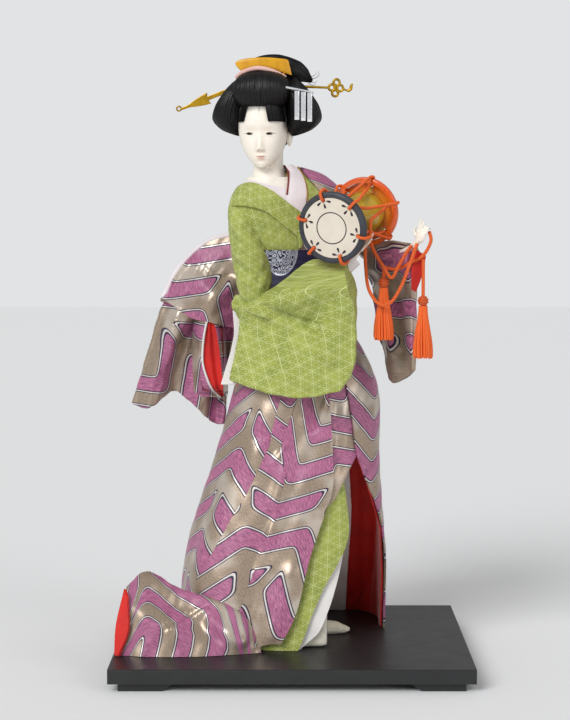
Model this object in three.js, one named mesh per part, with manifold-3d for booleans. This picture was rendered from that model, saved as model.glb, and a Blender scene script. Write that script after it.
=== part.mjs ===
// A costume doll of a dancer with a small hourglass hand drum, standing on a lacquered board.
// Millimetres, +Z up. The doll looks along -Y and +X is to the viewer's right.
// Every height of the figure is measured from the top of the board.

import * as THREE from 'three';
import { LoftGeometry } from 'three/addons/geometries/LoftGeometry.js';
import { mergeVertices } from 'three/addons/utils/BufferGeometryUtils.js';
import Module from 'manifold-3d';

const wasm = await Module();
wasm.setup();

// Driving dimensions: stand
const boardWidth = 300;
const boardDepth = 240;
const boardThickness = 12;
const boardEdgeRadius = 1.5;
const runnerHeight = 7;
const runnerInset = 8;
const runnerWidth = 46;
const runnerBevel = 10;
const runnerFrontInset = 5;
const rodRadius = 3;
const rodX = -2;
const rodY = 3;
const nutRadius = 6;
const nutHeight = 4.5;

// Driving dimensions: figure
const wadTop = 296;
const obiBottom = 301;
const obiTop = 338;
const skirtTop = 318;
const coreTop = 404;
const slitTop = 172;
const rodTop = 340;
const neckX = -21;
const neckY = -3;
const headTurn = -8;
const chinHeight = 408;
const skullTop = 478;
const neckPegBottom = 352;
const neckPegRadius = 6;
const neckPlay = 0.8;

// Driving dimensions: cloth
const clearance = 0.3;
const cloth = 1.5;
const liningCloth = 1.2;
const obiThickness = 2.3;
const drape = 1;
const layer = cloth + drape;
const hangHalf = 2.2;

// Driving dimensions: drum
const drumRadius = 30;
const drumLength = 75;
const drumHeadThickness = 5;
const drumRimWidth = 4.5;
const drumSkin = 1.2;
const drumHoleRadius = 1.9;
const drumHoleCircle = 23.5;
const drumCupRadius = 17;
const drumWaistRadius = 8;
const drumWall = 3;
const laceRadius = 1.1;
const laceWaist = 19;
const laceCount = 6;

// Driving dimensions: cords and tassels
const cordRadius = 1.5;
const cordSides = 8;
const tasselKnotRadius = 4.6;
const tasselLength = 44;
const tasselWidth = 16;

// Driving dimensions: hair ornaments
const combWidth = 48;
const combHeight = 11;
const combThickness = 2.4;
const combRise = 5;
const combTeeth = 11;
const combToothLength = 9;
const combToothHalf = 0.6;
const combToothSpan = combWidth - 14;
const pinWidth = 3.4;
const pinThickness = 1.8;
const pinCurlRadius = 2;
const pinCurlWire = 0.85;
const stripWidth = 4;
const stripLength = 24;
const stripThickness = 0.8;
const stripPitch = 5.6;

// How far a cutting shape passes a face, and how far one that clears a whole side reaches
const past = 1;
const beyond = 200;

const doll = new THREE.Group();
doll.position.z = runnerHeight + boardThickness;

// Small helpers
const at = (x, y, z) => new THREE.Vector3(x, y, z);
const radians = THREE.MathUtils.degToRad;
const smooth = (t, low, high) => THREE.MathUtils.smoothstep(t, low, high);

function finish(colour, roughness, metalness = 0) {
  return new THREE.MeshStandardMaterial({ color: colour, roughness, metalness });
}

const lacquer = finish(0x1c1d1e, 0.3);
const steel = finish(0x9a9da0, 0.35, 1);
const woodWool = finish(0xb99a68, 0.9);
const wadding = finish(0xe9e4d6, 0.95);
const wrappedWire = finish(0xd8cfba, 0.9);
const shellPaste = finish(0xf4eee2, 0.45);
const eyeGlass = finish(0x1a0f0c, 0.1);
const hair = finish(0x0c0c0e, 0.35);
const tieSilk = finish(0xf0cfc8, 0.7);
const amber = finish(0xe0a51c, 0.25);
const gilt = finish(0xd0a02a, 0.3, 1);
const silver = finish(0xdfe2e6, 0.15, 1);
const tabiCotton = finish(0xefe8d4, 0.85);
const whiteSilk = finish(0xe9e0e4, 0.75);
const redSilk = finish(0xc01a12, 0.7);
const greenBrocade = finish(0xa9b84f, 0.75);
const purpleBrocade = finish(0x9a6f86, 0.55);
const navyBrocade = finish(0x15123a, 0.6);
const drumSkinCream = finish(0xe9e0d2, 0.6);
const drumGold = finish(0xd9a520, 0.3);
const orangeCord = finish(0xf0661e, 0.75);

// Vertices are shared by position alone.
function welded(geometry) {
  const plain = new THREE.BufferGeometry();
  plain.setAttribute('position', geometry.attributes.position);
  plain.setIndex(geometry.index);
  return mergeVertices(plain, 1e-4);
}

// A manifold of a closed geometry: welded, without empty triangles, facing outwards.
function solid(geometry) {
  const merged = welded(geometry);
  const vertices = new Float32Array(merged.attributes.position.array);
  const kept = [];
  let volume = 0;
  const corner = [at(0, 0, 0), at(0, 0, 0), at(0, 0, 0)];
  for (let i = 0; i < merged.index.count; i += 3) {
    const face = [0, 1, 2].map((k) => merged.index.getX(i + k));
    if (face[0] === face[1] || face[1] === face[2] || face[2] === face[0]) {
      continue;
    }
    face.forEach((v, k) => corner[k].fromArray(vertices, 3 * v));
    volume += corner[0].dot(corner[1].clone().cross(corner[2]));
    kept.push(...face);
  }
  if (volume < 0) {
    for (let i = 0; i < kept.length; i += 3) {
      const first = kept[i];
      kept[i] = kept[i + 1];
      kept[i + 1] = first;
    }
  }
  const triVerts = new Uint32Array(kept);
  return new wasm.Manifold(new wasm.Mesh({ numProp: 3, vertProperties: vertices, triVerts }));
}

// The geometry of a manifold.
function geometryOf(manifold) {
  const mesh = manifold.getMesh();
  const geometry = new THREE.BufferGeometry();
  const positions = new Float32Array(mesh.vertProperties);
  geometry.setAttribute('position', new THREE.BufferAttribute(positions, 3));
  geometry.setIndex(new THREE.BufferAttribute(new Uint32Array(mesh.triVerts), 1));
  geometry.computeVertexNormals();
  return geometry;
}

// The largest of the bodies that a cut leaves, without its loose slivers.
function largest(manifold) {
  const parts = manifold.decompose();
  return parts.reduce((best, part) => (part.volume() > best.volume() ? part : best));
}

// A named mesh of a manifold or a closed geometry, hung in a group.
function add(parent, name, shape, material) {
  const manifold = shape instanceof THREE.BufferGeometry ? solid(shape) : shape;
  const mesh = new THREE.Mesh(geometryOf(manifold), material);
  mesh.name = name;
  parent.add(mesh);
  return mesh;
}

const join = (...parts) => parts.reduce((sum, part) => sum.add(part));
const cut = (shape, ...tools) => tools.reduce((rest, tool) => rest.subtract(tool), shape);

// A box given by two opposite corners.
function block(low, high) {
  const size = high.clone().sub(low);
  const geometry = new THREE.BoxGeometry(size.x, size.y, size.z);
  const middle = low.clone().add(high).multiplyScalar(0.5);
  return geometry.translate(middle.x, middle.y, middle.z);
}

// A ball drawn out along the three axes.
function ellipsoid(centre, radii, around = 20, along = 12, turn = new THREE.Euler()) {
  const geometry = new THREE.SphereGeometry(1, around, along);
  geometry.rotateX(Math.PI / 2);
  geometry.scale(radii.x, radii.y, radii.z);
  const matrix = new THREE.Matrix4().makeRotationFromEuler(turn).setPosition(centre);
  return geometry.applyMatrix4(matrix);
}

// Everything up to a height.
const below = (z) => solid(block(at(-beyond, -beyond, z - beyond), at(beyond, beyond, z)));

// An upright round bar between two heights.
function post(x, y, low, high, radius, sides = 20) {
  const geometry = new THREE.CylinderGeometry(radius, radius, high - low, sides);
  geometry.rotateX(Math.PI / 2);
  return geometry.translate(x, y, (low + high) / 2);
}

// A bar with a radius of its own at each of its points, square at both ends.
function tube(points, radius, sides = 8) {
  const rings = [];
  const radii = Array.isArray(radius) ? radius : points.map(() => radius);
  let across = null;
  points.forEach((point, i) => {
    const before = points[Math.max(i - 1, 0)];
    const after = points[Math.min(i + 1, points.length - 1)];
    const entering = point.clone().sub(before).normalize();
    const leaving = after.clone().sub(point).normalize();
    const tangent = entering.clone().add(leaving).normalize();
    if (!across) {
      const helper = Math.abs(tangent.z) < 0.9 ? at(0, 0, 1) : at(1, 0, 0);
      across = helper.cross(tangent).normalize();
    }
    across.addScaledVector(tangent, -across.dot(tangent)).normalize();
    const upward = tangent.clone().cross(across);
    const ring = [];
    for (let k = 0; k < sides; k += 1) {
      const angle = (2 * Math.PI * k) / sides;
      const offset = across.clone().multiplyScalar(Math.cos(angle) * radii[i]);
      offset.addScaledVector(upward, Math.sin(angle) * radii[i]);
      ring.push(point.clone().add(offset));
    }
    rings.push(ring);
  });
  return new LoftGeometry(rings, { capStart: true, capEnd: true });
}

// The same bar along a smooth curve through the points.
function limb(points, radius, steps, sides) {
  return tube(new THREE.CatmullRomCurve3(points).getSpacedPoints(steps), radius, sides);
}

// A round cord along a smooth curve through hand-chosen points.
function cord(points, radius, steps, sides = cordSides) {
  const corners = Array.from({ length: sides }, (_, k) => {
    const angle = (2 * Math.PI * k) / sides;
    return new THREE.Vector2(radius * Math.cos(angle), radius * Math.sin(angle));
  });
  const extrudePath = new THREE.CatmullRomCurve3(points);
  const options = { steps, bevelEnabled: false, extrudePath };
  return new THREE.ExtrudeGeometry(new THREE.Shape(corners), options);
}

// A closed slab between two surfaces over u and v from 0 to 1.
function slab(outer, inner, stepsU, stepsV) {
  const positions = [];
  const index = [];
  const columns = stepsV + 1;
  const sheetSize = (stepsU + 1) * columns;
  [outer, inner].forEach((surface) => {
    for (let i = 0; i <= stepsU; i += 1) {
      for (let j = 0; j <= stepsV; j += 1) {
        positions.push(...surface(i / stepsU, j / stepsV).toArray());
      }
    }
  });
  const quad = (a, b, c, d) => index.push(a, b, c, a, c, d);
  const top = (i, j) => i * columns + j;
  const under = (i, j) => sheetSize + top(i, j);
  for (let i = 0; i < stepsU; i += 1) {
    for (let j = 0; j < stepsV; j += 1) {
      quad(top(i, j), top(i + 1, j), top(i + 1, j + 1), top(i, j + 1));
      quad(under(i, j), under(i, j + 1), under(i + 1, j + 1), under(i + 1, j));
    }
  }
  for (let i = 0; i < stepsU; i += 1) {
    quad(top(i, 0), under(i, 0), under(i + 1, 0), top(i + 1, 0));
    quad(top(i + 1, stepsV), under(i + 1, stepsV), under(i, stepsV), top(i, stepsV));
  }
  for (let j = 0; j < stepsV; j += 1) {
    quad(top(0, j + 1), under(0, j + 1), under(0, j), top(0, j));
    quad(top(stepsU, j), under(stepsU, j), under(stepsU, j + 1), top(stepsU, j + 1));
  }
  const geometry = new THREE.BufferGeometry();
  geometry.setAttribute('position', new THREE.Float32BufferAttribute(positions, 3));
  geometry.setIndex(index);
  return geometry;
}

// A cloth of even thickness over a middle surface.
function sheet(middle, thickness, stepsU, stepsV) {
  const step = 1e-3;
  const side = (sign) => (u, v) => {
    const u0 = Math.max(u - step, 0);
    const u1 = Math.min(u + step, 1);
    const v0 = Math.max(v - step, 0);
    const v1 = Math.min(v + step, 1);
    const alongU = middle(u1, v).sub(middle(u0, v));
    const alongV = middle(u, v1).sub(middle(u, v0));
    const normal = alongU.cross(alongV).normalize();
    return middle(u, v).addScaledVector(normal, (sign * thickness) / 2);
  };
  return slab(side(1), side(-1), stepsU, stepsV);
}

// Values of a list of levels at one key value, smooth between the levels.
function between(levels, value, key = 'z') {
  const last = levels.length - 1;
  let i = 0;
  while (i < last - 1 && value > levels[i + 1][key]) {
    i += 1;
  }
  const a = levels[i];
  const b = levels[i + 1];
  const before = levels[Math.max(i - 1, 0)];
  const after = levels[Math.min(i + 2, last)];
  const span = b[key] - a[key];
  const t = THREE.MathUtils.clamp((value - a[key]) / span, 0, 1);
  const result = {};
  Object.keys(a).forEach((field) => {
    const slopeA = ((b[field] - before[field]) / (b[key] - before[key])) * span;
    const slopeB = ((after[field] - a[field]) / (after[key] - a[key])) * span;
    const t2 = t * t;
    const t3 = t2 * t;
    result[field] = (2 * t3 - 3 * t2 + 1) * a[field] + (t3 - 2 * t2 + t) * slopeA
      + (3 * t2 - 2 * t3) * b[field] + (t3 - t2) * slopeB;
  });
  result[key] = value;
  return result;
}

// A point on a level's outline: a rounded oval with its own reach to each side.
function onOutline(level, degrees, grow) {
  const squareness = level.square ?? 2.3;
  const angle = radians(degrees);
  const c = Math.cos(angle);
  const s = Math.sin(angle);
  const reachX = (c > 0 ? level.right : level.left) + grow;
  const reachY = (s > 0 ? level.back : level.front) + grow;
  const inverse = Math.abs(c / reachX) ** squareness + Math.abs(s / reachY) ** squareness;
  const radius = inverse ** (-1 / squareness);
  const turn = radians(level.twist ?? 0);
  const x = radius * c;
  const y = radius * s;
  return at(
    level.x + x * Math.cos(turn) - y * Math.sin(turn),
    level.y + x * Math.sin(turn) + y * Math.cos(turn),
    level.z,
  );
}

// A closed body through the outlines of a list of levels.
function body(levels, grow, steps, around = 28) {
  const low = levels[0].z - grow;
  const high = levels[levels.length - 1].z + grow;
  const rings = [];
  for (let i = 0; i <= steps; i += 1) {
    const share = i / steps;
    const z = levels[0].z + (levels[levels.length - 1].z - levels[0].z) * share;
    const level = between(levels, z);
    level.z = low + (high - low) * share;
    const ring = [];
    for (let k = 0; k < around; k += 1) {
      ring.push(onOutline(level, (360 * k) / around, grow));
    }
    rings.push(ring);
  }
  return new LoftGeometry(rings, { capStart: true, capEnd: true });
}

// Stand: the board, two runners with a bevelled inner end and the rod that holds the figure
const boardOutline = new THREE.Shape();
boardOutline.moveTo(-boardDepth / 2 + boardEdgeRadius, 0);
boardOutline.lineTo(boardDepth / 2 - boardEdgeRadius, 0);
boardOutline.quadraticCurveTo(boardDepth / 2, 0, boardDepth / 2, -boardEdgeRadius);
boardOutline.lineTo(boardDepth / 2, -boardThickness);
boardOutline.lineTo(-boardDepth / 2, -boardThickness);
boardOutline.lineTo(-boardDepth / 2, -boardEdgeRadius);
boardOutline.quadraticCurveTo(-boardDepth / 2, 0, -boardDepth / 2 + boardEdgeRadius, 0);
const boardBlank = new THREE.ExtrudeGeometry(boardOutline, {
  depth: boardWidth, bevelEnabled: false, curveSegments: 3,
});
boardBlank.applyMatrix4(new THREE.Matrix4().makeBasis(at(0, 1, 0), at(0, 0, 1), at(1, 0, 0)));
boardBlank.translate(-boardWidth / 2, 0, 0);

const runnerOuter = boardWidth / 2 - runnerInset;
const board = cut(
  solid(boardBlank),
  solid(post(rodX, rodY, -boardThickness - past, past, rodRadius + clearance, 16)),
);
add(doll, 'base_board', board, lacquer);

const runnerGap = clearance / 3;
function runner(side) {
  const shape = new THREE.Shape();
  shape.moveTo(runnerOuter, -runnerHeight);
  shape.lineTo(runnerOuter, 0);
  shape.lineTo(runnerOuter - runnerWidth, 0);
  shape.lineTo(runnerOuter - runnerWidth + runnerBevel, -runnerHeight);
  shape.closePath();
  const length = boardDepth - 2 * runnerFrontInset;
  const geometry = new THREE.ExtrudeGeometry(shape, { depth: length, bevelEnabled: false });
  geometry.rotateX(Math.PI / 2);
  geometry.translate(0, length / 2, -boardThickness - runnerGap);
  if (side < 0) {
    geometry.rotateZ(Math.PI);
  }
  return solid(geometry);
}

add(doll, 'base_runner_left', runner(-1), lacquer);
add(doll, 'base_runner_right', runner(1), lacquer);

const rodHeadDepth = nutHeight + 2 * clearance;
const rodHeadTop = -boardThickness - clearance;
const rod = (grow) => (
  solid(post(rodX, rodY, rodHeadTop - rodHeadDepth, rodTop + grow, rodRadius + grow, 16))
);
const rodHead = solid(post(rodX, rodY, rodHeadTop - nutHeight, rodHeadTop, nutRadius, 6));
add(doll, 'standing_rod', join(rod(0), rodHead), steel);

// Figure: body levels, from the hips to the foot of the neck
const coreLevels = [
  { z: wadTop + clearance, x: -3, y: 2, left: 27, right: 27, front: 20, back: 20, twist: 0 },
  { z: 320, x: -3, y: 1, left: 26, right: 26, front: 19, back: 19, twist: 0 },
  { z: 345, x: -5, y: 1, left: 33, right: 32, front: 21, back: 20, twist: 10 },
  { z: 368, x: -7, y: 2, left: 41, right: 40, front: 22, back: 20, twist: 17 },
  { z: 381, x: -7, y: 3, left: 43, right: 44, front: 22, back: 18, twist: 18 },
  { z: 391, x: -8, y: 3, left: 37, right: 41, front: 19, back: 15, twist: 18 },
  { z: 398, x: -12, y: 2, left: 24, right: 32, front: 15, back: 14, twist: 18 },
  { z: coreTop, x: -16, y: 1, left: 10, right: 14, front: 9, back: 9, twist: 18 },
];
const coreSteps = 8;
const coreAround = 18;
const coreBody = (grow) => body(coreLevels, grow, coreSteps, coreAround);

// Skirt levels: the outside of the skirt from the waist to the hem
const waist = between(coreLevels, 320);
const hipEase = 7;
const skirtOver = layer + clearance + cloth;
const hemLift = clearance;
const skirtLevels = [
  { z: hemLift, x: -4, y: 26, left: 94, right: 86, front: 86, back: 86, square: 3.2, fold: 2.2 },
  { z: 40, x: -2, y: 24, left: 94, right: 83, front: 80, back: 82, square: 3, fold: 2 },
  { z: 85, x: 2, y: 18, left: 90, right: 77, front: 68, back: 75, square: 2.7, fold: 1.8 },
  { z: 157, x: 6, y: 12, left: 71, right: 69, front: 53, back: 55, square: 2.4, fold: 1.5 },
  { z: 221, x: 8, y: 5, left: 56, right: 65, front: 39, back: 44, square: 2.3, fold: 1.2 },
  { z: 270, x: 2, y: 2, left: 42, right: 48, front: 31, back: 34, square: 2.3, fold: 0.8 },
  {
    z: 298, x: waist.x + 1, y: 1.5, left: waist.left + hipEase, right: waist.right + hipEase + 1,
    front: waist.front + hipEase, back: waist.back + hipEase, square: 2.3, fold: 0.3,
  },
  {
    z: skirtTop, x: waist.x, y: waist.y, left: waist.left + skirtOver, right: waist.right + skirtOver,
    front: waist.front + skirtOver, back: waist.back + skirtOver, square: 2.3, fold: 0,
  },
];

// Folds run down the skirt and lean to the viewer's left as they fall, a radian in each lean height.
const leanHeight = 90;
function skirtFold(degrees, level) {
  const angle = radians(degrees);
  const lean = (skirtTop - level.z) / leanHeight;
  const wave = 0.65 * Math.sin(6 * angle + lean) + 0.35 * Math.sin(9 * angle - 0.7 * lean);
  return level.fold * (wave + 1);
}

function skirtPoint(degrees, z, inset) {
  const level = between(skirtLevels, z);
  return onOutline(level, degrees, skirtFold(degrees, level) - inset);
}

// The same outline at the bottom of the folds, where the wadding bears on the cloth
function unfoldedPoint(degrees, z, inset) {
  return onOutline(between(skirtLevels, z), degrees, -inset);
}

// The panel edges: the angle at which each layer ends, by height
const rightEdge = [
  { z: 0, angle: 0 }, { z: 40, angle: -5 }, { z: 85, angle: -14 }, { z: 115, angle: -23 },
  { z: 134, angle: -30 }, { z: slitTop, angle: -40 }, { z: skirtTop, angle: -40 },
];
const frontEdge = [
  { z: 0, angle: -96 }, { z: 9, angle: -93 }, { z: 33, angle: -86 }, { z: 76, angle: -80 },
  { z: 119, angle: -69 }, { z: 135, angle: -64 }, { z: slitTop, angle: -62 },
  { z: skirtTop, angle: -62 },
];
const greenEdge = [
  { z: 0, angle: -84 }, { z: 10, angle: -81 }, { z: 30, angle: -76 }, { z: 55, angle: -68 },
  { z: 89, angle: -52 }, { z: 103, angle: -49 }, { z: 145, angle: -50 }, { z: 200, angle: -52 },
];
const whiteEdge = [
  { z: 0, angle: -82.5 }, { z: 6, angle: -78 }, { z: 14, angle: -71.5 }, { z: 36, angle: -64.5 },
  { z: 62, angle: -58 }, { z: 86, angle: -52 }, { z: 103, angle: -52 }, { z: 200, angle: -55 },
];
const edgeAngle = (edge, z) => between(edge, z).angle;

// Every layer of the skirt shares the same rows of facets, closer together towards the waist.
const skirtRowCount = 9;
const skirtRows = Array.from({ length: skirtRowCount + 1 }, (_, i) => (
  hemLift + (skirtTop - hemLift) * (1 - (1 - i / skirtRowCount) ** 1.4)
));
const underPanelTop = skirtRows[6];
const lowerLayerTop = skirtRows[4];
const rowGap = 4;
const rowsBetween = (low, high) => [
  low, ...skirtRows.filter((z) => z > low + rowGap && z < high - rowGap), high,
];

// One layer of the skirt between two angles; the lower end may depend on the angle.
function skirtLayer({ from, to, low, high, inset, thickness, stepsU }) {
  const rows = rowsBetween(low(0), high);
  const stepsV = rows.length - 1;
  const surface = (extra) => (u, v) => {
    const row = Math.round(v * stepsV);
    const z = row === 0 ? low(u) : rows[row];
    const degrees = from(z) + (to(z) - from(z)) * u;
    return skirtPoint(degrees, z, inset + extra);
  };
  return slab(surface(0), surface(thickness), stepsU, stepsV);
}

const hemRise = 7;
const underPanelLow = 118;
const underPanelRise = 46;
const outerSkirt = skirtLayer({
  from: (z) => edgeAngle(rightEdge, z),
  to: (z) => 360 + edgeAngle(frontEdge, z),
  low: (u) => hemLift + hemRise * smooth(u, 0.86, 0.95),
  high: skirtTop,
  inset: 0,
  thickness: cloth,
  stepsU: 30,
});
const underPanel = skirtLayer({
  from: () => -112,
  to: () => -24,
  low: (u) => underPanelLow + underPanelRise * smooth(u, 0.45, 0.9),
  high: underPanelTop,
  inset: layer,
  thickness: cloth,
  stepsU: 9,
});
const greenLayer = skirtLayer({
  from: () => -136,
  to: (z) => edgeAngle(greenEdge, z),
  low: () => hemLift,
  high: lowerLayerTop,
  inset: 2 * layer,
  thickness: cloth,
  stepsU: 11,
});
const whiteInset = 3 * layer + 1.5 * drape;
const whiteLayer = skirtLayer({
  from: () => -128,
  to: (z) => edgeAngle(whiteEdge, z),
  low: () => hemLift,
  high: lowerLayerTop,
  inset: whiteInset,
  thickness: liningCloth,
  stepsU: 9,
});

// Wadding: what fills the skirt, cut away behind the front opening
const frontLayers = whiteInset + liningCloth + drape;
const openingHeading = 258;
const openingHalf = 62;
const openingFade = 22;
function wadInset(degrees) {
  const turn = THREE.MathUtils.euclideanModulo(degrees - openingHeading + 180, 360) - 180;
  const open = 1 - smooth(Math.abs(turn), openingHalf, openingHalf + openingFade);
  return layer + (frontLayers - layer) * open;
}

function wadBody() {
  const rings = [];
  const around = 22;
  rowsBetween(hemLift, wadTop).forEach((z) => {
    const ring = [];
    for (let k = 0; k < around; k += 1) {
      const degrees = (360 * k) / around;
      ring.push(unfoldedPoint(degrees, z, wadInset(degrees)));
    }
    rings.push(ring);
  });
  return new LoftGeometry(rings, { capStart: true, capEnd: true });
}

const wadBlank = solid(wadBody());
const slopeTopY = -26;
const slopeBottomY = 100;
const slopeTopZ = slitTop + 8;
const slopeY = (z) => slopeBottomY + ((slopeTopY - slopeBottomY) * z) / slopeTopZ;
const openingLeft = 30;

// The space in front of the sloping back panels, as a wedge along X
function slopeWedge(offset, left) {
  const shape = new THREE.Shape();
  shape.moveTo(slopeY(-past) - offset, -past);
  shape.lineTo(slopeY(slopeTopZ) - offset, slopeTopZ);
  shape.lineTo(-beyond, slopeTopZ);
  shape.lineTo(-beyond, -past);
  shape.closePath();
  const geometry = new THREE.ExtrudeGeometry(shape, { depth: beyond, bevelEnabled: false });
  geometry.applyMatrix4(new THREE.Matrix4().makeBasis(at(0, 1, 0), at(0, 0, 1), at(1, 0, 0)));
  geometry.translate(left, 0, 0);
  return solid(geometry);
}

const redThickness = cloth;
const redOffset = clearance;
const redLeft = openingLeft + 8;
const redSideTop = slitTop - 12;
const whiteOffset = redOffset + redThickness + clearance;
const slopingRed = wadBlank
  .intersect(slopeWedge(redOffset, redLeft))
  .subtract(slopeWedge(redOffset + redThickness, openingLeft - past));

// On the right the red silk also lines the skirt, from its edge back to the sloping panel.
const slopeMeets = [
  { z: 0, angle: 66 }, { z: 60, angle: 38 }, { z: 110, angle: 8 }, { z: 150, angle: -24 },
  { z: slitTop, angle: -36 },
];
const sideRed = skirtLayer({
  from: (z) => edgeAngle(rightEdge, z) + 1.5,
  to: (z) => edgeAngle(slopeMeets, z),
  low: () => hemLift,
  high: redSideTop,
  inset: layer,
  thickness: redThickness,
  stepsU: 7,
});
const redPanel = largest(join(slopingRed, solid(sideRed)));
const roomDegrees = 4;
const sideRedRoom = skirtLayer({
  from: (z) => edgeAngle(rightEdge, z) - 1.5 * roomDegrees,
  to: (z) => edgeAngle(slopeMeets, z) + roomDegrees,
  low: () => 0,
  high: redSideTop + clearance,
  inset: 0,
  thickness: layer + redThickness + 1.6 * drape,
  stepsU: 10,
});
const whiteReach = [
  { z: 0, left: 31, right: 50 }, { z: 60, left: 34, right: 51.5 }, { z: 102, left: 38, right: 53 },
  { z: 140, left: 40, right: 50.5 }, { z: slopeTopZ, left: 42, right: 47 },
];
const whiteStripTop = slopeTopZ - 3;
function whiteStripSide(extra) {
  return (u, v) => {
    const z = hemLift + (whiteStripTop - hemLift) * v;
    const reach = between(whiteReach, z);
    return at(reach.left + (reach.right - reach.left) * u, slopeY(z) - whiteOffset - extra, z);
  };
}
const whiteStrip = solid(slab(whiteStripSide(0), whiteStripSide(liningCloth), 4, 8))
  .intersect(wadBlank);

// Legs and feet
const leftAnkle = at(20, 8, 15);
const rightAnkle = at(-34, -6, 15);
const leftHip = at(14, 8, 205);
const rightHip = at(-18, 6, 205);
const ankleRadius = 6.5;
const kneeRadius = 10;
const thighRadius = 13;
const kneeForward = 3;
const ankleDepth = 5;

function leg(ankle, hip, grow) {
  const knee = ankle.clone().lerp(hip, 0.5).add(at(0, -kneeForward, 0));
  const low = ankle.clone().add(at(0, 0, -ankleDepth));
  const high = hip.clone().add(at(0, 0, grow));
  const radii = [ankleRadius + grow, kneeRadius + grow, thighRadius + grow];
  return solid(tube([low, knee, high], radii, 10)).subtract(below(ankle.z - grow));
}

const soleLift = clearance;
const footLength = 34;
const footHalfWidth = 8;
const heelLength = 9;
const tabiCloth = 1.2;

function foot(ankle, heading) {
  const toe = footLength - footHalfWidth;
  const heel = ellipsoid(at(0, 0, 6), at(heelLength, footHalfWidth, 8), 8, 5);
  const arch = ellipsoid(at(toe * 0.45, 0, 5), at(16, footHalfWidth, 6.5), 8, 5);
  const tip = ellipsoid(at(toe * 0.8, 0, 4), at(11, 6, 4.2), 8, 5);
  const shaft = post(0, 0, 5, ankle.z - clearance, ankleRadius + tabiCloth, 8);
  const parts = [heel, arch, tip, shaft].map((part) => {
    part.rotateZ(radians(heading));
    return solid(part.translate(ankle.x, ankle.y, 0));
  });
  return join(...parts).subtract(below(soleLift));
}

// The plain hollow round a foot in the wadding
function footRoom(ankle, heading) {
  const room = block(
    at(-heelLength - clearance, -footHalfWidth - clearance, -past),
    at(footLength + clearance, footHalfWidth + clearance, ankle.z),
  );
  room.rotateZ(radians(heading));
  return solid(room.translate(ankle.x, ankle.y, 0));
}

const leftHeading = -4;
const rightHeading = 262;
const skirtWadding = largest(cut(
  wadBlank,
  slopeWedge(0, openingLeft),
  solid(sideRedRoom),
  leg(leftAnkle, leftHip, clearance),
  leg(rightAnkle, rightHip, clearance),
  footRoom(leftAnkle, leftHeading),
  footRoom(rightAnkle, rightHeading),
  rod(clearance),
));

add(doll, 'skirt_wadding', skirtWadding, wadding);
add(doll, 'leg_left', leg(leftAnkle, leftHip, 0), wrappedWire);
add(doll, 'leg_right', leg(rightAnkle, rightHip, 0), wrappedWire);
add(doll, 'tabi_left', foot(leftAnkle, leftHeading), tabiCotton);
add(doll, 'tabi_right', foot(rightAnkle, rightHeading), tabiCotton);
add(doll, 'kimono_skirt', outerSkirt, purpleBrocade);
add(doll, 'kimono_under_panel', underPanel, purpleBrocade);
add(doll, 'green_underskirt', greenLayer, greenBrocade);
add(doll, 'white_underskirt', whiteLayer, whiteSilk);
add(doll, 'red_back_panel', redPanel, redSilk);
add(doll, 'white_back_panel', largest(whiteStrip), whiteSilk);

// Figure: neck and head. The head group turns about the neck, so its pieces are built about that axis.
const headGroup = new THREE.Group();
headGroup.position.set(neckX, neckY, 0);
headGroup.rotation.z = radians(headTurn);
doll.add(headGroup);

const neckProfile = [
  [neckPegRadius, neckPegBottom], [neckPegRadius, 380], [15, 384], [15, 388], [14, 393],
  [12.4, 402], [11.6, 410], [12.5, 430],
];
function neck(grow) {
  const points = [new THREE.Vector2(0, neckPegBottom - grow)];
  neckProfile.forEach(([radius, z]) => points.push(new THREE.Vector2(radius + grow, z)));
  points[1].y -= grow;
  points[3].y -= grow;
  points.push(new THREE.Vector2(0, neckProfile[neckProfile.length - 1][1]));
  const geometry = new THREE.LatheGeometry(points, 12);
  return geometry.rotateX(Math.PI / 2);
}
const neckInDoll = (grow) => solid(neck(grow).translate(neckX, neckY, 0));

const skullLevels = [
  { z: chinHeight, x: 0, y: -17, left: 4, right: 4, front: 5, back: 5 },
  { z: 411, x: 0, y: -13, left: 8.5, right: 8.5, front: 9.5, back: 10 },
  { z: 418, x: 0, y: -8, left: 14, right: 14, front: 15.5, back: 17 },
  { z: 426, x: 0, y: -4, left: 18, right: 18, front: 20.5, back: 22 },
  { z: 436, x: 0, y: -2, left: 20.3, right: 20.3, front: 22.5, back: 25 },
  { z: 446, x: 0, y: -1, left: 21, right: 21, front: 24, back: 26 },
  { z: 456, x: 0, y: 0, left: 20.3, right: 20.3, front: 24, back: 26 },
  { z: 466, x: 0, y: 1, left: 17.5, right: 17.5, front: 21, back: 23 },
  { z: 474, x: 0, y: 2, left: 11.5, right: 11.5, front: 14, back: 15 },
  { z: skullTop, x: 0, y: 2, left: 4, right: 4, front: 5, back: 5 },
];
const skull = (grow) => body(skullLevels, grow, 9, 16);

const eyeHeight = 436;
const eyeSpacing = 9.3;
const eyeFront = -21.4;
function eye(side, grow) {
  const radii = at(4 + grow, 2.6 + grow, 1.2 + grow);
  return solid(ellipsoid(at(side * eyeSpacing, eyeFront, eyeHeight), radii, 8, 4));
}
const noseTilt = new THREE.Euler(-0.25, 0, 0);
const nose = solid(ellipsoid(at(0, -25, 424), at(2.4, 3.6, 6.5), 8, 6, noseTilt));
const lips = solid(ellipsoid(at(0, -22.6, 416.5), at(3.4, 1.6, 1.7), 8, 4));
const ear = (side) => solid(ellipsoid(at(side * 21, 3, 431), at(2, 4.2, 6), 6, 4));
const head = cut(
  join(solid(skull(0)), solid(neck(0)), nose, lips, ear(-1), ear(1)),
  eye(-1, clearance / 2),
  eye(1, clearance / 2),
);

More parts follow.
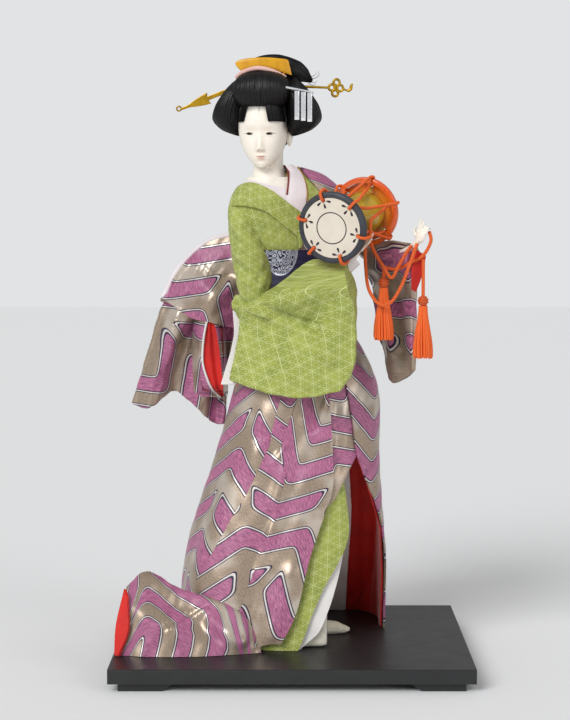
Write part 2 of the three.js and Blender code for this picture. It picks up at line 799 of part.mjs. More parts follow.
// Hair: front roll, two wings, back roll, topknot, temple locks
const wingLevels = [
  { z: 436, x: 30, y: 2, left: 5, right: 5, front: 6, back: 7 },
  { z: 440, x: 32, y: 2, left: 11, right: 10, front: 12, back: 13 },
  { z: 449, x: 33, y: 2, left: 13, right: 14, front: 16, back: 18 },
  { z: 460, x: 31, y: 2, left: 14, right: 13, front: 18, back: 20 },
  { z: 470, x: 27, y: 2, left: 12, right: 11, front: 17, back: 20 },
  { z: 480, x: 22, y: 2, left: 10, right: 8.5, front: 13, back: 16 },
  { z: 487, x: 19, y: 2, left: 4, right: 4, front: 5, back: 6 },
];
const backLevels = [
  { z: 424, x: 0, y: 27, left: 8, right: 8, front: 6, back: 8 },
  { z: 430, x: 0, y: 25, left: 17, right: 17, front: 13, back: 15 },
  { z: 445, x: 0, y: 20, left: 23, right: 23, front: 18, back: 24 },
  { z: 460, x: 0, y: 15, left: 25, right: 25, front: 20, back: 26 },
  { z: 475, x: 0, y: 12, left: 23, right: 23, front: 20, back: 22 },
  { z: 486, x: 0, y: 10, left: 15, right: 15, front: 14, back: 14 },
  { z: 490, x: 0, y: 9, left: 5, right: 5, front: 5, back: 5 },
];
const frontCentre = at(0, -9, 473);
const frontRadii = at(26, 21, 18);
const topknotPath = [at(-19, 7, 487), at(-6, 7, 496), at(8, 8, 497), at(23, 9, 493), at(34, 10, 485)];
const topknotRadii = [7, 10.4, 11, 9.5, 4.5];
const topknotDepth = 1.3;
const mirrored = (levels, side) => levels.map((level) => ({
  ...level,
  x: side * level.x,
  left: side > 0 ? level.left : level.right,
  right: side > 0 ? level.right : level.left,
}));

function topknotBody(grow) {
  const curve = new THREE.CatmullRomCurve3(topknotPath);
  const steps = 8;
  const points = curve.getPoints(steps);
  const radii = points.map((_, i) => {
    const share = (i / steps) * (topknotRadii.length - 1);
    const k = Math.min(Math.floor(share), topknotRadii.length - 2);
    return THREE.MathUtils.lerp(topknotRadii[k], topknotRadii[k + 1], share - k) + grow;
  });
  const geometry = tube(points, radii, 10);
  const middleY = topknotPath[2].y;
  geometry.translate(0, -middleY, 0);
  geometry.scale(1, topknotDepth, 1);
  return geometry.translate(0, middleY, 0);
}

const wing = (side, grow) => solid(body(mirrored(wingLevels, side), grow, 6, 12));
const backHair = (grow) => solid(body(backLevels, grow, 5, 14));
const hairlineHeight = 455.5;
function frontHair(grow) {
  const radii = frontRadii.clone().addScalar(grow);
  return solid(ellipsoid(frontCentre, radii, 14, 8)).subtract(below(hairlineHeight - grow));
}
const skullRoom = join(solid(skull(clearance)), ear(-1), ear(1));

// Hair ornaments
const combY = -10;
const combLowZ = 486;

// The comb: an arched bar seen from the front, its teeth pointing down into the hair.
const combHalf = combWidth / 2;
const combEndInset = 4;
const combShoulder = 2;
const toothRoot = 2;
function comb() {
  const shoulder = combLowZ + combHeight - combShoulder;
  const shape = new THREE.Shape();
  shape.moveTo(-combHalf + combEndInset, combLowZ);
  shape.quadraticCurveTo(0, combLowZ + combRise * 1.6, combHalf - combEndInset, combLowZ);
  shape.lineTo(combHalf, shoulder);
  shape.quadraticCurveTo(0, combLowZ + combHeight + combRise * 1.5, -combHalf, shoulder);
  shape.closePath();
  const bar = new THREE.ExtrudeGeometry(shape, {
    depth: combThickness, bevelEnabled: false, curveSegments: 8,
  });
  bar.rotateX(Math.PI / 2);
  bar.translate(0, combY + combThickness / 2, 0);
  const parts = [solid(bar)];
  for (let i = 0; i < combTeeth; i += 1) {
    const x = -combToothSpan / 2 + (combToothSpan * i) / (combTeeth - 1);
    const top = combLowZ + combRise * (1 - (x / combHalf) ** 2) + toothRoot;
    const low = at(x - combToothHalf, combY - combToothHalf, combLowZ - combToothLength);
    parts.push(solid(block(low, at(x + combToothHalf, combY + combToothHalf, top))));
  }
  return join(...parts);
}

// The room for the comb: its outline straight down to the tips of the teeth, and free upwards
const combLift = 60;
function combRoom() {
  const toothDepth = combToothHalf + clearance;
  const toothReach = combToothSpan / 2 + combToothHalf + 1.4;
  const teethLow = at(-toothReach, combY - toothDepth, combLowZ - combToothLength - clearance);
  const teethHigh = at(toothReach, combY + toothDepth, combLowZ + combRise + 3);
  const barDepth = combThickness / 2 + clearance;
  const barLow = at(-combHalf - past, combY - barDepth, combLowZ - clearance);
  const barHigh = at(combHalf + past, combY + barDepth, combLowZ + combLift);
  return join(solid(block(teethLow, teethHigh)), solid(block(barLow, barHigh)));
}

function pinBar(length, grow) {
  const half = pinWidth / 2 + grow;
  const depth = pinThickness / 2 + grow;
  return solid(block(at(0, -depth, -half), at(length, depth, half)));
}

// A shape drawn along X, laid from a start towards an end.
function along(shape, start, end) {
  const matrix = new THREE.Matrix4();
  const forward = end.clone().sub(start).normalize();
  const side = at(0, 0, 1).cross(forward).normalize();
  const upward = forward.clone().cross(side);
  matrix.makeBasis(forward, side, upward).setPosition(start);
  return shape.transform(matrix.elements);
}
const arrowRoot = at(-4, 2, 486);
const arrowTip = at(-77, 1, 458);
const knotRoot = at(12, 6, 478);
const knotTip = at(72, 12, 480);
const arrowLength = arrowRoot.distanceTo(arrowTip);
const knotLength = knotRoot.distanceTo(knotTip);

// A flat plate of a pin's thickness, and the curl at a pin's end.
function pinPlate(shape, curveSegments) {
  const plate = new THREE.ExtrudeGeometry(shape, {
    depth: pinThickness, bevelEnabled: false, curveSegments,
  });
  return solid(plate.rotateX(Math.PI / 2).translate(0, pinThickness / 2, 0));
}
const curlRise = 1.2;
function pinCurl(length, sides) {
  const curl = new THREE.TorusGeometry(pinCurlRadius, pinCurlWire, 4, sides);
  return solid(curl.rotateX(Math.PI / 2).translate(length, 0, curlRise));
}

// Arrow hairpin: a flat bar, an arrow head and a curled end
const arrowHeadLength = 28;
const arrowHeadHalf = 5;
const arrowNeckLength = 9;
const arrowNeckHalf = 1.2;
const pinEnd = pinCurlRadius;
function arrowPin() {
  const barb = arrowLength - arrowHeadLength;
  const waistX = arrowLength - arrowNeckLength;
  const bulgeX = arrowLength - 20;
  const bulgeHalf = 4.4;
  const shape = new THREE.Shape();
  shape.moveTo(barb + 2, 0);
  shape.lineTo(barb, arrowHeadHalf);
  shape.quadraticCurveTo(bulgeX, bulgeHalf, waistX, arrowNeckHalf);
  shape.lineTo(arrowLength - pinEnd, 1);
  shape.lineTo(arrowLength - pinEnd, -1);
  shape.lineTo(waistX, -arrowNeckHalf);
  shape.quadraticCurveTo(bulgeX, -bulgeHalf, barb, -arrowHeadHalf);
  shape.closePath();
  return join(pinBar(barb + 6, 0), pinPlate(shape, 5), pinCurl(arrowLength, 9));
}

// Knot hairpin: a flat bar, four pierced loops and a curled end
const knotPlace = knotLength - 16;
const loopRadius = 3.6;
const loopHole = 1.7;
const loopOffset = 3.1;
const loopHalfArc = radians(86.5);
function knotPin() {
  const shape = new THREE.Shape();
  for (let i = 0; i < 4; i += 1) {
    const heading = (i * Math.PI) / 2;
    const x = knotPlace + loopOffset * Math.cos(heading);
    const z = loopOffset * Math.sin(heading);
    shape.absarc(x, z, loopRadius, heading - loopHalfArc, heading + loopHalfArc, false);
    const hole = new THREE.Path();
    hole.absarc(x, z, loopHole, 0, 2 * Math.PI, true);
    shape.holes.push(hole);
  }
  shape.closePath();
  const depth = pinThickness / 2;
  const tip = solid(block(at(knotPlace + 5, -depth, -1), at(knotLength - pinEnd, depth, 1)));
  return join(pinBar(knotPlace - 5, 0), pinPlate(shape, 4), tip, pinCurl(knotLength, 8));
}
const arrowShape = along(arrowPin(), arrowRoot, arrowTip);
const knotShape = along(knotPin(), knotRoot, knotTip);
const arrowRoom = along(pinBar(arrowLength, clearance), arrowRoot, arrowTip);
const knotRoom = along(pinBar(knotLength, clearance), knotRoot, knotTip);

// Silver ornament: a bar on a pin in the hair, and three strips that swing from it
const ornamentStart = at(11, -30.5, 476);
const ornamentEnd = at(39, -19, 472);
const ornamentHeight = 3.4;
const ornamentThickness = 1.6;
const ornamentDirection = ornamentEnd.clone().sub(ornamentStart);
const ornamentLength = ornamentDirection.length();
const ornamentYaw = Math.atan2(ornamentDirection.y, ornamentDirection.x);
const ornamentPinRadius = 1;
const ornamentPinEnds = [ornamentStart.clone().add(at(5, 2, 0)), at(20, -8, 474)];
const ornamentPin = (grow) => solid(tube(ornamentPinEnds, ornamentPinRadius + grow, 8));
const ornamentBar = () => {
  const bar = along(
    solid(block(
      at(0, -ornamentThickness / 2, -ornamentHeight / 2),
      at(ornamentLength, ornamentThickness / 2, ornamentHeight / 2),
    )),
    ornamentStart,
    ornamentEnd,
  );
  return join(bar, ornamentPin(0));
};
const stripPlaces = [0, 1, 2].map((i) => {
  const share = (ornamentLength - stripWidth / 2 - 1 - (2 - i) * stripPitch) / ornamentLength;
  return ornamentStart.clone().lerp(ornamentEnd, share);
});
const stripGap = 0.7;
function strip(place) {
  const top = place.z - ornamentHeight / 2 - stripGap;
  const plate = block(
    at(-stripWidth / 2, -stripThickness / 2, top - stripLength - place.z),
    at(stripWidth / 2, stripThickness / 2, top - place.z),
  );
  plate.rotateZ(ornamentYaw);
  return solid(plate.translate(place.x, place.y, place.z));
}

// The silk tie behind the front roll
const tieMiddle = [
  at(-24, -8, 481), at(-13, -15, 486.5), at(0, -17.5, 488), at(13, -15, 486.5), at(24, -8, 481),
];
const tieRadius = 1.9;
const tieBand = (grow) => solid(limb(tieMiddle, tieRadius + grow, 8, 6));

const pinRooms = [arrowRoom, knotRoom, ornamentPin(clearance), combRoom()];
const frontHairShape = largest(cut(frontHair(0), skullRoom, tieBand(clearance), ...pinRooms));
const backHairShape = largest(cut(backHair(0), skullRoom, frontHair(clearance), ...pinRooms));
const neckDistance = 2;
const wingShapes = [-1, 1].map((side) => largest(cut(
  wing(side, 0), skullRoom, solid(neck(neckDistance)), frontHair(clearance), backHair(clearance),
  tieBand(clearance), ...pinRooms,
)));
const topknotShape = largest(cut(
  solid(topknotBody(0)), frontHair(clearance), backHair(clearance),
  wing(-1, clearance), wing(1, clearance), tieBand(clearance), ...pinRooms,
));

// Temple locks: thin curved slabs that hug the head, cut off straight at brow height
const lockThickness = 2.4;
const lockCut = 446;
const lockTop = 462;
const lockBackY = -8;
function lock(low, high) {
  const shell = solid(skull(clearance + lockThickness)).subtract(solid(skull(clearance)));
  const window = solid(block(at(low, -beyond, lockCut), at(high, lockBackY, lockTop)));
  const rooms = [frontHair(clearance), wing(-1, clearance), wing(1, clearance)];
  return largest(cut(shell.intersect(window), ...rooms));
}

add(headGroup, 'head', head, shellPaste);
add(headGroup, 'eye_left', eye(1, -clearance / 2), eyeGlass);
add(headGroup, 'eye_right', eye(-1, -clearance / 2), eyeGlass);
add(headGroup, 'hair_front', frontHairShape, hair);
add(headGroup, 'hair_back', backHairShape, hair);
add(headGroup, 'hair_wing_left', wingShapes[1], hair);
add(headGroup, 'hair_wing_right', wingShapes[0], hair);
add(headGroup, 'hair_topknot', topknotShape, hair);
add(headGroup, 'temple_lock_left', lock(5, 19), hair);
add(headGroup, 'temple_lock_right', lock(-21, -12), hair);
add(headGroup, 'hair_tie', cut(tieBand(0), combRoom()), tieSilk);
add(headGroup, 'comb', comb(), amber);
add(headGroup, 'hairpin_arrow', arrowShape, gilt);
add(headGroup, 'hairpin_knot', knotShape, gilt);
add(headGroup, 'ornament_bar', ornamentBar(), silver);
stripPlaces.forEach((place, i) => add(headGroup, `ornament_strip_${i + 1}`, strip(place), silver));

// A surface patch between four edge curves that share their corners
function patch(top, bottom, left, right) {
  const curves = [top, bottom, left, right].map((points) => new THREE.CatmullRomCurve3(points));
  const corners = [top[0], top[top.length - 1], bottom[0], bottom[bottom.length - 1]];
  return (u, v) => {
    const result = curves[0].getPoint(u).multiplyScalar(1 - v);
    result.addScaledVector(curves[1].getPoint(u), v);
    result.addScaledVector(curves[2].getPoint(v), 1 - u);
    result.addScaledVector(curves[3].getPoint(v), u);
    const shares = [(1 - u) * (1 - v), u * (1 - v), (1 - u) * v, u * v];
    corners.forEach((corner, i) => result.addScaledVector(corner, -shares[i]));
    return result;
  };
}

// A stuffed or doubled cloth: a patch made thick by a half thickness that varies over it
function pillow(middle, half, stepsU, stepsV) {
  const step = 2e-3;
  const side = (sign) => (u, v) => {
    const u0 = THREE.MathUtils.clamp(u - step, 0, 1 - 2 * step);
    const v0 = THREE.MathUtils.clamp(v - step, 0, 1 - 2 * step);
    const alongU = middle(u0 + 2 * step, v).sub(middle(u0, v));
    const alongV = middle(u, v0 + 2 * step).sub(middle(u, v0));
    const normal = alongU.cross(alongV).normalize();
    return middle(u, v).addScaledVector(normal, sign * half(u, v));
  };
  return slab(side(1), side(-1), stepsU, stepsV);
}

// A soft crease along a line in the patch: 1 on the line and 0 away from it
function crease(u, v, from, to, width) {
  const dx = to[0] - from[0];
  const dy = to[1] - from[1];
  const run = ((u - from[0]) * dx + (v - from[1]) * dy) / (dx * dx + dy * dy);
  const share = THREE.MathUtils.clamp(run, 0, 1);
  const away = Math.hypot(u - from[0] - share * dx, v - from[1] - share * dy);
  return Math.exp(-((away / width) ** 2));
}

// Collar: a ribbon round the neck between an upper and an outer rail, crossing at the breast
const collarInner = [
  at(-4, -23, 388), at(-3, -18, 399), at(-1, -8, 408), at(-1, 4, 412),
  at(-7, 16, 412), at(-20, 21, 410), at(-33, 15, 406), at(-38, 4, 402),
  at(-38, -9, 399), at(-32, -18, 396), at(-21, -22, 393), at(-8, -25, 388),
];
const collarOuter = [
  at(10, -28, 371), at(12, -22, 386), at(11, -9, 397), at(9, 8, 398),
  at(2, 23, 396), at(-17, 29, 393), at(-38, 22, 390), at(-47, 6, 389),
  at(-47, -9, 387), at(-38, -21, 386), at(-22, -26, 383), at(-1, -29, 371),
];
const collarWidth = 12;
function collar(grow) {
  const inner = new THREE.CatmullRomCurve3(collarInner);
  const outer = new THREE.CatmullRomCurve3(collarOuter);
  const wider = grow / collarWidth;
  const middle = (u, v) => inner.getPoint(u).lerp(outer.getPoint(u), -wider + v * (1 + 2 * wider));
  return solid(sheet(middle, liningCloth + 2 * grow, 18, 2));
}
const pipingRadius = 0.8;
const pipingRise = 0.4;
const pipingInset = liningCloth / 2 + pipingRadius + clearance;
const pipingPoints = collarInner.slice(0, 8).map((point) => {
  const inward = at(neckX - point.x, neckY - point.y, 0).normalize();
  return point.clone().addScaledVector(inward, pipingInset).add(at(0, 0, pipingRise));
});

// The whole space that the skirt takes
function skirtMass(grow) {
  const rings = [];
  const around = 30;
  skirtRows.forEach((z, row) => {
    const height = z - (row === 0 ? past : 0) + (row === skirtRowCount ? grow : 0);
    const ring = [];
    for (let k = 0; k < around; k += 1) {
      ring.push(skirtPoint((360 * k) / around, z, -grow).setZ(height));
    }
    rings.push(ring);
  });
  return solid(new LoftGeometry(rings, { capStart: true, capEnd: true }));
}

// Bodices: shells over the core, cut at the neckline
const coreRoom = solid(coreBody(clearance));
const greenOver = clearance + cloth;
const purpleUnder = greenOver + drape;
const purpleOver = purpleUnder + cloth;

function silhouette(points, yLow, yHigh) {
  const shape = new THREE.Shape(points.map(([x, z]) => new THREE.Vector2(x, z)));
  const geometry = new THREE.ExtrudeGeometry(shape, { depth: yHigh - yLow, bevelEnabled: false });
  geometry.rotateX(Math.PI / 2);
  return solid(geometry.translate(0, yHigh, 0));
}
const greenNeckline = [
  [-36, 430], [-36, 400], [-24, 391], [-10, 384], [0, 374], [9, 364], [11, 378], [12, 396], [8, 430],
];
const neckHole = (radius) => solid(post(neckX, neckY, 383, 440, radius, 16));
const collarNeckRadius = 17.5;
const greenNeckRadius = 19;
const purpleNeckRadius = 24;
const greenBodice = largest(cut(
  solid(coreBody(greenOver)),
  coreRoom,
  below(obiBottom + hangHalf),
  silhouette(greenNeckline, -beyond, neckY),
  neckHole(greenNeckRadius),
  collar(clearance),
));
const purpleFront = [[4, 300], [6, 345], [13, 377], [25, 389], [20, 430], [90, 430], [90, 300]];
const purpleBack = [[-30, 300], [-30, 345], [-10, 385], [-4, 430], [90, 430], [90, 300]];
const purpleBodice = largest(cut(
  solid(coreBody(purpleOver))
    .intersect(join(silhouette(purpleFront, -beyond, 2), silhouette(purpleBack, 1, beyond))),
  solid(coreBody(purpleUnder)),
  below(skirtTop + 1),
  neckHole(purpleNeckRadius),
  collar(clearance),
));
const bodyCore = largest(cut(solid(coreBody(0)), neckInDoll(neckPlay), rod(clearance)));
const collarShape = largest(cut(collar(0), coreRoom, neckHole(collarNeckRadius)));
const piping = cord(pipingPoints, pipingRadius, 12, 6);

// Obi and its knot behind
const breast = between(coreLevels, obiTop);
const obiMiddle = obiBottom + 17;
const obiLevels = (extra) => [
  [obiBottom, waist, 10.2], [obiMiddle, waist, 6.4], [obiTop, breast, 6],
].map(([z, level, over]) => ({
  z, x: level.x, y: level.y, left: level.left + over + extra, right: level.right + over + extra,
  front: level.front + over + extra, back: level.back + over + extra, twist: level.twist,
}));
const obiRing = (grow) => solid(body(obiLevels(obiThickness + grow), 0, 4, 20));
const obiHole = solid(body(obiLevels(0), 0, 4, 20));
const obi = obiRing(0).subtract(obiHole.add(
  solid(block(at(-22, -16, obiBottom - 5), at(16, 16, obiTop + 5))),
));
const knotLevels = [
  { z: 293, x: -3, y: 40, left: 28, right: 28, front: 12, back: 7, square: 4 },
  { z: 298, x: -3, y: 40, left: 34, right: 34, front: 15, back: 11, square: 4 },
  { z: 322, x: -3, y: 40, left: 36, right: 36, front: 16, back: 13, square: 4 },
  { z: 346, x: -3, y: 42, left: 34, right: 34, front: 11, back: 10, square: 4 },
  { z: 351, x: -3, y: 42, left: 28, right: 28, front: 8, back: 6, square: 4 },
];
const knotBody = (grow) => solid(body(knotLevels, grow, 5, 14));
const obiKnot = largest(cut(
  knotBody(0),
  obiRing(clearance),
  skirtMass(clearance),
  solid(coreBody(purpleOver + clearance)),
));

// Right sleeve of the green kimono: upper arm, forearm and the bag that hangs from it
const greenTop = [
  at(-48, -16, 300), at(-30, -28, 299), at(-8, -43, 312), at(18, -60, 331), at(45, -74, 329),
];
const greenBottom = [at(-53, -26, 227), at(-26, -42, 219), at(7, -60, 215), at(40, -72, 222)];
const greenLeft = [at(-48, -16, 300), at(-44, -18, 272), at(-53, -26, 227)];
const greenRight = [
  at(45, -74, 329), at(51, -78, 300), at(53, -79, 264), at(50, -77, 238), at(40, -72, 222),
];
const greenPatch = patch(greenTop, greenBottom, greenLeft, greenRight);
function greenFold(u, v) {
  const valley = crease(u, v, [0.12, 0.16], [0.66, 0.42], 0.07);
  const ridge = crease(u, v, [0.98, 0.2], [0.5, 0.8], 0.12);
  const drop = crease(u, v, [0.2, 0.35], [0.3, 0.9], 0.1);
  return 3.4 * valley - 3.6 * ridge - 1.6 * drop;
}
const greenMiddle = (u, v) => greenPatch(u, v).add(at(0, greenFold(u, v), 0));
const forearmHalf = 10;
const greenHalf = (u, v) => hangHalf + forearmHalf * Math.sin(Math.PI * Math.min(v / 0.34, 1));
const greenPillow = (grow) => (
  solid(pillow(greenMiddle, (u, v) => greenHalf(u, v) + grow, 12, 10))
);
const upperArmRadius = 11.5;
const upperArm = [at(-38, 0, 384), at(-43, -3, 365), at(-43, -8, 338), at(-37, -17, 308)];
const bodiceRoom = solid(coreBody(greenOver + clearance));
const rightHandPoints = [at(40, -70, 319), at(47, -70, 327), at(52, -66, 335)];
const rightWristRadius = 3.4;
const wristRoom = solid(tube(rightHandPoints, rightWristRadius + clearance, 10));
const greenSleeve = largest(cut(
  join(greenPillow(0), solid(limb(upperArm, upperArmRadius, 5, 10))),
  bodiceRoom,
  obiRing(clearance),
  skirtMass(drape),
  wristRoom,
));
const liningShift = hangHalf + liningCloth / 2 + clearance;
const liningTop = [at(-51, -16 + liningShift, 286), at(-44, -16 + liningShift, 286)];
const liningBottom = [at(-61, -25 + liningShift, 223), at(-48, -26 + liningShift, 223)];
const liningSide = (shift) => [
  at(-51 + shift, -16 + liningShift, 286), at(-50 + shift, -17.5 + liningShift, 264),
];
const whiteEdgePatch = patch(
  liningTop,
  liningBottom,
  [...liningSide(0), liningBottom[0]],
  [...liningSide(7), liningBottom[1]],
);
const whiteEdgeLining = largest(cut(
  solid(sheet(whiteEdgePatch, liningCloth, 2, 6)),
  greenPillow(clearance),
));
const cuffEnds = [at(43, -72, 321), at(50.5, -69, 331)];
const cuffRadii = [4.6, 7];
const cuff = cut(solid(tube(cuffEnds, cuffRadii, 12)), wristRoom, greenPillow(clearance));

// Left sleeve of the purple kimono, with its red lining at the wrist
const leftTop = [at(68, 0, 344), at(84, -27, 346.5), at(101, -55, 344)];
const leftBottom = [at(74, -6, 262), at(88, -26, 225), at(101, -49, 237)];
const leftFar = [at(68, 0, 344), at(70, -3, 302), at(74, -6, 262)];
const leftNear = [at(101, -55, 344), at(103, -56, 318), at(101, -52, 280), at(101, -49, 237)];
const leftPatch = patch(leftTop, leftBottom, leftFar, leftNear);
const leftFold = (u, v) => 2.4 * Math.sin(2.5 * Math.PI * u + 0.6) * smooth(v, 0.25, 0.9);
const leftMiddle = (u, v) => leftPatch(u, v).add(at(leftFold(u, v), 0, 0));
const leftForearmHalf = 7;
const leftHalf = (u, v) => hangHalf + leftForearmHalf * Math.sin(Math.PI * Math.min(v / 0.4, 1));
const leftPillow = (grow) => solid(pillow(leftMiddle, (u, v) => leftHalf(u, v) + grow, 9, 9));
const leftArm = [at(28, 9, 382), at(46, 12, 364), at(62, 8, 342), at(76, -8, 332)];
const leftArmRadii = [13, 13, 12.5, 11.5, 10, 9];
const leftHandPoints = [at(92, -46, 336), at(99, -54, 340), at(104, -57, 345)];
const wristRadius = 3.1;
const leftWristRoom = solid(tube(leftHandPoints, wristRadius + clearance, 10));
const purpleSleeve = largest(cut(
  join(leftPillow(0), solid(limb(leftArm, leftArmRadii, 5, 10))),
  solid(coreBody(purpleOver + clearance)),
  obiRing(clearance),
  skirtMass(clearance),
  leftWristRoom,
));
const redCuffPatch = patch(
  [at(100, -61, 341), at(111, -61, 334)],
  [at(99, -60, 306), at(103, -60, 304)],
  [at(100, -61, 341), at(99, -61, 322), at(99, -60, 306)],
  [at(111, -61, 334), at(108, -61, 318), at(103, -60, 304)],
);
const redCuffHalf = 2;
const redCuff = largest(cut(
  solid(pillow(redCuffPatch, () => redCuffHalf, 3, 6)),
  leftPillow(clearance),
  leftWristRoom,
));

// Right sleeve of the purple kimono, slipped off and hanging behind the waist
const slipTop = [at(-56, 34, 345), at(-26, 22, 337)];
const slipBottom = [
  at(-144, 42, 199), at(-127, 44, 196), at(-107, 44, 211),
  at(-86, 44, 198), at(-69, 42, 181), at(-61, 40, 182),
];
const slipLeft = [
  at(-56, 34, 345), at(-90, 38, 325), at(-113, 40, 293), at(-127, 41, 252), at(-144, 42, 199),
];
const slipRight = [at(-26, 22, 337), at(-42, 32, 290), at(-56, 38, 235), at(-61, 40, 182)];
const slipPatch = patch(slipTop, slipBottom, slipLeft, slipRight);
const slipFold = (u, v) => 7 * smooth(v, 0.1, 0.7) * Math.sin(2 * Math.PI * (2.4 * u + 0.25 * v));
const slipMiddle = (u, v) => slipPatch(u, v).add(at(0, slipFold(u, v), 0));
const slipHalf = (u, v) => 2 + 4 * Math.sin(Math.PI * u) * Math.sin(Math.PI * v);
const slipPillow = (grow) => solid(pillow(slipMiddle, (u, v) => slipHalf(u, v) + grow, 16, 9));
const slippedSleeve = largest(cut(
  slipPillow(0),
  obiRing(clearance),
  knotBody(clearance),
  solid(coreBody(purpleOver + clearance)),
  skirtMass(clearance),
));
const slipLiningPatch = patch(
  [at(-74, 26, 292), at(-61, 26, 292)],
  [at(-79, 30, 214), at(-60, 30, 212)],
  [at(-74, 26, 292), at(-83, 28, 252), at(-79, 30, 214)],
  [at(-61, 26, 292), at(-60, 28, 252), at(-60, 30, 212)],
);
const slipLiningHalf = 9;
const slippedLining = largest(cut(
  solid(pillow(slipLiningPatch, () => slipLiningHalf, 4, 7)),
  slipPillow(clearance),
  skirtMass(clearance),
));

// Train: the hem swept to the left and folded forward, and its padded red edge
const trainFront = [
  at(-146, -74, hemLift), at(-115, -79, hemLift), at(-79, -78, hemLift), at(-50, -72, hemLift),
  at(-26, -65, hemLift),
];
const trainRidge = [
  at(-139, -62, 56), at(-124, -47, 66), at(-96, -48, 52),
  at(-62, -54, 42), at(-40, -58, 30), at(-26, -61, 4),
];
const trainBack = [
  at(-129, -24, hemLift), at(-114, 12, hemLift), at(-96, 24, hemLift), at(-70, 16, hemLift),
  at(-46, -25, hemLift), at(-26, -56, hemLift),
];
const ridgeLow = 3;
function trainBody() {
  const curves = [trainFront, trainRidge, trainBack].map((p) => new THREE.CatmullRomCurve3(p));
  const rings = [];
  const steps = 14;
  for (let i = 0; i <= steps; i += 1) {
    const share = i / steps;
    const [f, r, b] = curves.map((curve) => curve.getPoint(share));
    r.z = Math.max(r.z, ridgeLow);
    const wave = 2.5 * Math.sin(9 * share) * Math.sin(Math.PI * share);
    const bulge = at(0, -3 - wave, 2).multiplyScalar(0.1 + 0.9 * smooth(r.z, 4, 30));
    const drop = b.clone().sub(r);
    const ring = [
      b,
      r.clone().addScaledVector(drop, 0.75).add(at(0, 0, -0.1 * r.z)),
      r.clone().addScaledVector(drop, 0.4).add(at(0, 0, -0.18 * r.z)),
      r.clone().addScaledVector(drop, 0.12),
      r,
      f.clone().lerp(r, 0.75).add(bulge),
      f.clone().lerp(r, 0.35).add(bulge),
      f,
    ];
    ring.forEach((point) => point.setZ(Math.max(point.z, hemLift)));
    rings.push(ring);
  }
  return new LoftGeometry(rings, { capStart: true, capEnd: true });
}
const hemPatch = (grow) => patch(
  [at(-140, -64, 55 + grow), at(-138, -69, 50 + grow)],
  [at(-148, -73, hemLift - grow), at(-144.5, -78, hemLift - grow)],
  [at(-140, -64, 55 + grow), at(-147, -70, 26), at(-148, -73, hemLift - grow)],
  [at(-138, -69, 50 + grow), at(-136, -77, 22), at(-144.5, -78, hemLift - grow)],
);
const hemHalf = 1.6;
const trainHem = (grow) => solid(pillow(hemPatch(grow), () => hemHalf + grow, 2, 8));
const trainHemShape = largest(trainHem(0).subtract(below(hemLift)));
const train = largest(cut(solid(trainBody()), skirtMass(2 * drape), trainHem(clearance)));

// Drum: hourglass body, two heads laced together
const drumFront = at(32, -95, 357);
const drumAxis = at(31, 67, 14).normalize();
const drumGroup = new THREE.Group();
drumGroup.position.copy(drumFront);
const drumRight = at(0, 0, 1).cross(drumAxis).negate().normalize();
const drumDown = drumAxis.clone().cross(drumRight).normalize();
const drumMatrix = new THREE.Matrix4().makeBasis(drumRight, drumDown, drumAxis);
drumGroup.quaternion.setFromRotationMatrix(drumMatrix);
doll.add(drumGroup);
const drumToDoll = drumMatrix.clone().setPosition(drumFront);

const polar = (radius, degrees, z) => at(
  radius * Math.cos(radians(degrees)), radius * Math.sin(radians(degrees)), z,
);
const rimInner = drumRadius - drumRimWidth;
const rimRound = 1;
const drumHeadProfile = [
  [0, 0], [drumRadius - rimRound, 0], [drumRadius, rimRound],
  [drumRadius, drumHeadThickness - rimRound], [drumRadius - rimRound, drumHeadThickness],
  [rimInner, drumHeadThickness], [rimInner, drumSkin], [0, drumSkin],
];
const firstHole = 16;
const holeAngle = (i) => (360 * i) / laceCount + firstHole;
const rearTurn = 180 / laceCount;
function drumHead(rear) {
  const profile = drumHeadProfile.map(([radius, z]) => new THREE.Vector2(radius, z));
  const geometry = new THREE.LatheGeometry(profile, 24).rotateX(Math.PI / 2);
  let shape = solid(geometry);
  for (let i = 0; i < laceCount; i += 1) {
    const place = polar(drumHoleCircle, rear ? -holeAngle(i) - rearTurn : holeAngle(i), 0);
    const hole = post(place.x, place.y, -past, drumSkin + past, drumHoleRadius, 6);
    shape = shape.subtract(solid(hole));
  }
  return shape;
}
const bodyLow = drumSkin + clearance;
const bodyMiddle = drumLength / 2;
const hourglass = [
  [drumCupRadius, bodyLow], [drumCupRadius + 0.4, bodyLow + 9], [drumCupRadius - 3.5, bodyLow + 19],
  [drumWaistRadius + 1.2, bodyLow + 27], [drumWaistRadius, bodyMiddle],
];
function drumBody() {
  const upper = hourglass.slice(0, -1).reverse().map(([radius, z]) => [radius, drumLength - z]);
  const outside = [...hourglass, ...upper];
  const inside = outside.slice().reverse().map(([radius, z]) => [radius - drumWall, z]);
  const profile = [...outside, ...inside, outside[0]];
  const points = profile.map(([radius, z]) => new THREE.Vector2(radius, z));
  return solid(new THREE.LatheGeometry(points, 16).rotateX(Math.PI / 2));
}

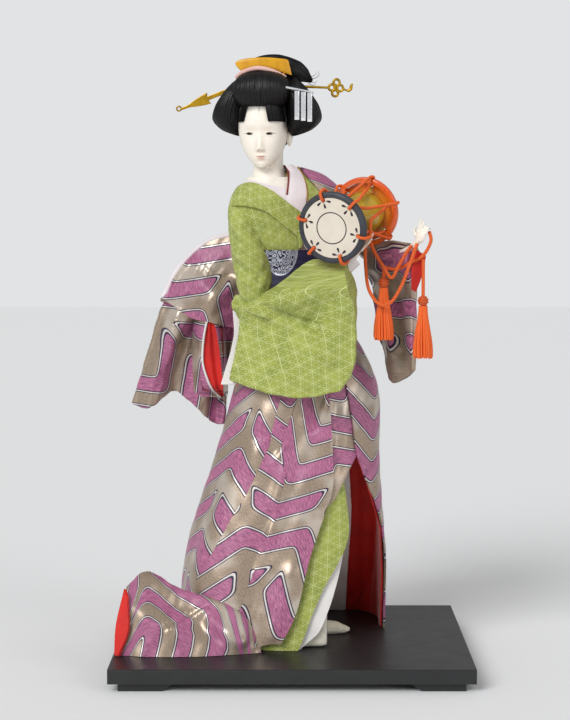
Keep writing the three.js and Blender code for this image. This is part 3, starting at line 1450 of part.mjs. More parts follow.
// One cord laced through every hole of both heads and drawn in at the waist. It comes over the rim
// and in through the hole of one head, and crosses at the waist to the other head's next hole.
const laceOver = laceRadius + 0.7;
const laceOuter = drumRadius + laceRadius + 0.5;
const laceLean = 0.8;
const laceShoulder = 1.2;
function laceTurn(degrees, place) {
  return [
    polar(laceOuter + laceLean, degrees, place(drumHeadThickness + 2)),
    polar(laceOuter, degrees, place(1.5)),
    polar(laceOuter - laceShoulder, degrees, place(-laceOver)),
    polar(drumHoleCircle, degrees, place(-laceOver)),
    polar(drumHoleCircle, degrees, place(drumHeadThickness + 1)),
    polar(laceWaist, degrees + rearTurn / 2, bodyMiddle),
  ];
}
function lacePath() {
  const points = [];
  for (let i = 0; i < laceCount; i += 1) {
    points.push(...laceTurn(holeAngle(i), (depth) => depth));
    points.push(...laceTurn(holeAngle(i) + rearTurn, (depth) => drumLength - depth));
  }
  const [start] = points;
  const last = points[points.length - 1];
  const stop = 1 - (laceRadius + clearance) / last.distanceTo(start);
  return [...points, last.clone().lerp(start, stop)];
}
const lacing = solid(tube(lacePath(), laceRadius, 5));
const rearHead = drumHead(true).transform(
  new THREE.Matrix4().makeRotationX(Math.PI).setPosition(0, 0, drumLength).elements,
);
add(drumGroup, 'drum_body', drumBody(), drumGold);
add(drumGroup, 'drum_head_front', drumHead(false), drumSkinCream);
add(drumGroup, 'drum_head_rear', rearHead, drumSkinCream);
add(drumGroup, 'drum_lacing', lacing, orangeCord);

// Hands: a palm, four fingers and a thumb on the wrist. The place function says where a point of
// the hand lies: along the fingers, across the palm, and out of its inner side.
const fingerPitch = 2.4;
const palmLength = 6.5;
const palmWidth = 4.8;
const palmHalf = 2.3;
const wristRadii = [wristRadius, 3, 2.8, 2.4];
const fingerRadii = [1.3, 1.15, 0.9];
const thumbRadii = [1.5, 1.3, 1];
const knuckle = 9;
const fingerTip = 5;
function hand(wrist, place, curls) {
  const palm = place(0, 0, 0);
  const forward = place(1, 0, 0).sub(place(-1, 0, 0)).normalize();
  const side = place(0, 1, 0).sub(palm).normalize();
  const matrix = new THREE.Matrix4().makeBasis(forward, side, forward.clone().cross(side));
  const palmShape = new THREE.SphereGeometry(1, 8, 4).scale(palmLength, palmWidth, palmHalf);
  palmShape.applyMatrix4(matrix.setPosition(palm));
  const parts = [solid(palmShape), solid(tube([...wrist, palm], wristRadii, 8))];
  curls.forEach((curl, i) => {
    const across = (i - (curls.length - 1) / 2) * fingerPitch;
    const joints = [
      place(3, across, 0),
      place(knuckle, across, curl * 1.5),
      place(knuckle + fingerTip * (1 - curl), across, curl * 5.5),
    ];
    parts.push(solid(tube(joints, fingerRadii, 5)));
  });
  const thumb = [place(-1, -4, 0), place(3, -7.5, 1.2), place(6, -7.5, 3)];
  parts.push(solid(tube(thumb, thumbRadii, 5)));
  return join(...parts);
}

// The right hand closes round the drum's lacing from below: it bears on the cone of the cords.
const graspDegrees = 66;
const graspMiddle = bodyMiddle - 3;
const laceFlare = (laceOuter + laceLean - laceWaist) / (bodyMiddle - drumHeadThickness - 2);
const graspRadius = laceWaist + laceRadius + palmHalf + 2 * clearance;
function graspPlace(alongHand, across, out) {
  const axial = graspMiddle + across;
  const radius = graspRadius + laceFlare * Math.abs(axial - bodyMiddle);
  const angle = graspDegrees - THREE.MathUtils.radToDeg(alongHand / radius);
  return polar(radius - 0.3 * out, angle, axial).applyMatrix4(drumToDoll);
}
const rightHand = hand(rightHandPoints, graspPlace, [-0.1, 0, 0, -0.1]);
const leftPalm = at(106.5, -58.5, 350);
const leftForward = at(0.28, -0.1, 0.95).normalize();
const leftSide = at(0.85, -0.45, -0.3).cross(leftForward).cross(leftForward).negate().normalize();
const leftInner = leftForward.clone().cross(leftSide);
const leftPlace = (alongHand, across, out) => leftPalm.clone().addScaledVector(leftForward, alongHand)
  .addScaledVector(leftSide, across).addScaledVector(leftInner, out);
const leftHand = hand(leftHandPoints, leftPlace, [0, 0.1, 1.15, 1.2]);

// Cords: from the drum to the left hand, and two tassels
const cordLower = [
  at(60.8, -56.2, 346.3), at(61, -64, 325), at(64, -70, 305), at(73, -75, 294), at(81, -76, 296),
  at(89, -76, 308), at(96, -75, 325), at(101, -69, 338), at(103.5, -61.6, 343.4),
];
const cordUpper = [
  at(64.8, -54, 346.8), at(69, -60, 336), at(75, -67, 326), at(82, -70, 316), at(88, -70, 326),
  at(95, -65, 337), at(98.9, -59.8, 342),
];
const cordWrist = [
  at(74, -63.6, 325), at(86, -65, 323), at(99, -65, 329), at(108, -66, 334), at(115, -62, 346),
  at(114.3, -55.8, 353.5),
];
const handCord = (points, steps) => cord(points, cordRadius, steps);

const knotHalf = 1.5;
const fringeNeck = 3.4;
function tassel(pivot, neckLength) {
  const knotMiddle = pivot.z - neckLength - tasselKnotRadius;
  const fringeTop = knotMiddle - tasselKnotRadius + 0.6;
  const fringeLow = fringeTop - tasselLength;
  const profile = [
    [0, pivot.z], [cordRadius, pivot.z], [cordRadius, knotMiddle + tasselKnotRadius - 0.3],
    [tasselKnotRadius, knotMiddle + knotHalf], [tasselKnotRadius, knotMiddle - knotHalf],
    [fringeNeck, fringeTop], [tasselWidth / 2 - 2.5, fringeTop - tasselLength * 0.4],
    [tasselWidth / 2, fringeLow], [0, fringeLow],
  ].map(([radius, z]) => new THREE.Vector2(radius, z));
  const geometry = new THREE.LatheGeometry(profile, 10).rotateX(Math.PI / 2);
  return solid(geometry.translate(pivot.x, pivot.y, 0));
}
const tasselGap = 1.1;
const tasselDrop = cordRadius + tasselGap;
const frontTasselPivot = cordWrist[3].clone().add(at(0.5, 0, -tasselDrop));
const rearTasselPivot = cordWrist[0].clone().add(at(2, -0.4, -tasselDrop));

add(doll, 'body_core', bodyCore, woodWool);
add(doll, 'under_collar', collarShape, whiteSilk);
add(doll, 'collar_piping', piping, redSilk);
add(doll, 'green_bodice', greenBodice, greenBrocade);
add(doll, 'kimono_bodice', purpleBodice, purpleBrocade);
add(doll, 'obi', obi, navyBrocade);
add(doll, 'obi_knot', obiKnot, navyBrocade);
add(doll, 'green_sleeve', greenSleeve, greenBrocade);
add(doll, 'green_sleeve_lining', whiteEdgeLining, whiteSilk);
add(doll, 'white_cuff', cuff, whiteSilk);
add(doll, 'purple_sleeve', purpleSleeve, purpleBrocade);
add(doll, 'purple_sleeve_lining', redCuff, redSilk);
add(doll, 'slipped_sleeve', slippedSleeve, purpleBrocade);
add(doll, 'slipped_sleeve_lining', slippedLining, redSilk);
add(doll, 'train', train, purpleBrocade);
add(doll, 'train_red_hem', trainHemShape, redSilk);
add(doll, 'hand_right', rightHand, shellPaste);
add(doll, 'hand_left', leftHand, shellPaste);
add(doll, 'cord_lower', handCord(cordLower, 18), orangeCord);
add(doll, 'cord_upper', handCord(cordUpper, 13), orangeCord);
add(doll, 'cord_wrist', handCord(cordWrist, 12), orangeCord);
add(doll, 'tassel_front', tassel(frontTasselPivot, 30), orangeCord);
add(doll, 'tassel_rear', tassel(rearTasselPivot, 6), orangeCord);

export default doll;
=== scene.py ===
"""Looks of a costume doll with a small hand drum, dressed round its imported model."""

import logging
import math
from dataclasses import dataclass, field
from enum import Enum
from typing import Callable, Sequence

import bmesh
import bpy
import numpy as np
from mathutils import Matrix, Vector
from mathutils.kdtree import KDTree


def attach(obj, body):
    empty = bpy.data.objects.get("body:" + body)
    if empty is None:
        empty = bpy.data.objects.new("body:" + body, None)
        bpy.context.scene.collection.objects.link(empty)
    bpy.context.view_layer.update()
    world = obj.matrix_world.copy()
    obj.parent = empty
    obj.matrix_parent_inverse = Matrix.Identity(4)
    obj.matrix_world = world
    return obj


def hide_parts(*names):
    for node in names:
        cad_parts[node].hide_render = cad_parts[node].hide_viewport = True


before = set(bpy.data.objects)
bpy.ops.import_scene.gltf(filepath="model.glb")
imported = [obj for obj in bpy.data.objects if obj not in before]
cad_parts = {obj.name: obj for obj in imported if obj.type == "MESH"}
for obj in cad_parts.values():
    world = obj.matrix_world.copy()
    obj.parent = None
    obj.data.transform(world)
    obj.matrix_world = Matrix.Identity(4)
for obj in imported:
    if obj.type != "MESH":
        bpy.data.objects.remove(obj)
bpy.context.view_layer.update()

Array = np.ndarray
Surface = Callable[[Array, Array], Array]
Object = bpy.types.Object
Mesh = bpy.types.Mesh
Socket = bpy.types.NodeSocket
Value = Socket | float | tuple | str

log = logging.getLogger("doll")

MM = 0.001
BOARD_TOP = 19.0
CLOTH_MAP = "cloth"
SHARP_EDGE = 55.0
SOFT_EDGE = 70.0
ROUND_EDGE = 80.0
GOLDEN_ANGLE = 2.39996


class Body(Enum):
    """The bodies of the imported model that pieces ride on."""

    BASE = "base"
    HEAD = "head"
    COMB = "comb"
    ARROW_PIN = "hairpin_arrow"
    KNOT_PIN = "hairpin_knot"
    STRIP_1 = "ornament_strip_1"
    STRIP_2 = "ornament_strip_2"
    STRIP_3 = "ornament_strip_3"
    FRONT_TASSEL = "tassel_front"
    REAR_TASSEL = "tassel_rear"


# Curves and surfaces, in millimetres above the board


def smooth(t: Array, low: float, high: float) -> Array:
    """A soft step from 0 at low to 1 at high."""
    share = np.clip((np.asarray(t, float) - low) / (high - low), 0, 1)
    return share * share * (3 - 2 * share)


def bell(distance: Array, width: float) -> Array:
    """A soft bump: 1 at distance 0, falling away over a width."""
    return np.exp(-((distance / width) ** 2))


def catmull(points: Sequence, t: Array) -> Array:
    """Places on a smooth curve.

    Args:
        points: The points that the curve goes through.
        t: Shares of the way along it, from 0 to 1.

    Returns:
        One place for each share.
    """
    p = np.asarray(points, float)
    wide = np.vstack([2 * p[0] - p[1], p, 2 * p[-1] - p[-2]])
    place = np.clip(np.asarray(t, float), 0, 1) * (len(p) - 1)
    i = np.minimum(place.astype(int), len(p) - 2)
    w = (place - i)[..., None]
    p0, p1, p2, p3 = (wide[i + k] for k in range(4))

    def gap(a: Array, b: Array) -> Array:
        """The step of the curve's own measure between two points."""
        return np.maximum(np.sqrt(np.linalg.norm(b - a, axis=-1, keepdims=True)), 1e-3)

    d0, d1, d2 = gap(p0, p1), gap(p1, p2), gap(p2, p3)
    s1 = ((p1 - p0) / d0 - (p2 - p0) / (d0 + d1) + (p2 - p1) / d1) * d1
    s2 = ((p2 - p1) / d1 - (p3 - p1) / (d1 + d2) + (p3 - p2) / d2) * d1
    c2 = -3 * p1 + 3 * p2 - 2 * s1 - s2
    c3 = 2 * p1 - 2 * p2 + s1 + s2
    return ((c3 * w + c2) * w + s1) * w + p1


def spaced(points: Sequence, count: int) -> Array:
    """Points at even steps along a smooth curve.

    Args:
        points: The points that the curve goes through.
        count: How many points to give.

    Returns:
        The points, as an array of rows.
    """
    fine = catmull(points, np.linspace(0, 1, 40 * len(points)))
    run = np.concatenate([[0], np.cumsum(np.linalg.norm(np.diff(fine, axis=0), axis=1))])
    even = np.linspace(0, run[-1], count)
    return np.stack([np.interp(even, run, fine[:, k]) for k in range(3)], axis=1)


def grid(steps_u: int, steps_v: int) -> tuple[Array, Array]:
    """Shares u and v over a grid of steps."""
    return np.meshgrid(np.linspace(0, 1, steps_u + 1), np.linspace(0, 1, steps_v + 1), indexing="ij")


def ring_grid(around: int, low: float, high: float, levels: int) -> tuple[Array, Array]:
    """Headings once round and heights from low to high, over a grid.

    Args:
        around: How many headings there are.
        low: The lowest height.
        high: The highest height.
        levels: How many heights there are.

    Returns:
        The headings, in degrees, and the heights.
    """
    degrees = np.linspace(0, 360, around, endpoint=False)[:, None] + np.zeros((1, levels))
    return degrees, np.broadcast_to(np.linspace(low, high, levels), degrees.shape)


def ruled(first: Sequence, last: Sequence, u: Array, v: Array) -> Array:
    """An upright grid between two lines seen from the front.

    Args:
        first: The first line, as place and height pairs.
        last: The last line, likewise.
        u: Shares of the way along the lines.
        v: Shares of the way from the first to the last.

    Returns:
        The points, all at depth 0.
    """
    start, end = (catmull([(x, 0, z) for x, z in line], u) for line in (first, last))
    return start + (end - start) * v[..., None]


def search_tree(points: Sequence) -> KDTree:
    """A tree that finds the nearest of some points.

    Args:
        points: The points.

    Returns:
        The tree, ready for use.
    """
    tree = KDTree(len(points))
    for k, point in enumerate(points):
        tree.insert(point, k)
    tree.balance()
    return tree


def normals(points: Array) -> Array:
    """Unit normals of a grid of points.

    Args:
        points: The grid.

    Returns:
        One normal for each point.
    """
    along_u, along_v = np.gradient(points, axis=0), np.gradient(points, axis=1)
    normal = np.cross(along_u, along_v)
    return normal / np.maximum(np.linalg.norm(normal, axis=-1, keepdims=True), 1e-9)


def lengths(points: Array) -> Array:
    """The cloth map of a grid: how far each point is along its row and its column, in millimetres.

    Args:
        points: The grid.

    Returns:
        A pair of lengths for each point.
    """
    def run(axis: int) -> Array:
        """The distance run along one axis, averaged so that threads stay straight.

        Args:
            axis: The axis, 0 or 1.

        Returns:
            The distances.
        """
        steps = np.linalg.norm(np.diff(points, axis=axis), axis=-1)
        pad = [(0, 0), (0, 0)]
        pad[axis] = (1, 0)
        return np.cumsum(np.pad(steps, pad), axis=axis)

    along_u, along_v = run(0), run(1)
    return np.stack([along_u, along_v], axis=-1)


def turned(uv: Array, degrees: float, shift: tuple[float, float] = (0, 0)) -> Array:
    """A cloth map turned and shifted.

    Args:
        uv: The cloth map.
        degrees: The turn.
        shift: The shift, in millimetres.

    Returns:
        The new map.
    """
    a = math.radians(degrees)
    u, v = uv[..., 0], uv[..., 1]
    return np.stack(
        [u * math.cos(a) - v * math.sin(a) + shift[0], u * math.sin(a) + v * math.cos(a) + shift[1]], axis=-1
    )


class Levels:
    """A tall body given by rounded oval outlines at a few heights."""

    FIELDS = ("z", "x", "y", "left", "right", "front", "back", "square", "fold", "twist")

    def __init__(self, rows: Sequence[Sequence[float]]) -> None:
        """Keeps rows of z, x, y, left, right, front, back, and then square, fold and twist where given."""
        plain = (0, 0, 0, 0, 0, 0, 0, 2.3, 0, 0)
        self.rows = np.array([tuple(r) + plain[len(r):] for r in rows], float)

    def at(self, z: Array) -> dict[str, Array]:
        """The outline's values at heights z.

        Args:
            z: Heights.

        Returns:
            Each value by its name.
        """
        rows = self.rows
        keys = rows[:, 0]
        last = len(rows) - 1
        i = np.clip(np.searchsorted(keys, z, side="right") - 1, 0, last - 1)
        a, b = rows[i], rows[i + 1]
        before, after = rows[np.maximum(i - 1, 0)], rows[np.minimum(i + 2, last)]
        span = (b[..., 0] - a[..., 0])[..., None]
        t = np.clip((z - a[..., 0]) / span[..., 0], 0, 1)[..., None]
        slope_a = (b - before) / (b[..., 0] - before[..., 0])[..., None] * span
        slope_b = (after - a) / (after[..., 0] - a[..., 0])[..., None] * span
        t2, t3 = t * t, t * t * t
        values = (2 * t3 - 3 * t2 + 1) * a + (t3 - 2 * t2 + t) * slope_a
        values = values + (3 * t2 - 2 * t3) * b + (t3 - t2) * slope_b
        found = {name: values[..., k] for k, name in enumerate(self.FIELDS)}
        found["z"] = np.asarray(z, float)
        return found

    def outline(self, degrees: Array, z: Array, grow: Array | float = 0.0) -> Array:
        """Points on the body.

        Args:
            degrees: Headings round the body, 0 to the right and 270 to the front.
            z: Heights.
            grow: How far outside the body the points lie.

        Returns:
            The points.
        """
        level = self.at(np.broadcast_to(z, np.shape(degrees)).astype(float))
        angle = np.radians(degrees)
        c, s = np.cos(angle), np.sin(angle)
        reach_x = np.where(c > 0, level["right"], level["left"]) + grow
        reach_y = np.where(s > 0, level["back"], level["front"]) + grow
        n = level["square"]
        radius = (np.abs(c / reach_x) ** n + np.abs(s / reach_y) ** n) ** (-1 / n)
        turn = np.radians(level["twist"])
        x, y = radius * c, radius * s
        return np.stack(
            [
                level["x"] + x * np.cos(turn) - y * np.sin(turn),
                level["y"] + x * np.sin(turn) + y * np.cos(turn),
                level["z"],
            ],
            axis=-1,
        )

    def facing(self, x: Array, z: Array, grow: float = 0.0) -> Array:
        """The headings at which the front of the body lies at places x and heights z.

        Args:
            x: Places from left to right.
            z: Heights.
            grow: How far outside the body the points lie.

        Returns:
            The headings, in degrees.
        """
        low, high = np.full(np.shape(x), 185.0), np.full(np.shape(x), 355.0)
        for _ in range(24):
            middle = (low + high) / 2
            short = self.outline(middle, z, grow)[..., 0] < x
            low, high = np.where(short, middle, low), np.where(short, high, middle)
        return (low + high) / 2

    def front(self, x: Array, z: Array, grow: float = 0.0) -> Array:
        """Points on the front of the body at places x and heights z."""
        return self.outline(self.facing(x, z, grow), z, grow)


# Meshes


class Sewing:
    """Collects walls of points, in millimetres, into one mesh with a cloth map."""

    def __init__(self) -> None:
        """Starts with nothing."""
        self.points: list[Array] = []
        self.maps: list[Array] = []
        self.faces: list[tuple[int, ...]] = []
        self.count = 0

    def wall(self, points: Array, uv: Array | None = None, close_u: bool = False,
             close_v: bool = False) -> Array:
        """Adds one wall.

        Args:
            points: A grid of points.
            uv: The cloth map, or the lengths along the wall.
            close_u: Whether the last row joins the first.
            close_v: Whether the last column joins the first.

        Returns:
            The number of each point in the mesh.
        """
        n, m = points.shape[:2]
        uv = lengths(points) if uv is None else uv
        index = self.count + np.arange(n * m).reshape(n, m)
        self.points.append(points.reshape(-1, 3))
        self.maps.append(uv.reshape(-1, 2))
        self.count += n * m
        rows = list(range(n - 1)) + ([n - 1] if close_u else [])
        columns = list(range(m - 1)) + ([m - 1] if close_v else [])
        for i in rows:
            for j in columns:
                k, l = (i + 1) % n, (j + 1) % m
                self.faces.append((index[i, j], index[k, j], index[k, l], index[i, l]))
        return index

    def slab(self, outer: Array, inner: Array, uv: Array | None = None, close_u: bool = False) -> None:
        """Adds two walls and the rim between them; close_u for a ring round the body.

        Args:
            outer: The outer wall's grid of points.
            inner: The inner wall's grid.
            uv: The cloth map of both.
            close_u: Whether the last row joins the first.
        """
        uv = lengths(outer) if uv is None else uv
        a = self.wall(outer, uv, close_u)
        b = self.wall(inner, uv, close_u)
        n, m = a.shape
        for i in range(n if close_u else n - 1):
            k = (i + 1) % n
            self.faces.append((a[i, 0], b[i, 0], b[k, 0], a[k, 0]))
            self.faces.append((a[k, m - 1], b[k, m - 1], b[i, m - 1], a[i, m - 1]))
        if not close_u:
            for j in range(m - 1):
                self.faces.append((a[0, j + 1], b[0, j + 1], b[0, j], a[0, j]))
                self.faces.append((a[n - 1, j], b[n - 1, j], b[n - 1, j + 1], a[n - 1, j + 1]))

    def cloth(self, middle: Array, half: Array | float, uv: Array | None = None,
              close_u: bool = False) -> None:
        """Adds a cloth of a half thickness on both sides of a middle surface."""
        offset = normals(middle) * (half[..., None] if isinstance(half, np.ndarray) else half)
        self.slab(middle + offset, middle - offset, uv, close_u)

    def tube(self, path: Array, radii: Array | float, sides: int = 12, flat: float = 1.0) -> None:
        """Adds a round bar along a path, closed at both ends.

        Args:
            path: Points along its middle.
            radii: Its radius, or one for each point.
            sides: How many sides it has.
            flat: Its depth as a share of its width.
        """
        radii = np.broadcast_to(np.asarray(radii, float), (len(path),))
        tangent = np.gradient(path, axis=0)
        tangent /= np.linalg.norm(tangent, axis=1, keepdims=True)
        across = np.zeros(3)
        across[int(np.argmin(np.abs(tangent[0])))] = 1
        rings = []
        angle = np.linspace(0, 2 * np.pi, sides, endpoint=False)
        for point, direction, radius in zip(path, tangent, radii):
            across = across - direction * (across @ direction)
            across = across / np.linalg.norm(across)
            upward = np.cross(direction, across)
            ring = np.outer(np.cos(angle), across) + flat * np.outer(np.sin(angle), upward)
            rings.append(point + radius * ring)
        ends = [np.repeat(path[k][None], sides, 0) for k in (0, -1)]
        self.wall(np.array([ends[0], *rings, ends[1]]), close_v=True)

    def lathe(self, profile: Sequence, around: int = 64, centre: Sequence[float] = (0, 0, 0)) -> None:
        """Adds a turned shape about an upright axis from radius and height pairs.

        Args:
            profile: Pairs of radius and height.
            around: How many steps there are round it.
            centre: Its foot.
        """
        r, z = np.array(profile, float).T
        angle = np.linspace(0, 2 * np.pi, around, endpoint=False)[:, None]
        points = np.stack([r * np.cos(angle), r * np.sin(angle), np.broadcast_to(z, (around, len(z)))],
                          axis=-1)
        self.wall(points + np.asarray(centre, float), close_u=True)

    def made(self, name: str, finish: "Finish", place: Array | None = None,
             sharp: float = SHARP_EDGE) -> Object:
        """Makes the object.

        Args:
            name: The piece's name.
            finish: Its finish.
            place: A 4 by 4 matrix in millimetres from the piece's own frame to the board's.
            sharp: The angle in degrees from which an edge stays sharp.

        Returns:
            The object, at the origin.
        """
        points = np.concatenate(self.points)
        if place is not None:
            points = points @ place[:3, :3].T + place[:3, 3]
        points = (points + (0, 0, BOARD_TOP)) * MM
        mesh = bpy.data.meshes.new(name)
        mesh.from_pydata(points.tolist(), [], [tuple(int(k) for k in f) for f in self.faces])
        write_map(mesh, np.concatenate(self.maps))
        tidy_mesh(mesh)
        return shown(name, mesh, finish, sharp)


def write_map(mesh: Mesh, uv_mm: Array) -> None:
    """Gives a mesh its cloth map, one pair of millimetres for each vertex.

    Args:
        mesh: The mesh.
        uv_mm: A pair of lengths for each vertex, in millimetres.
    """
    layer = mesh.uv_layers.new(name=CLOTH_MAP)
    index = np.zeros(len(mesh.loops), np.int32)
    mesh.loops.foreach_get("vertex_index", index)
    layer.data.foreach_set("uv", (uv_mm[index] * MM).astype(np.float32).ravel())


def tidy_mesh(mesh: Mesh) -> None:
    """Welds a mesh, drops faces without area and turns the rest outwards.

    Args:
        mesh: The mesh.
    """
    work = bmesh.new()
    work.from_mesh(mesh)
    bmesh.ops.remove_doubles(work, verts=work.verts, dist=2e-6)
    bmesh.ops.dissolve_degenerate(work, edges=work.edges, dist=1e-7)
    bmesh.ops.recalc_face_normals(work, faces=work.faces)
    work.to_mesh(mesh)
    work.free()


def shown(name: str, mesh: Mesh, finish: "Finish", sharp: float = SHARP_EDGE) -> Object:
    """Puts a mesh in the scene with its finish, smooth but for its sharp edges.

    Args:
        name: The object's name.
        mesh: The mesh.
        finish: Its finish.
        sharp: The angle in degrees from which an edge stays sharp.

    Returns:
        The object.
    """
    mesh.materials.clear()
    mesh.materials.append(finish.made())
    mesh.shade_smooth()
    mesh.set_sharp_from_angle(angle=math.radians(sharp))
    found = bpy.data.objects.new(name, mesh)
    bpy.context.scene.collection.objects.link(found)
    return found


def evaluated(source: Object, name: str) -> Mesh:
    """The mesh of an object with its modifiers applied; the object itself is removed.

    Args:
        source: The object.
        name: The new mesh's name.

    Returns:
        The new mesh.
    """
    graph = bpy.context.evaluated_depsgraph_get()
    mesh = bpy.data.meshes.new_from_object(source.evaluated_get(graph))
    mesh.name = name
    bpy.data.objects.remove(source)
    return mesh


def positions(mesh: Mesh) -> Array:
    """A mesh's vertices, in millimetres above the board.

    Args:
        mesh: The mesh.

    Returns:
        One point for each vertex.
    """
    flat = np.zeros(len(mesh.vertices) * 3, np.float32)
    mesh.vertices.foreach_get("co", flat)
    return flat.reshape(-1, 3).astype(float) / MM - (0, 0, BOARD_TOP)


def node_box(node: str) -> tuple[Array, Array]:
    """A node's low and high corner, in millimetres above the board."""
    points = positions(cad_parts[node].data)
    return points.min(0), points.max(0)


def paint_on(mesh: Mesh, name: str, values: Array) -> None:
    """Writes a named number on each vertex of a mesh."""
    layer = mesh.attributes.new(name, "FLOAT", "POINT")
    layer.data.foreach_set("value", values.astype(np.float32))


def move_to(mesh: Mesh, points: Array) -> None:
    """Sets a mesh's vertices from millimetres above the board."""
    mesh.vertices.foreach_set("co", ((points + (0, 0, BOARD_TOP)) * MM).astype(np.float32).ravel())
    mesh.update()


def remade(
    node: str, name: str, finish: "Finish", voxel: float, rounds: int,
    relief: Callable[[Array, Array], Array] | None = None, mapping: Callable[[Array], Array] | None = None,
    body: Body = Body.BASE,
) -> Object:
    """Remakes a node's shape as one smooth closed form, and puts it in the node's place.

    Args:
        node: The node.
        name: The new piece's name.
        finish: Its finish.
        voxel: The size of its facets, in millimetres.
        rounds: How often it is smoothed.
        relief: Gives each point's move from the points and their normals.
        mapping: Gives the cloth map from the points.
        body: The body that it rides on.

    Returns:
        The piece.
    """
    work = bmesh.new()
    work.from_mesh(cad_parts[node].data)
    bmesh.ops.remove_doubles(work, verts=work.verts, dist=1e-6)
    mesh = bpy.data.meshes.new(name)
    work.to_mesh(mesh)
    work.free()
    rough = bpy.data.objects.new(name, mesh)
    bpy.context.scene.collection.objects.link(rough)
    remesh = rough.modifiers.new("remesh", "REMESH")
    remesh.mode = "VOXEL"
    remesh.voxel_size = voxel * MM
    soften = rough.modifiers.new("soften", "SMOOTH")
    soften.factor = 0.5
    soften.iterations = rounds
    mesh = evaluated(rough, name)
    if relief is not None:
        points = positions(mesh)
        normal = np.zeros(len(mesh.vertices) * 3, np.float32)
        mesh.vertices.foreach_get("normal", normal)
        move_to(mesh, points + relief(points, normal.reshape(-1, 3).astype(float)))
    points = positions(mesh)
    write_map(mesh, points[:, [0, 2]] if mapping is None else mapping(points))
    return place_piece(shown(name, mesh, finish, SOFT_EDGE), body, [node])


@dataclass(frozen=True)
class Fold:
    """A fold along a line seen from the front: a valley, a ridge or the step of an overlap."""

    start: tuple[float, float]
    end: tuple[float, float]
    width: float
    depth: float
    step: bool = False

    def rise(self, x: Array, z: Array) -> Array:
        """How far the cloth rises at places x and heights z; a step rises on the line's left.

        Args:
            x: Places from left to right.
            z: Heights.

        Returns:
            The rise at each place, in millimetres.
        """
        ax, az = self.start
        dx, dz = self.end[0] - ax, self.end[1] - az
        size = math.hypot(dx, dz)
        share = np.clip(((x - ax) * dx + (z - az) * dz) / size**2, -0.15, 1.15)
        beyond = np.maximum(np.maximum(-share, share - 1), 0) * size
        side = ((x - ax) * dz - (z - az) * dx) / size
        near = np.hypot(x - ax - np.clip(share, 0, 1) * dx, z - az - np.clip(share, 0, 1) * dz)
        ends = smooth(share, -0.14, 0.12) * (1 - smooth(share, 0.88, 1.14))
        if self.step:
            return self.depth * ends * bell(near, self.width) * np.tanh(-side / 0.7) * bell(beyond, 6)
        return self.depth * ends * bell(near, self.width)


def folded(folds: Sequence[Fold], x: Array, z: Array) -> Array:
    """The sum of several folds at places x and heights z.

    Args:
        folds: The folds.
        x: Places from left to right.
        z: Heights.

    Returns:
        The rise at each place, in millimetres.
    """
    total = np.zeros(np.shape(x))
    for one in folds:
        total = total + one.rise(x, z)
    return total


def ripple(points: Array, size: float, height: float) -> Array:
    """A faint unevenness of hand-pressed cloth over points, in millimetres.

    Args:
        points: The points.
        size: The length of its waves, in millimetres.
        height: Their height, in millimetres.

    Returns:
        The rise at each point.
    """
    x, y, z = (points[..., k] / size for k in range(3))
    wave = np.sin(1.7 * x + 0.9 * z) * np.sin(1.3 * z - 1.1 * y + 0.7)
    return height * (wave + 0.6 * np.sin(3.1 * x - 2.3 * z + 1.9 * y))


# Finishes


def linear(hex_colour: str) -> tuple[float, float, float]:
    """A colour written as #RRGGBB, as the shader's own numbers.

    Args:
        hex_colour: The colour.

    Returns:
        Its red, green and blue.
    """
    parts = [int(hex_colour[k:k + 2], 16) / 255 for k in (1, 3, 5)]
    r, g, b = (p / 12.92 if p <= 0.04045 else ((p + 0.055) / 1.055) ** 2.4 for p in parts)
    return r, g, b


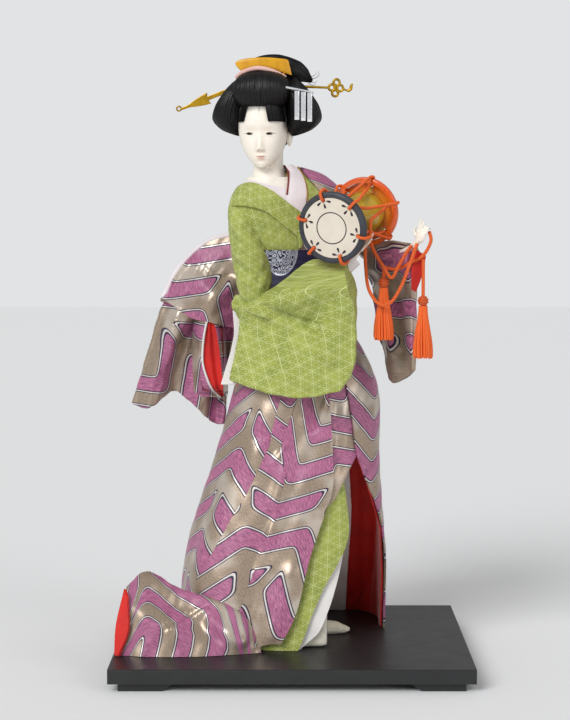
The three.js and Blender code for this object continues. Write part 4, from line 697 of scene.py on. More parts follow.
class Shader:
    """Short calls that build one node material."""

    def __init__(self, name: str) -> None:
        """Starts a material with a plain surface.

        Args:
            name: The material's name.
        """
        self.material = bpy.data.materials.new(name)
        self.material.use_nodes = True
        self.tree = self.material.node_tree
        self.tree.nodes.clear()
        self.surface = self.tree.nodes.new("ShaderNodeBsdfPrincipled")
        self.output = self.tree.nodes.new("ShaderNodeOutputMaterial")
        self.tree.links.new(self.surface.outputs[0], self.output.inputs["Surface"])

    def plug(self, socket: Socket, value: Value) -> None:
        """Links or sets one input; a colour may be written as #RRGGBB.

        Args:
            socket: The input.
            value: What goes into it.
        """
        value = linear(value) if isinstance(value, str) else value
        if isinstance(value, Socket):
            self.tree.links.new(value, socket)
        elif isinstance(value, tuple) and socket.type == "RGBA":
            socket.default_value = (*value[:3], 1.0)
        else:
            socket.default_value = value

    def set(self, name: str, value: Value) -> None:
        """Sets one input of the surface."""
        self.plug(self.surface.inputs[name], value)

    def math(self, operation: str, *values: Value) -> Socket:
        """A Math node's result.

        Args:
            operation: What it does.
            values: Its inputs, in order.

        Returns:
            The result.
        """
        node = self.tree.nodes.new("ShaderNodeMath")
        node.operation = operation
        for socket, value in zip(node.inputs, values):
            self.plug(socket, value)
        return node.outputs[0]

    def times(self, first: Value, second: Value) -> Socket:
        """The product of two values."""
        return self.math("MULTIPLY", first, second)

    def minus(self, first: Value, second: Value) -> Socket:
        """The difference of two values."""
        return self.math("SUBTRACT", first, second)

    def total(self, *terms: Value) -> Socket:
        """The sum of several values.

        Args:
            terms: The values.

        Returns:
            The sum.
        """
        result = terms[0]
        for term in terms[1:]:
            result = self.math("ADD", result, term)
        return result

    def step(self, value: Value, low: float, high: float) -> Socket:
        """A soft step of a value from 0 at low to 1 at high; low may be the larger.

        Args:
            value: The value.
            low: Where the step starts.
            high: Where it ends.

        Returns:
            The step's value.
        """
        node = self.tree.nodes.new("ShaderNodeMapRange")
        node.interpolation_type = "SMOOTHSTEP"
        flip = low > high
        self.plug(node.inputs["Value"], value)
        node.inputs["From Min"].default_value = min(low, high)
        node.inputs["From Max"].default_value = max(low, high)
        node.inputs["To Min"].default_value = 1.0 if flip else 0.0
        node.inputs["To Max"].default_value = 0.0 if flip else 1.0
        return node.outputs[0]

    def mix(self, share: Value, first: Value, second: Value) -> Socket:
        """A colour between two.

        Args:
            share: The share of the second.
            first: The value at share 0.
            second: The value at share 1.

        Returns:
            The colour.
        """
        node = self.tree.nodes.new("ShaderNodeMix")
        node.data_type = "RGBA"
        for key, value in ((0, share), (6, first), (7, second)):
            self.plug(node.inputs[key], value)
        return node.outputs[2]

    def between(self, share: Value, low: float, high: float) -> Socket:
        """A number between two."""
        return self.math("ADD", self.times(share, high - low), low)

    def point(self) -> Socket:
        """The place on the object, in metres."""
        return self.tree.nodes.new("ShaderNodeTexCoord").outputs["Object"]

    def parts(self, vector: Socket, scale: float = 1.0) -> tuple:
        """A vector's three parts, scaled.

        Args:
            vector: The vector.
            scale: What each part is multiplied by.

        Returns:
            The three parts.
        """
        node = self.tree.nodes.new("ShaderNodeSeparateXYZ")
        self.plug(node.inputs[0], vector)
        return tuple(self.times(out, scale) for out in node.outputs)

    def cloth(self) -> tuple:
        """The cloth map's two lengths, in millimetres.

        Returns:
            The lengths along and across the cloth.
        """
        node = self.tree.nodes.new("ShaderNodeUVMap")
        node.uv_map = CLOTH_MAP
        return self.parts(node.outputs[0], 1000.0)[:2]

    def vector(self, x: Value, y: Value, z: Value = 0.0) -> Socket:
        """A vector of three parts.

        Args:
            x: Its first part.
            y: Its second part.
            z: Its third part.

        Returns:
            The vector.
        """
        node = self.tree.nodes.new("ShaderNodeCombineXYZ")
        for socket, value in zip(node.inputs, (x, y, z)):
            self.plug(socket, value)
        return node.outputs[0]

    def noise(self, vector: Value, scale: float, detail: float = 3.0, rough: float = 0.55) -> Socket:
        """A cloud of noise from 0 to 1.

        Args:
            vector: The place.
            scale: How many clouds there are to a unit.
            detail: How many finer layers it has.
            rough: How strong those are.

        Returns:
            The cloud's value.
        """
        node = self.tree.nodes.new("ShaderNodeTexNoise")
        self.plug(node.inputs["Vector"], vector)
        node.inputs["Scale"].default_value = scale
        node.inputs["Detail"].default_value = detail
        node.inputs["Roughness"].default_value = rough
        return node.outputs[0]

    def attribute(self, name: str) -> Socket:
        """A number painted on the mesh.

        Args:
            name: The number's name.

        Returns:
            The number.
        """
        node = self.tree.nodes.new("ShaderNodeAttribute")
        node.attribute_name = name
        return node.outputs["Fac"]

    def bump(self, height: Value, strength: float, distance: float = MM) -> None:
        """Raises the surface by a height, where 1 is the distance in metres.

        Args:
            height: The height, from 0 to 1.
            strength: The bump's strength.
            distance: The height of 1, in metres.
        """
        node = self.tree.nodes.new("ShaderNodeBump")
        node.inputs["Strength"].default_value = strength
        node.inputs["Distance"].default_value = distance
        self.plug(node.inputs["Height"], height)
        self.tree.links.new(node.outputs[0], self.surface.inputs["Normal"])


@dataclass(frozen=True)
class Finish:
    """A surface finish."""

    name: str = "finish"

    def made(self) -> bpy.types.Material:
        """The material, made once.

        Returns:
            The material.
        """
        name = f"{self.name}_finish"
        found = bpy.data.materials.get(name)
        if found is not None:
            return found
        shader = Shader(name)
        self.paint(shader)
        return shader.material

    def paint(self, s: Shader) -> None:
        """Builds the material's nodes."""
        raise NotImplementedError


@dataclass(frozen=True)
class Lacquer(Finish):
    """Satin black lacquer over a wooden board."""

    name: str = "black_lacquer"
    colour: str = "#1B1C1D"
    worn: str = "#3A3B3C"

    def paint(self, s: Shader) -> None:
        """Builds the material's nodes.

        Args:
            s: The shader that the nodes go into.
        """
        grain = s.noise(s.point(), 60.0, 5.0)
        fine = s.noise(s.point(), 900.0, 2.0)
        s.set("Base Color", s.mix(s.times(grain, 0.35), self.colour, self.worn))
        s.set("Roughness", s.between(grain, 0.34, 0.5))
        s.set("Specular IOR Level", 0.45)
        s.bump(s.total(s.times(grain, 0.6), s.times(fine, 0.25)), 0.12, 0.0004)


@dataclass(frozen=True)
class Silk(Finish):
    """A plain silk with a fine crepe."""

    name: str = "silk"
    colour: str = "#E9E0E4"
    shade: str = "#C9BCC4"
    crepe: float = 0.35
    roughness: float = 0.62

    def paint(self, s: Shader) -> None:
        """Builds the material's nodes.

        Args:
            s: The shader that the nodes go into.
        """
        place = s.point()
        u, v = s.cloth()
        cloud = s.noise(place, 45.0, 3.0)
        pebble = s.noise(place, 1400.0, 2.0)
        thread = s.noise(s.vector(s.times(u, 4.0), s.times(v, 0.5)), 1.0, 2.0)
        share = s.step(s.total(s.times(cloud, 0.7), s.times(pebble, 0.3)), 0.25, 0.75)
        s.set("Base Color", s.mix(share, self.shade, self.colour))
        s.set("Roughness", self.roughness)
        s.set("Sheen Weight", 0.25)
        s.set("Sheen Roughness", 0.4)
        s.bump(s.total(pebble, s.times(thread, 0.5)), self.crepe, 0.0004)


@dataclass(frozen=True)
class Lattice(Finish):
    """Yellow-green brocade with a pale gold lattice and small triangles."""

    name: str = "green_lattice_brocade"
    colour: str = "#A3AC4A"
    shade: str = "#828E3A"
    thread: str = "#C9D089"
    pitch: float = 9.0
    pip: float = 0.62
    turn: float = 12.0

    def paint(self, s: Shader) -> None:
        """Builds the material's nodes.

        Args:
            s: The shader that the nodes go into.
        """
        u, v = s.cloth()
        place = s.point()

        def nearest(spacing: float) -> Socket:
            """The distance to the nearest of three families of lines.

            Args:
                spacing: The distance between lines, in millimetres.

            Returns:
                The distance.
            """
            result = None
            for k in range(3):
                a = math.radians(self.turn + 60 * k)
                across = s.total(s.times(u, math.cos(a)), s.times(v, math.sin(a)))
                away = s.math("PINGPONG", across, spacing / 2)
                result = away if result is None else s.math("MINIMUM", result, away)
            return result

        away = nearest(self.pitch)
        lines = s.times(s.step(away, 0.36, 0.12), 0.9)
        fine = self.pitch / 3
        pips = s.step(nearest(fine), fine / 3 - self.pip, fine / 3 - self.pip + 0.3)
        gold = s.math("MAXIMUM", lines, s.times(pips, 0.5))
        cloud = s.noise(place, 60.0, 4.0)
        weave = s.noise(s.vector(s.times(u, 1.6), s.times(v, 5.0)), 1.0, 2.0)
        ground = s.mix(s.step(s.total(s.times(cloud, 0.6), s.times(weave, 0.4)), 0.3, 0.7),
                       self.shade, self.colour)
        s.set("Base Color", s.mix(gold, ground, self.thread))
        s.set("Roughness", s.between(gold, 0.72, 0.5))
        s.set("Sheen Weight", 0.12)
        s.set("Sheen Roughness", 0.5)
        s.bump(s.total(s.times(gold, 0.8), s.times(weave, 0.35)), 0.55, 0.0005)


@dataclass(frozen=True)
class Bands(Finish):
    """Mauve satin and taupe bands in rounded zigzags, edged with navy and silver thread."""

    name: str = "mauve_band_brocade"
    mauve: str = "#C07496"
    mauve_deep: str = "#874A70"
    taupe: str = "#B3A08D"
    taupe_deep: str = "#867463"
    navy: str = "#241C3E"
    silver: str = "#E2DCD6"
    gleam: str = "#DDD3C7"
    period: float = 74.0
    slope: float = 0.95
    repeat: float = 36.0
    mauve_share: float = 0.43
    rounding: float = 0.965
    link: float = 5.5

    def paint(self, s: Shader) -> None:
        """Builds the material's nodes.

        Args:
            s: The shader that the nodes go into.
        """
        u, v = s.cloth()
        turn = s.times(u, 2 * math.pi / self.period)
        wave = s.times(s.math("SINE", turn), self.rounding)
        reach = self.slope * self.period / (2 * math.pi * self.rounding)
        rise = s.times(s.math("ARCSINE", wave), reach)
        lean = s.math("DIVIDE", s.math("COSINE", turn),
                      s.math("SQRT", s.minus(1.0, s.times(wave, wave))))
        steep = s.times(lean, self.slope)
        straight = s.math("INVERSE_SQRT", s.math("MULTIPLY_ADD", steep, steep, 1.0))
        row = s.math("DIVIDE", s.minus(v, rise), self.repeat)
        place = s.math("FRACT", row)
        odd = s.math("FLOORED_MODULO", s.math("FLOOR", row), 2.0)
        half = s.math("ABSOLUTE", s.minus(place, 0.5))
        band = s.times(s.times(s.minus(half, self.mauve_share / 2), self.repeat),
                      straight)
        peak = s.math("PINGPONG", s.minus(u, self.period / 4), self.period / 2)
        bridge = s.minus(self.link, peak)
        bridge = s.minus(bridge, s.times(s.minus(1.0, odd), 100.0))
        away = s.math("SMOOTH_MAX", band, bridge, 6.0)
        hatch = s.noise(s.vector(s.times(s.total(u, v), 1.5),
                                 s.times(s.minus(u, v), 0.12)), 1.0, 2.0, 0.7)
        speck = s.noise(s.vector(s.times(u, 2.6), s.times(v, 0.5)), 1.0, 3.0, 0.7)
        satin = s.mix(s.step(hatch, 0.38, 0.62), self.mauve_deep, self.mauve)
        ground = s.mix(s.step(speck, 0.3, 0.62), self.taupe_deep, self.taupe)
        gleam = s.step(s.noise(s.point(), 26.0, 2.0), 0.5, 0.68)
        ground = s.mix(s.times(gleam, 0.6), ground, self.gleam)
        first = s.step(away, -0.15, 0.15)
        second = s.times(s.step(away, 0.75, 1.0), s.step(away, 1.95, 1.7))
        inner = s.times(s.step(away, 1.65, 1.9), s.step(away, 2.6, 2.35))
        colour = s.mix(first, satin, self.navy)
        colour = s.mix(second, colour, self.silver)
        past = s.step(away, 2.3, 2.55)
        colour = s.mix(past, colour, ground)
        colour = s.mix(s.times(inner, 0.85), colour, self.navy)
        metal = s.math("MAXIMUM", second, past)
        s.set("Base Color", colour)
        s.set("Metallic", s.times(metal, 0.45))
        s.set("Roughness", s.between(metal, 0.44, 0.32))
        s.set("Sheen Weight", 0.05)
        s.bump(s.total(s.times(hatch, 0.3), s.times(speck, 0.3),
                       s.times(second, 0.7)), 0.35, 0.0004)


@dataclass(frozen=True)
class Scrolls(Finish):
    """Navy brocade with medallions of silver scrolls."""

    name: str = "navy_scroll_brocade"
    colour: str = "#15123A"
    silver: str = "#B9BCC8"
    pitch: float = 62.0
    reach: float = 16.0
    middle: float = 5.0
    height: float = 25.0

    def paint(self, s: Shader) -> None:
        """Builds the material's nodes.

        Args:
            s: The shader that the nodes go into.
        """
        u, v = s.cloth()
        curl = s.noise(s.vector(s.times(u, 0.15), s.times(v, 0.15)), 1.0, 0.0)
        line = s.math("PINGPONG", s.times(curl, 7.0), 0.5)
        thread = s.step(line, 0.17, 0.27)
        x = s.math("PINGPONG", s.minus(u, self.middle), self.pitch / 2)
        y = s.minus(v, self.height)
        far = s.math("SQRT", s.total(s.times(x, x), s.times(y, y)))
        inside = s.step(far, self.reach + 0.4, self.reach - 0.4)
        ring = s.step(s.math("ABSOLUTE", s.minus(far, self.reach)), 0.75, 0.4)
        silver = s.math("MAXIMUM", s.times(inside, thread), ring)
        weave = s.noise(s.vector(s.times(u, 2.0), s.times(v, 7.0)), 1.0, 2.0)
        s.set("Base Color", s.mix(silver, self.colour, self.silver))
        s.set("Metallic", s.times(silver, 0.5))
        s.set("Roughness", s.between(silver, 0.62, 0.42))
        s.bump(s.total(s.times(silver, 0.8), s.times(weave, 0.4)), 0.4, 0.0004)


@dataclass(frozen=True)
class Hair(Finish):
    """Combed black silk hair, set with oil."""

    name: str = "combed_hair"
    colour: str = "#050506"
    lit: str = "#1C1C20"
    roughness: float = 0.3

    def paint(self, s: Shader) -> None:
        """Builds the material's nodes.

        Args:
            s: The shader that the nodes go into.
        """
        u, v = s.cloth()
        strand = s.noise(s.vector(s.times(u, 2.4), s.times(v, 0.05)), 1.0, 3.0, 0.6)
        lock = s.noise(s.vector(s.times(u, 0.4), s.times(v, 0.02)), 1.0, 2.0)
        share = s.times(s.step(strand, 0.5, 0.8), 0.35)
        s.set("Base Color", s.mix(share, self.colour, self.lit))
        s.set("Roughness", s.between(strand, self.roughness, self.roughness + 0.2))
        s.set("Specular IOR Level", 0.35)
        s.bump(s.total(s.times(strand, 0.8), s.times(lock, 0.8)), 0.6, 0.0006)


@dataclass(frozen=True)
class ShellPaste(Finish):
    """Polished white shell paste over wood, with painted features and painted shade where the mesh has them.
    """

    name: str = "shell_paste"
    colour: str = "#F4EDE1"
    # warm: the beige of the painted shade round the eyes, nose and lower lip.
    warm: str = "#E3CDB6"
    ink: str = "#1A1110"
    lip: str = "#D9A48A"
    wash: str = "#4A4744"
    painted: bool = False

    def paint(self, s: Shader) -> None:
        """Builds the material's nodes.

        Args:
            s: The shader that the nodes go into.
        """
        place = s.point()
        cloud = s.noise(place, 120.0, 3.0)
        colour = s.mix(s.step(cloud, 0.35, 0.85), self.colour, "#F1E8DA")
        if self.painted:
            # Painted shade round the eyes, beside and under the nose and under the lower lip.
            colour = s.mix(s.attribute("warmth"), colour, self.warm)
            # The painted grey hairline, and painted shade at the temples.
            colour = s.mix(s.attribute("wash"), colour, self.wash)
            colour = s.mix(s.attribute("lips"), colour, self.lip)
            # The painted lash lines, and painted shade in the parting of the lips and in the nostrils.
            colour = s.mix(s.attribute("ink"), colour, self.ink)
        s.set("Base Color", colour)
        s.set("Roughness", s.between(cloud, 0.4, 0.52))
        s.set("Subsurface Weight", 0.08)
        s.set("Subsurface Radius", (0.004, 0.003, 0.002))
        s.set("Subsurface Scale", 1.0)
        s.bump(s.noise(place, 700.0, 2.0), 0.05, 0.0003)


@dataclass(frozen=True)
class Plain(Finish):
    """A plain surface with a little cloud in its colour and a grain."""

    name: str = "plain"
    colour: str = "#808080"
    second: str = "#707070"
    roughness: float = 0.5
    metallic: float = 0.0
    cloud: float = 80.0
    grain: float = 900.0
    relief: float = 0.1
    coat: float = 0.0
    sheen: float = 0.0

    def paint(self, s: Shader) -> None:
        """Builds the material's nodes.

        Args:
            s: The shader that the nodes go into.
        """
        place = s.point()
        cloud = s.noise(place, self.cloud, 4.0)
        s.set("Base Color", s.mix(s.step(cloud, 0.3, 0.7), self.colour, self.second))
        s.set("Roughness", s.between(cloud, self.roughness * 0.85, self.roughness * 1.15))
        s.set("Metallic", self.metallic)
        s.set("Coat Weight", self.coat)
        s.set("Sheen Weight", self.sheen)
        s.bump(s.noise(place, self.grain, 3.0), self.relief, 0.0004)


@dataclass(frozen=True)
class Amber(Finish):
    """Clouded amber, lit a little from within."""

    name: str = "clouded_amber"
    colour: str = "#DBA212"
    deep: str = "#C4860E"

    def paint(self, s: Shader) -> None:
        """Builds the material's nodes.

        Args:
            s: The shader that the nodes go into.
        """
        cloud = s.noise(s.point(), 70.0, 4.0)
        s.set("Base Color", s.mix(s.step(cloud, 0.42, 0.72), self.colour, self.deep))
        s.set("Roughness", 0.36)
        s.set("Subsurface Weight", 0.04)
        s.set("Subsurface Radius", (0.004, 0.002, 0.0006))
        s.set("Subsurface Scale", 1.0)
        s.bump(cloud, 0.04, 0.0005)


@dataclass(frozen=True)
class EyeGlass(Finish):
    """A dark brown glass iris in a warm white."""

    name: str = "eye_glass"
    iris: str = "#2A120C"
    white: str = "#CFC4B8"

    def paint(self, s: Shader) -> None:
        """Builds the material's nodes.

        Args:
            s: The shader that the nodes go into.
        """
        u, v = s.cloth()
        far = s.math("SQRT", s.total(s.times(u, u), s.times(v, v)))
        cloud = s.noise(s.point(), 1500.0, 2.0)
        iris = s.mix(s.step(far, 0.5, 1.3), "#0A0504", self.iris)
        iris = s.mix(s.times(cloud, 0.3), iris, "#4A2014")
        s.set("Base Color", s.mix(s.step(far, 1.9, 2.5), iris, self.white))
        s.set("Roughness", 0.12)


@dataclass(frozen=True)
class Cord(Finish):
    """Twisted silk cord, its plies laid in a helix, with painted shade in the grooves between them."""

    name: str = "orange_cord"
    colour: str = "#EE6418"
    deep: str = "#C04A10"
    lit: str = "#F98A48"

    def paint(self, s: Shader) -> None:
        """Builds the material's nodes.

        Args:
            s: The shader that the nodes go into.
        """
        ply = s.attribute("ply")
        fibre = s.noise(s.point(), 1600.0, 2.0)
        # The deep colour goes where ply is low: painted shade in the grooves between the plies and on a
        # fringe's inner threads.
        colour = s.mix(s.step(ply, 0.05, 0.6), self.deep, self.colour)
        s.set("Base Color", s.mix(s.times(s.step(fibre, 0.45, 0.75), 0.45), colour, self.lit))
        s.set("Roughness", 0.6)
        s.set("Sheen Weight", 0.05)
        s.bump(fibre, 0.25, 0.0003)


@dataclass(frozen=True)
class Bowl(Finish):
    """The drum's gold-lacquered bowl, amber towards its orange rim."""

    name: str = "gold_bowl"
    gold: str = "#C9A72C"
    rim: str = "#E2591A"
    deep: str = "#8F7D1E"

    def paint(self, s: Shader) -> None:
        """Builds the material's nodes.

        Args:
            s: The shader that the nodes go into.
        """
        rim = s.attribute("rim")
        cloud = s.noise(s.point(), 40.0, 3.0)
        gold = s.mix(s.step(cloud, 0.35, 0.7), self.gold, self.deep)
        s.set("Base Color", s.mix(rim, gold, self.rim))
        s.set("Roughness", 0.24)
        s.set("Coat Weight", 0.6)
        s.set("Coat Roughness", 0.1)
        s.bump(cloud, 0.03, 0.0005)


LACQUER = Lacquer()
WHITE_SILK = Silk("white_collar_silk", "#F0E8EA", "#DDD3D7")
WHITE_CREPE = Silk("white_crepe", "#F1EEEC", "#D9D5D3", 0.5)
RED_SILK = Silk("scarlet_silk", "#DD1E10", "#B81008", 0.25)
DEEP_RED_SILK = Silk("deep_red_silk", "#C8160A", "#A00E07", 0.25)
PINK_SILK = Silk("pink_silk", "#EFC9C0", "#D8A79D", 0.3)
GREEN = Lattice()
BANDS = Bands()
NAVY = Scrolls()
HAIR = Hair()
FACE = ShellPaste("painted_shell_paste", painted=True)
PASTE = ShellPaste()
STEEL = Plain("plain_steel", "#8F9295", "#7D8083", 0.35, 1.0)
WADDING = Plain("cotton_wadding", "#E9E4D6", "#D6CFBE", 0.95, grain=500.0, relief=0.6, sheen=0.4)
WOOD_WOOL = Plain("wood_wool", "#B99A68", "#8F7247", 0.9, grain=400.0, relief=0.8)
WRAPPED = Plain("paper_wrapping", "#D8CFBA", "#C2B79E", 0.85, grain=700.0, relief=0.4)
TABI = Plain("tabi_cotton", "#EFE8D4", "#E2D9C2", 0.8, cloud=60.0, grain=1500.0, relief=0.25, sheen=0.3)
GILT = Plain("gilt_brass", "#C9A024", "#A98218", 0.32, 0.75, cloud=200.0, relief=0.12)
SILVER = Plain("polished_silver", "#F4F5F8", "#E2E4EA", 0.15, 0.6, cloud=50.0, grain=300.0, relief=0.04)
AMBER = Amber()
EYE = EyeGlass()
SKIN = Plain("drum_skin", "#E3DACB", "#D9CEBD", 0.55, cloud=40.0, grain=600.0, relief=0.12)
CHARCOAL = Plain("charcoal_rim", "#3B3E46", "#2E3036", 0.5, cloud=90.0, relief=0.15)
INK = Plain("petal_ink", "#25262B", "#1B1C20", 0.5)
BOWL = Bowl()
CORD = Cord()
# The gold trim's deep colour, in the grooves between its plies, is partly its red thread and partly painted
# shade.
GOLD_TRIM = Cord("gold_trim", "#B98A3A", "#6B2A1C", "#E6C878")
# The collar piping's red, darkened all over with painted shade.
SHADED_RED_TRIM = Cord("red_trim", "#8C2A22", "#4E1512", "#C0564A")
# Painted shade: a near-black cord where the purple bodice's edge overlaps the green lapel.
PAINTED_SHADE_CORD = Cord("dark_seam", "#1E1B24", "#0E0C12", "#3A3540")


# Geometry Nodes: what repeats or follows a path


class NodeTree:
    """Short calls that build one Geometry Nodes tree."""

    def __init__(self, name: str, inputs: dict[str, tuple[str, float]]) -> None:
        """Starts a tree that takes a geometry and some named sizes.

        Args:
            name: The tree's name.
            inputs: Each size's kind and first value, by name.
        """
        self.tree = bpy.data.node_groups.new(name, "GeometryNodeTree")
        face = self.tree.interface
        face.new_socket("Geometry", in_out="INPUT", socket_type="NodeSocketGeometry")
        for label, (kind, value) in inputs.items():
            socket = face.new_socket(label, in_out="INPUT", socket_type=kind)
            socket.default_value = value
        face.new_socket("Geometry", in_out="OUTPUT", socket_type="NodeSocketGeometry")
        self.source = self.tree.nodes.new("NodeGroupInput")
        self.sink = self.tree.nodes.new("NodeGroupOutput")

    def add(self, kind: str, links: dict | None = None, out: int | str = 0, **settings: object) -> Socket:
        """Adds a node.

        Args:
            kind: The node's type.
            links: Its inputs, by name or number.
            out: The output that is wanted, by name or number.
            settings: Its settings.

        Returns:
            The output.
        """
        node = self.tree.nodes.new(kind)
        for key, value in settings.items():
            setattr(node, key, value)
        for key, value in (links or {}).items():
            if isinstance(value, Socket):
                self.tree.links.new(value, node.inputs[key])
            else:
                node.inputs[key].default_value = value
        return node.outputs[out]

    def math(self, operation: str, *values: Value) -> Socket:
        """A Math node's result."""
        return self.add("ShaderNodeMath", dict(enumerate(values)), operation=operation)

    def end(self, geometry: Socket, finish: Finish) -> None:
        """Realizes the instances and gives them their material.

        Args:
            geometry: What the tree has made.
            finish: Its finish.
        """
        real = self.add("GeometryNodeRealizeInstances", {0: geometry})
        done = self.add("GeometryNodeSetMaterial", {0: real, "Material": finish.made()})
        self.tree.links.new(done, self.sink.inputs[0])

    def run(self, base: bpy.types.ID, name: str, values: dict[str, float]) -> Mesh:
        """Runs the tree on a mesh or curve.

        Args:
            base: The mesh or curve that the tree takes.
            name: The new mesh's name.
            values: The named sizes.

        Returns:
            The plain mesh that it makes.
        """
        holder = bpy.data.objects.new(name, base)
        bpy.context.scene.collection.objects.link(holder)
        modifier = holder.modifiers.new("nodes", "NODES")
        modifier.node_group = self.tree
        for item in self.tree.interface.items_tree:
            if item.in_out == "INPUT" and item.name in values:
                modifier[item.identifier] = values[item.name]
        return evaluated(holder, name)


def line_curve(points: Array, name: str) -> bpy.types.Curve:
    """A curve of one open line through points in millimetres above the board.

    Args:
        points: The points, in order.
        name: The curve's name.

    Returns:
        The curve.
    """
    curve = bpy.data.curves.new(name, "CURVE")
    curve.dimensions = "3D"
    spline = curve.splines.new("POLY")
    spline.points.add(len(points) - 1)
    rows = np.hstack([(points + (0, 0, BOARD_TOP)) * MM, np.ones((len(points), 1))])
    spline.points.foreach_set("co", rows.astype(np.float32).ravel())
    return curve


class RopeMaker:
    """A Geometry Nodes tree that lays a twisted cord of three plies along a line."""

    def __init__(self, finish: Finish, plies: int = 3) -> None:
        """Builds the tree once for one finish.

        Args:
            finish: The cords' finish.
            plies: How many plies are twisted together.
        """
        self.finish = finish
        tree = NodeTree("twisted_cord_" + finish.name, {
            "Radius": ("NodeSocketFloat", 0.0015),
            "Step": ("NodeSocketFloat", 0.0006),
            "Turns Per Metre": ("NodeSocketFloat", 200.0),
        })
        radius, step, turns = (tree.source.outputs[k] for k in (1, 2, 3))
        path = tree.add("GeometryNodeResampleCurve", {"Curve": tree.source.outputs[0], "Length": step},
                        mode="LENGTH")
        along = tree.add("GeometryNodeSplineParameter", out="Length")
        angle = tree.math("MULTIPLY", tree.math("MULTIPLY", along, turns), 2 * math.pi)
        tilted = tree.add("GeometryNodeSetCurveTilt", {"Curve": path, "Tilt": angle})
        circle = tree.add("GeometryNodeCurvePrimitiveCircle", {"Resolution": 6 * plies, "Radius": 1.0})
        place = tree.add("GeometryNodeSplineParameter", out="Factor")
        wave = tree.math("COSINE", tree.math("MULTIPLY", place, 2 * math.pi * plies))
        span = {"Value": wave, "From Min": -1.0, "From Max": 1.0}
        ply = tree.add("ShaderNodeMapRange", span)
        # ply is 1 on each ply's crown and 0 in the grooves between plies, where the cord's finish paints
        # shade.
        kept = tree.add("GeometryNodeStoreNamedAttribute", {0: circle, "Name": "ply", "Value": ply},
                        data_type="FLOAT")
        swell = tree.add("ShaderNodeMapRange", {**span, "To Min": 0.8, "To Max": 1.06})
        size = tree.math("MULTIPLY", swell, radius)
        spot = tree.add("GeometryNodeInputPosition")
        scaled = tree.add("ShaderNodeVectorMath", {0: spot, "Scale": size}, operation="SCALE")
        profile = tree.add("GeometryNodeSetPosition", {"Geometry": kept, "Position": scaled})
        swept = tree.add("GeometryNodeCurveToMesh",
                         {"Curve": tilted, "Profile Curve": profile, "Fill Caps": True})
        tree.end(swept, finish)
        self.tree = tree

    def lay(self, points: Array, radius: float, name: str, pitch: float = 5.0, step: float = 0.6) -> Object:
        """Lays a cord.

        Args:
            points: The line that it follows, in millimetres above the board.
            radius: Its radius, in millimetres.
            name: The piece's name.
            pitch: The length of one turn of its plies, in millimetres.
            step: The distance between its rings, in millimetres.

        Returns:
            The cord as one mesh.
        """
        values = {"Radius": radius * MM, "Step": step * MM, "Turns Per Metre": 1000.0 / pitch}
        mesh = self.tree.run(line_curve(points, name), name, values)
        return shown(name, mesh, self.finish, ROUND_EDGE)


# The doll's sub-assemblies


def place_piece(
    piece: Object, body: Body, replaces: Sequence[str] = ()
) -> Object:
    """Hangs a piece on its body's empty and hides the nodes that it stands for.

    Args:
        piece: The piece.
        body: The body that it rides on.
        replaces: The nodes that it stands for.

    Returns:
        The piece.
    """
    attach(piece, body.value)
    if replaces:
        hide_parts(*replaces)
    log.info("%s: %d faces on %s", piece.name, len(piece.data.polygons), body.value)
    return piece


def dress(node: str, finish: Finish) -> None:
    """Gives a node of the frame its finish.

    Args:
        node: The node.
        finish: Its finish.
    """
    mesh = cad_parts[node].data
    mesh.materials.clear()
    mesh.materials.append(finish.made())
    log.info("%s: kept, finish %s", node, finish.name)


def turn_z(degrees: float, x: float, y: float) -> Array:
    """A matrix that turns about an upright axis and then shifts."""
    c, s = math.cos(math.radians(degrees)), math.sin(math.radians(degrees))
    return np.array([[c, -s, 0, x], [s, c, 0, y], [0, 0, 1, 0], [0, 0, 0, 1]])


@dataclass
class Stand:
    """The lacquered board, its runners and the rod that holds the figure."""

    lacquered: tuple[str, ...] = ("base_board", "base_runner_left", "base_runner_right")

    def build(self) -> None:
        """Dresses the stand's nodes."""
        for node in self.lacquered:
            dress(node, LACQUER)
        dress("standing_rod", STEEL)


CORE = Levels([
    (296.3, -3, 2, 27, 27, 20, 20), (320, -3, 1, 26, 26, 19, 19), (345, -5, 1, 33, 32, 21, 20, 2.3, 0, 10),
    (368, -7, 2, 41, 40, 22, 20, 2.3, 0, 17), (381, -7, 3, 43, 44, 22, 18, 2.3, 0, 18),
    (391, -8, 3, 37, 41, 19, 15, 2.3, 0, 18), (398, -12, 2, 24, 32, 15, 14, 2.3, 0, 18),
    (404, -16, 1, 10, 14, 9, 9, 2.3, 0, 18),
])
BREAST = (
    (296.3, -3, 2, 29, 29, 22, 22), (320, -3, 1, 28, 28, 21, 21), (345, -5, 1, 35, 34, 23, 22, 2.3, 0, 10),
    (366, -7, 2, 43, 42, 24, 22, 2.3, 0, 17), (381, -7, 3, 45, 46, 24, 20, 2.3, 0, 18),
)
TORSO = Levels([
    *BREAST, (391, -9, 3, 38, 42, 21.5, 17, 2.3, 0, 18), (398, -14, 1, 26, 31, 18.5, 17, 2.3, 0, 10),
    (405, -18, -1, 19.5, 24.5, 17, 17.5), (412, -20, -2, 17, 20, 16.5, 17.5),
    (418, -20, -2, 16.5, 17, 16, 17),
])
SHOULDER = Levels([
    *BREAST, (391, -9, 3, 38, 48, 21.5, 18, 2.3, 0, 16), (398, -14, 1, 27, 46, 19, 18, 2.2, 0, 12),
    (403, -17, 0, 22, 41, 16, 18, 2.1, 0, 8), (406, -18.5, -1, 20, 34, 13, 17, 2.1, 0, 4),
    (408.5, -19.5, -1.5, 18, 26, 10, 15),
])
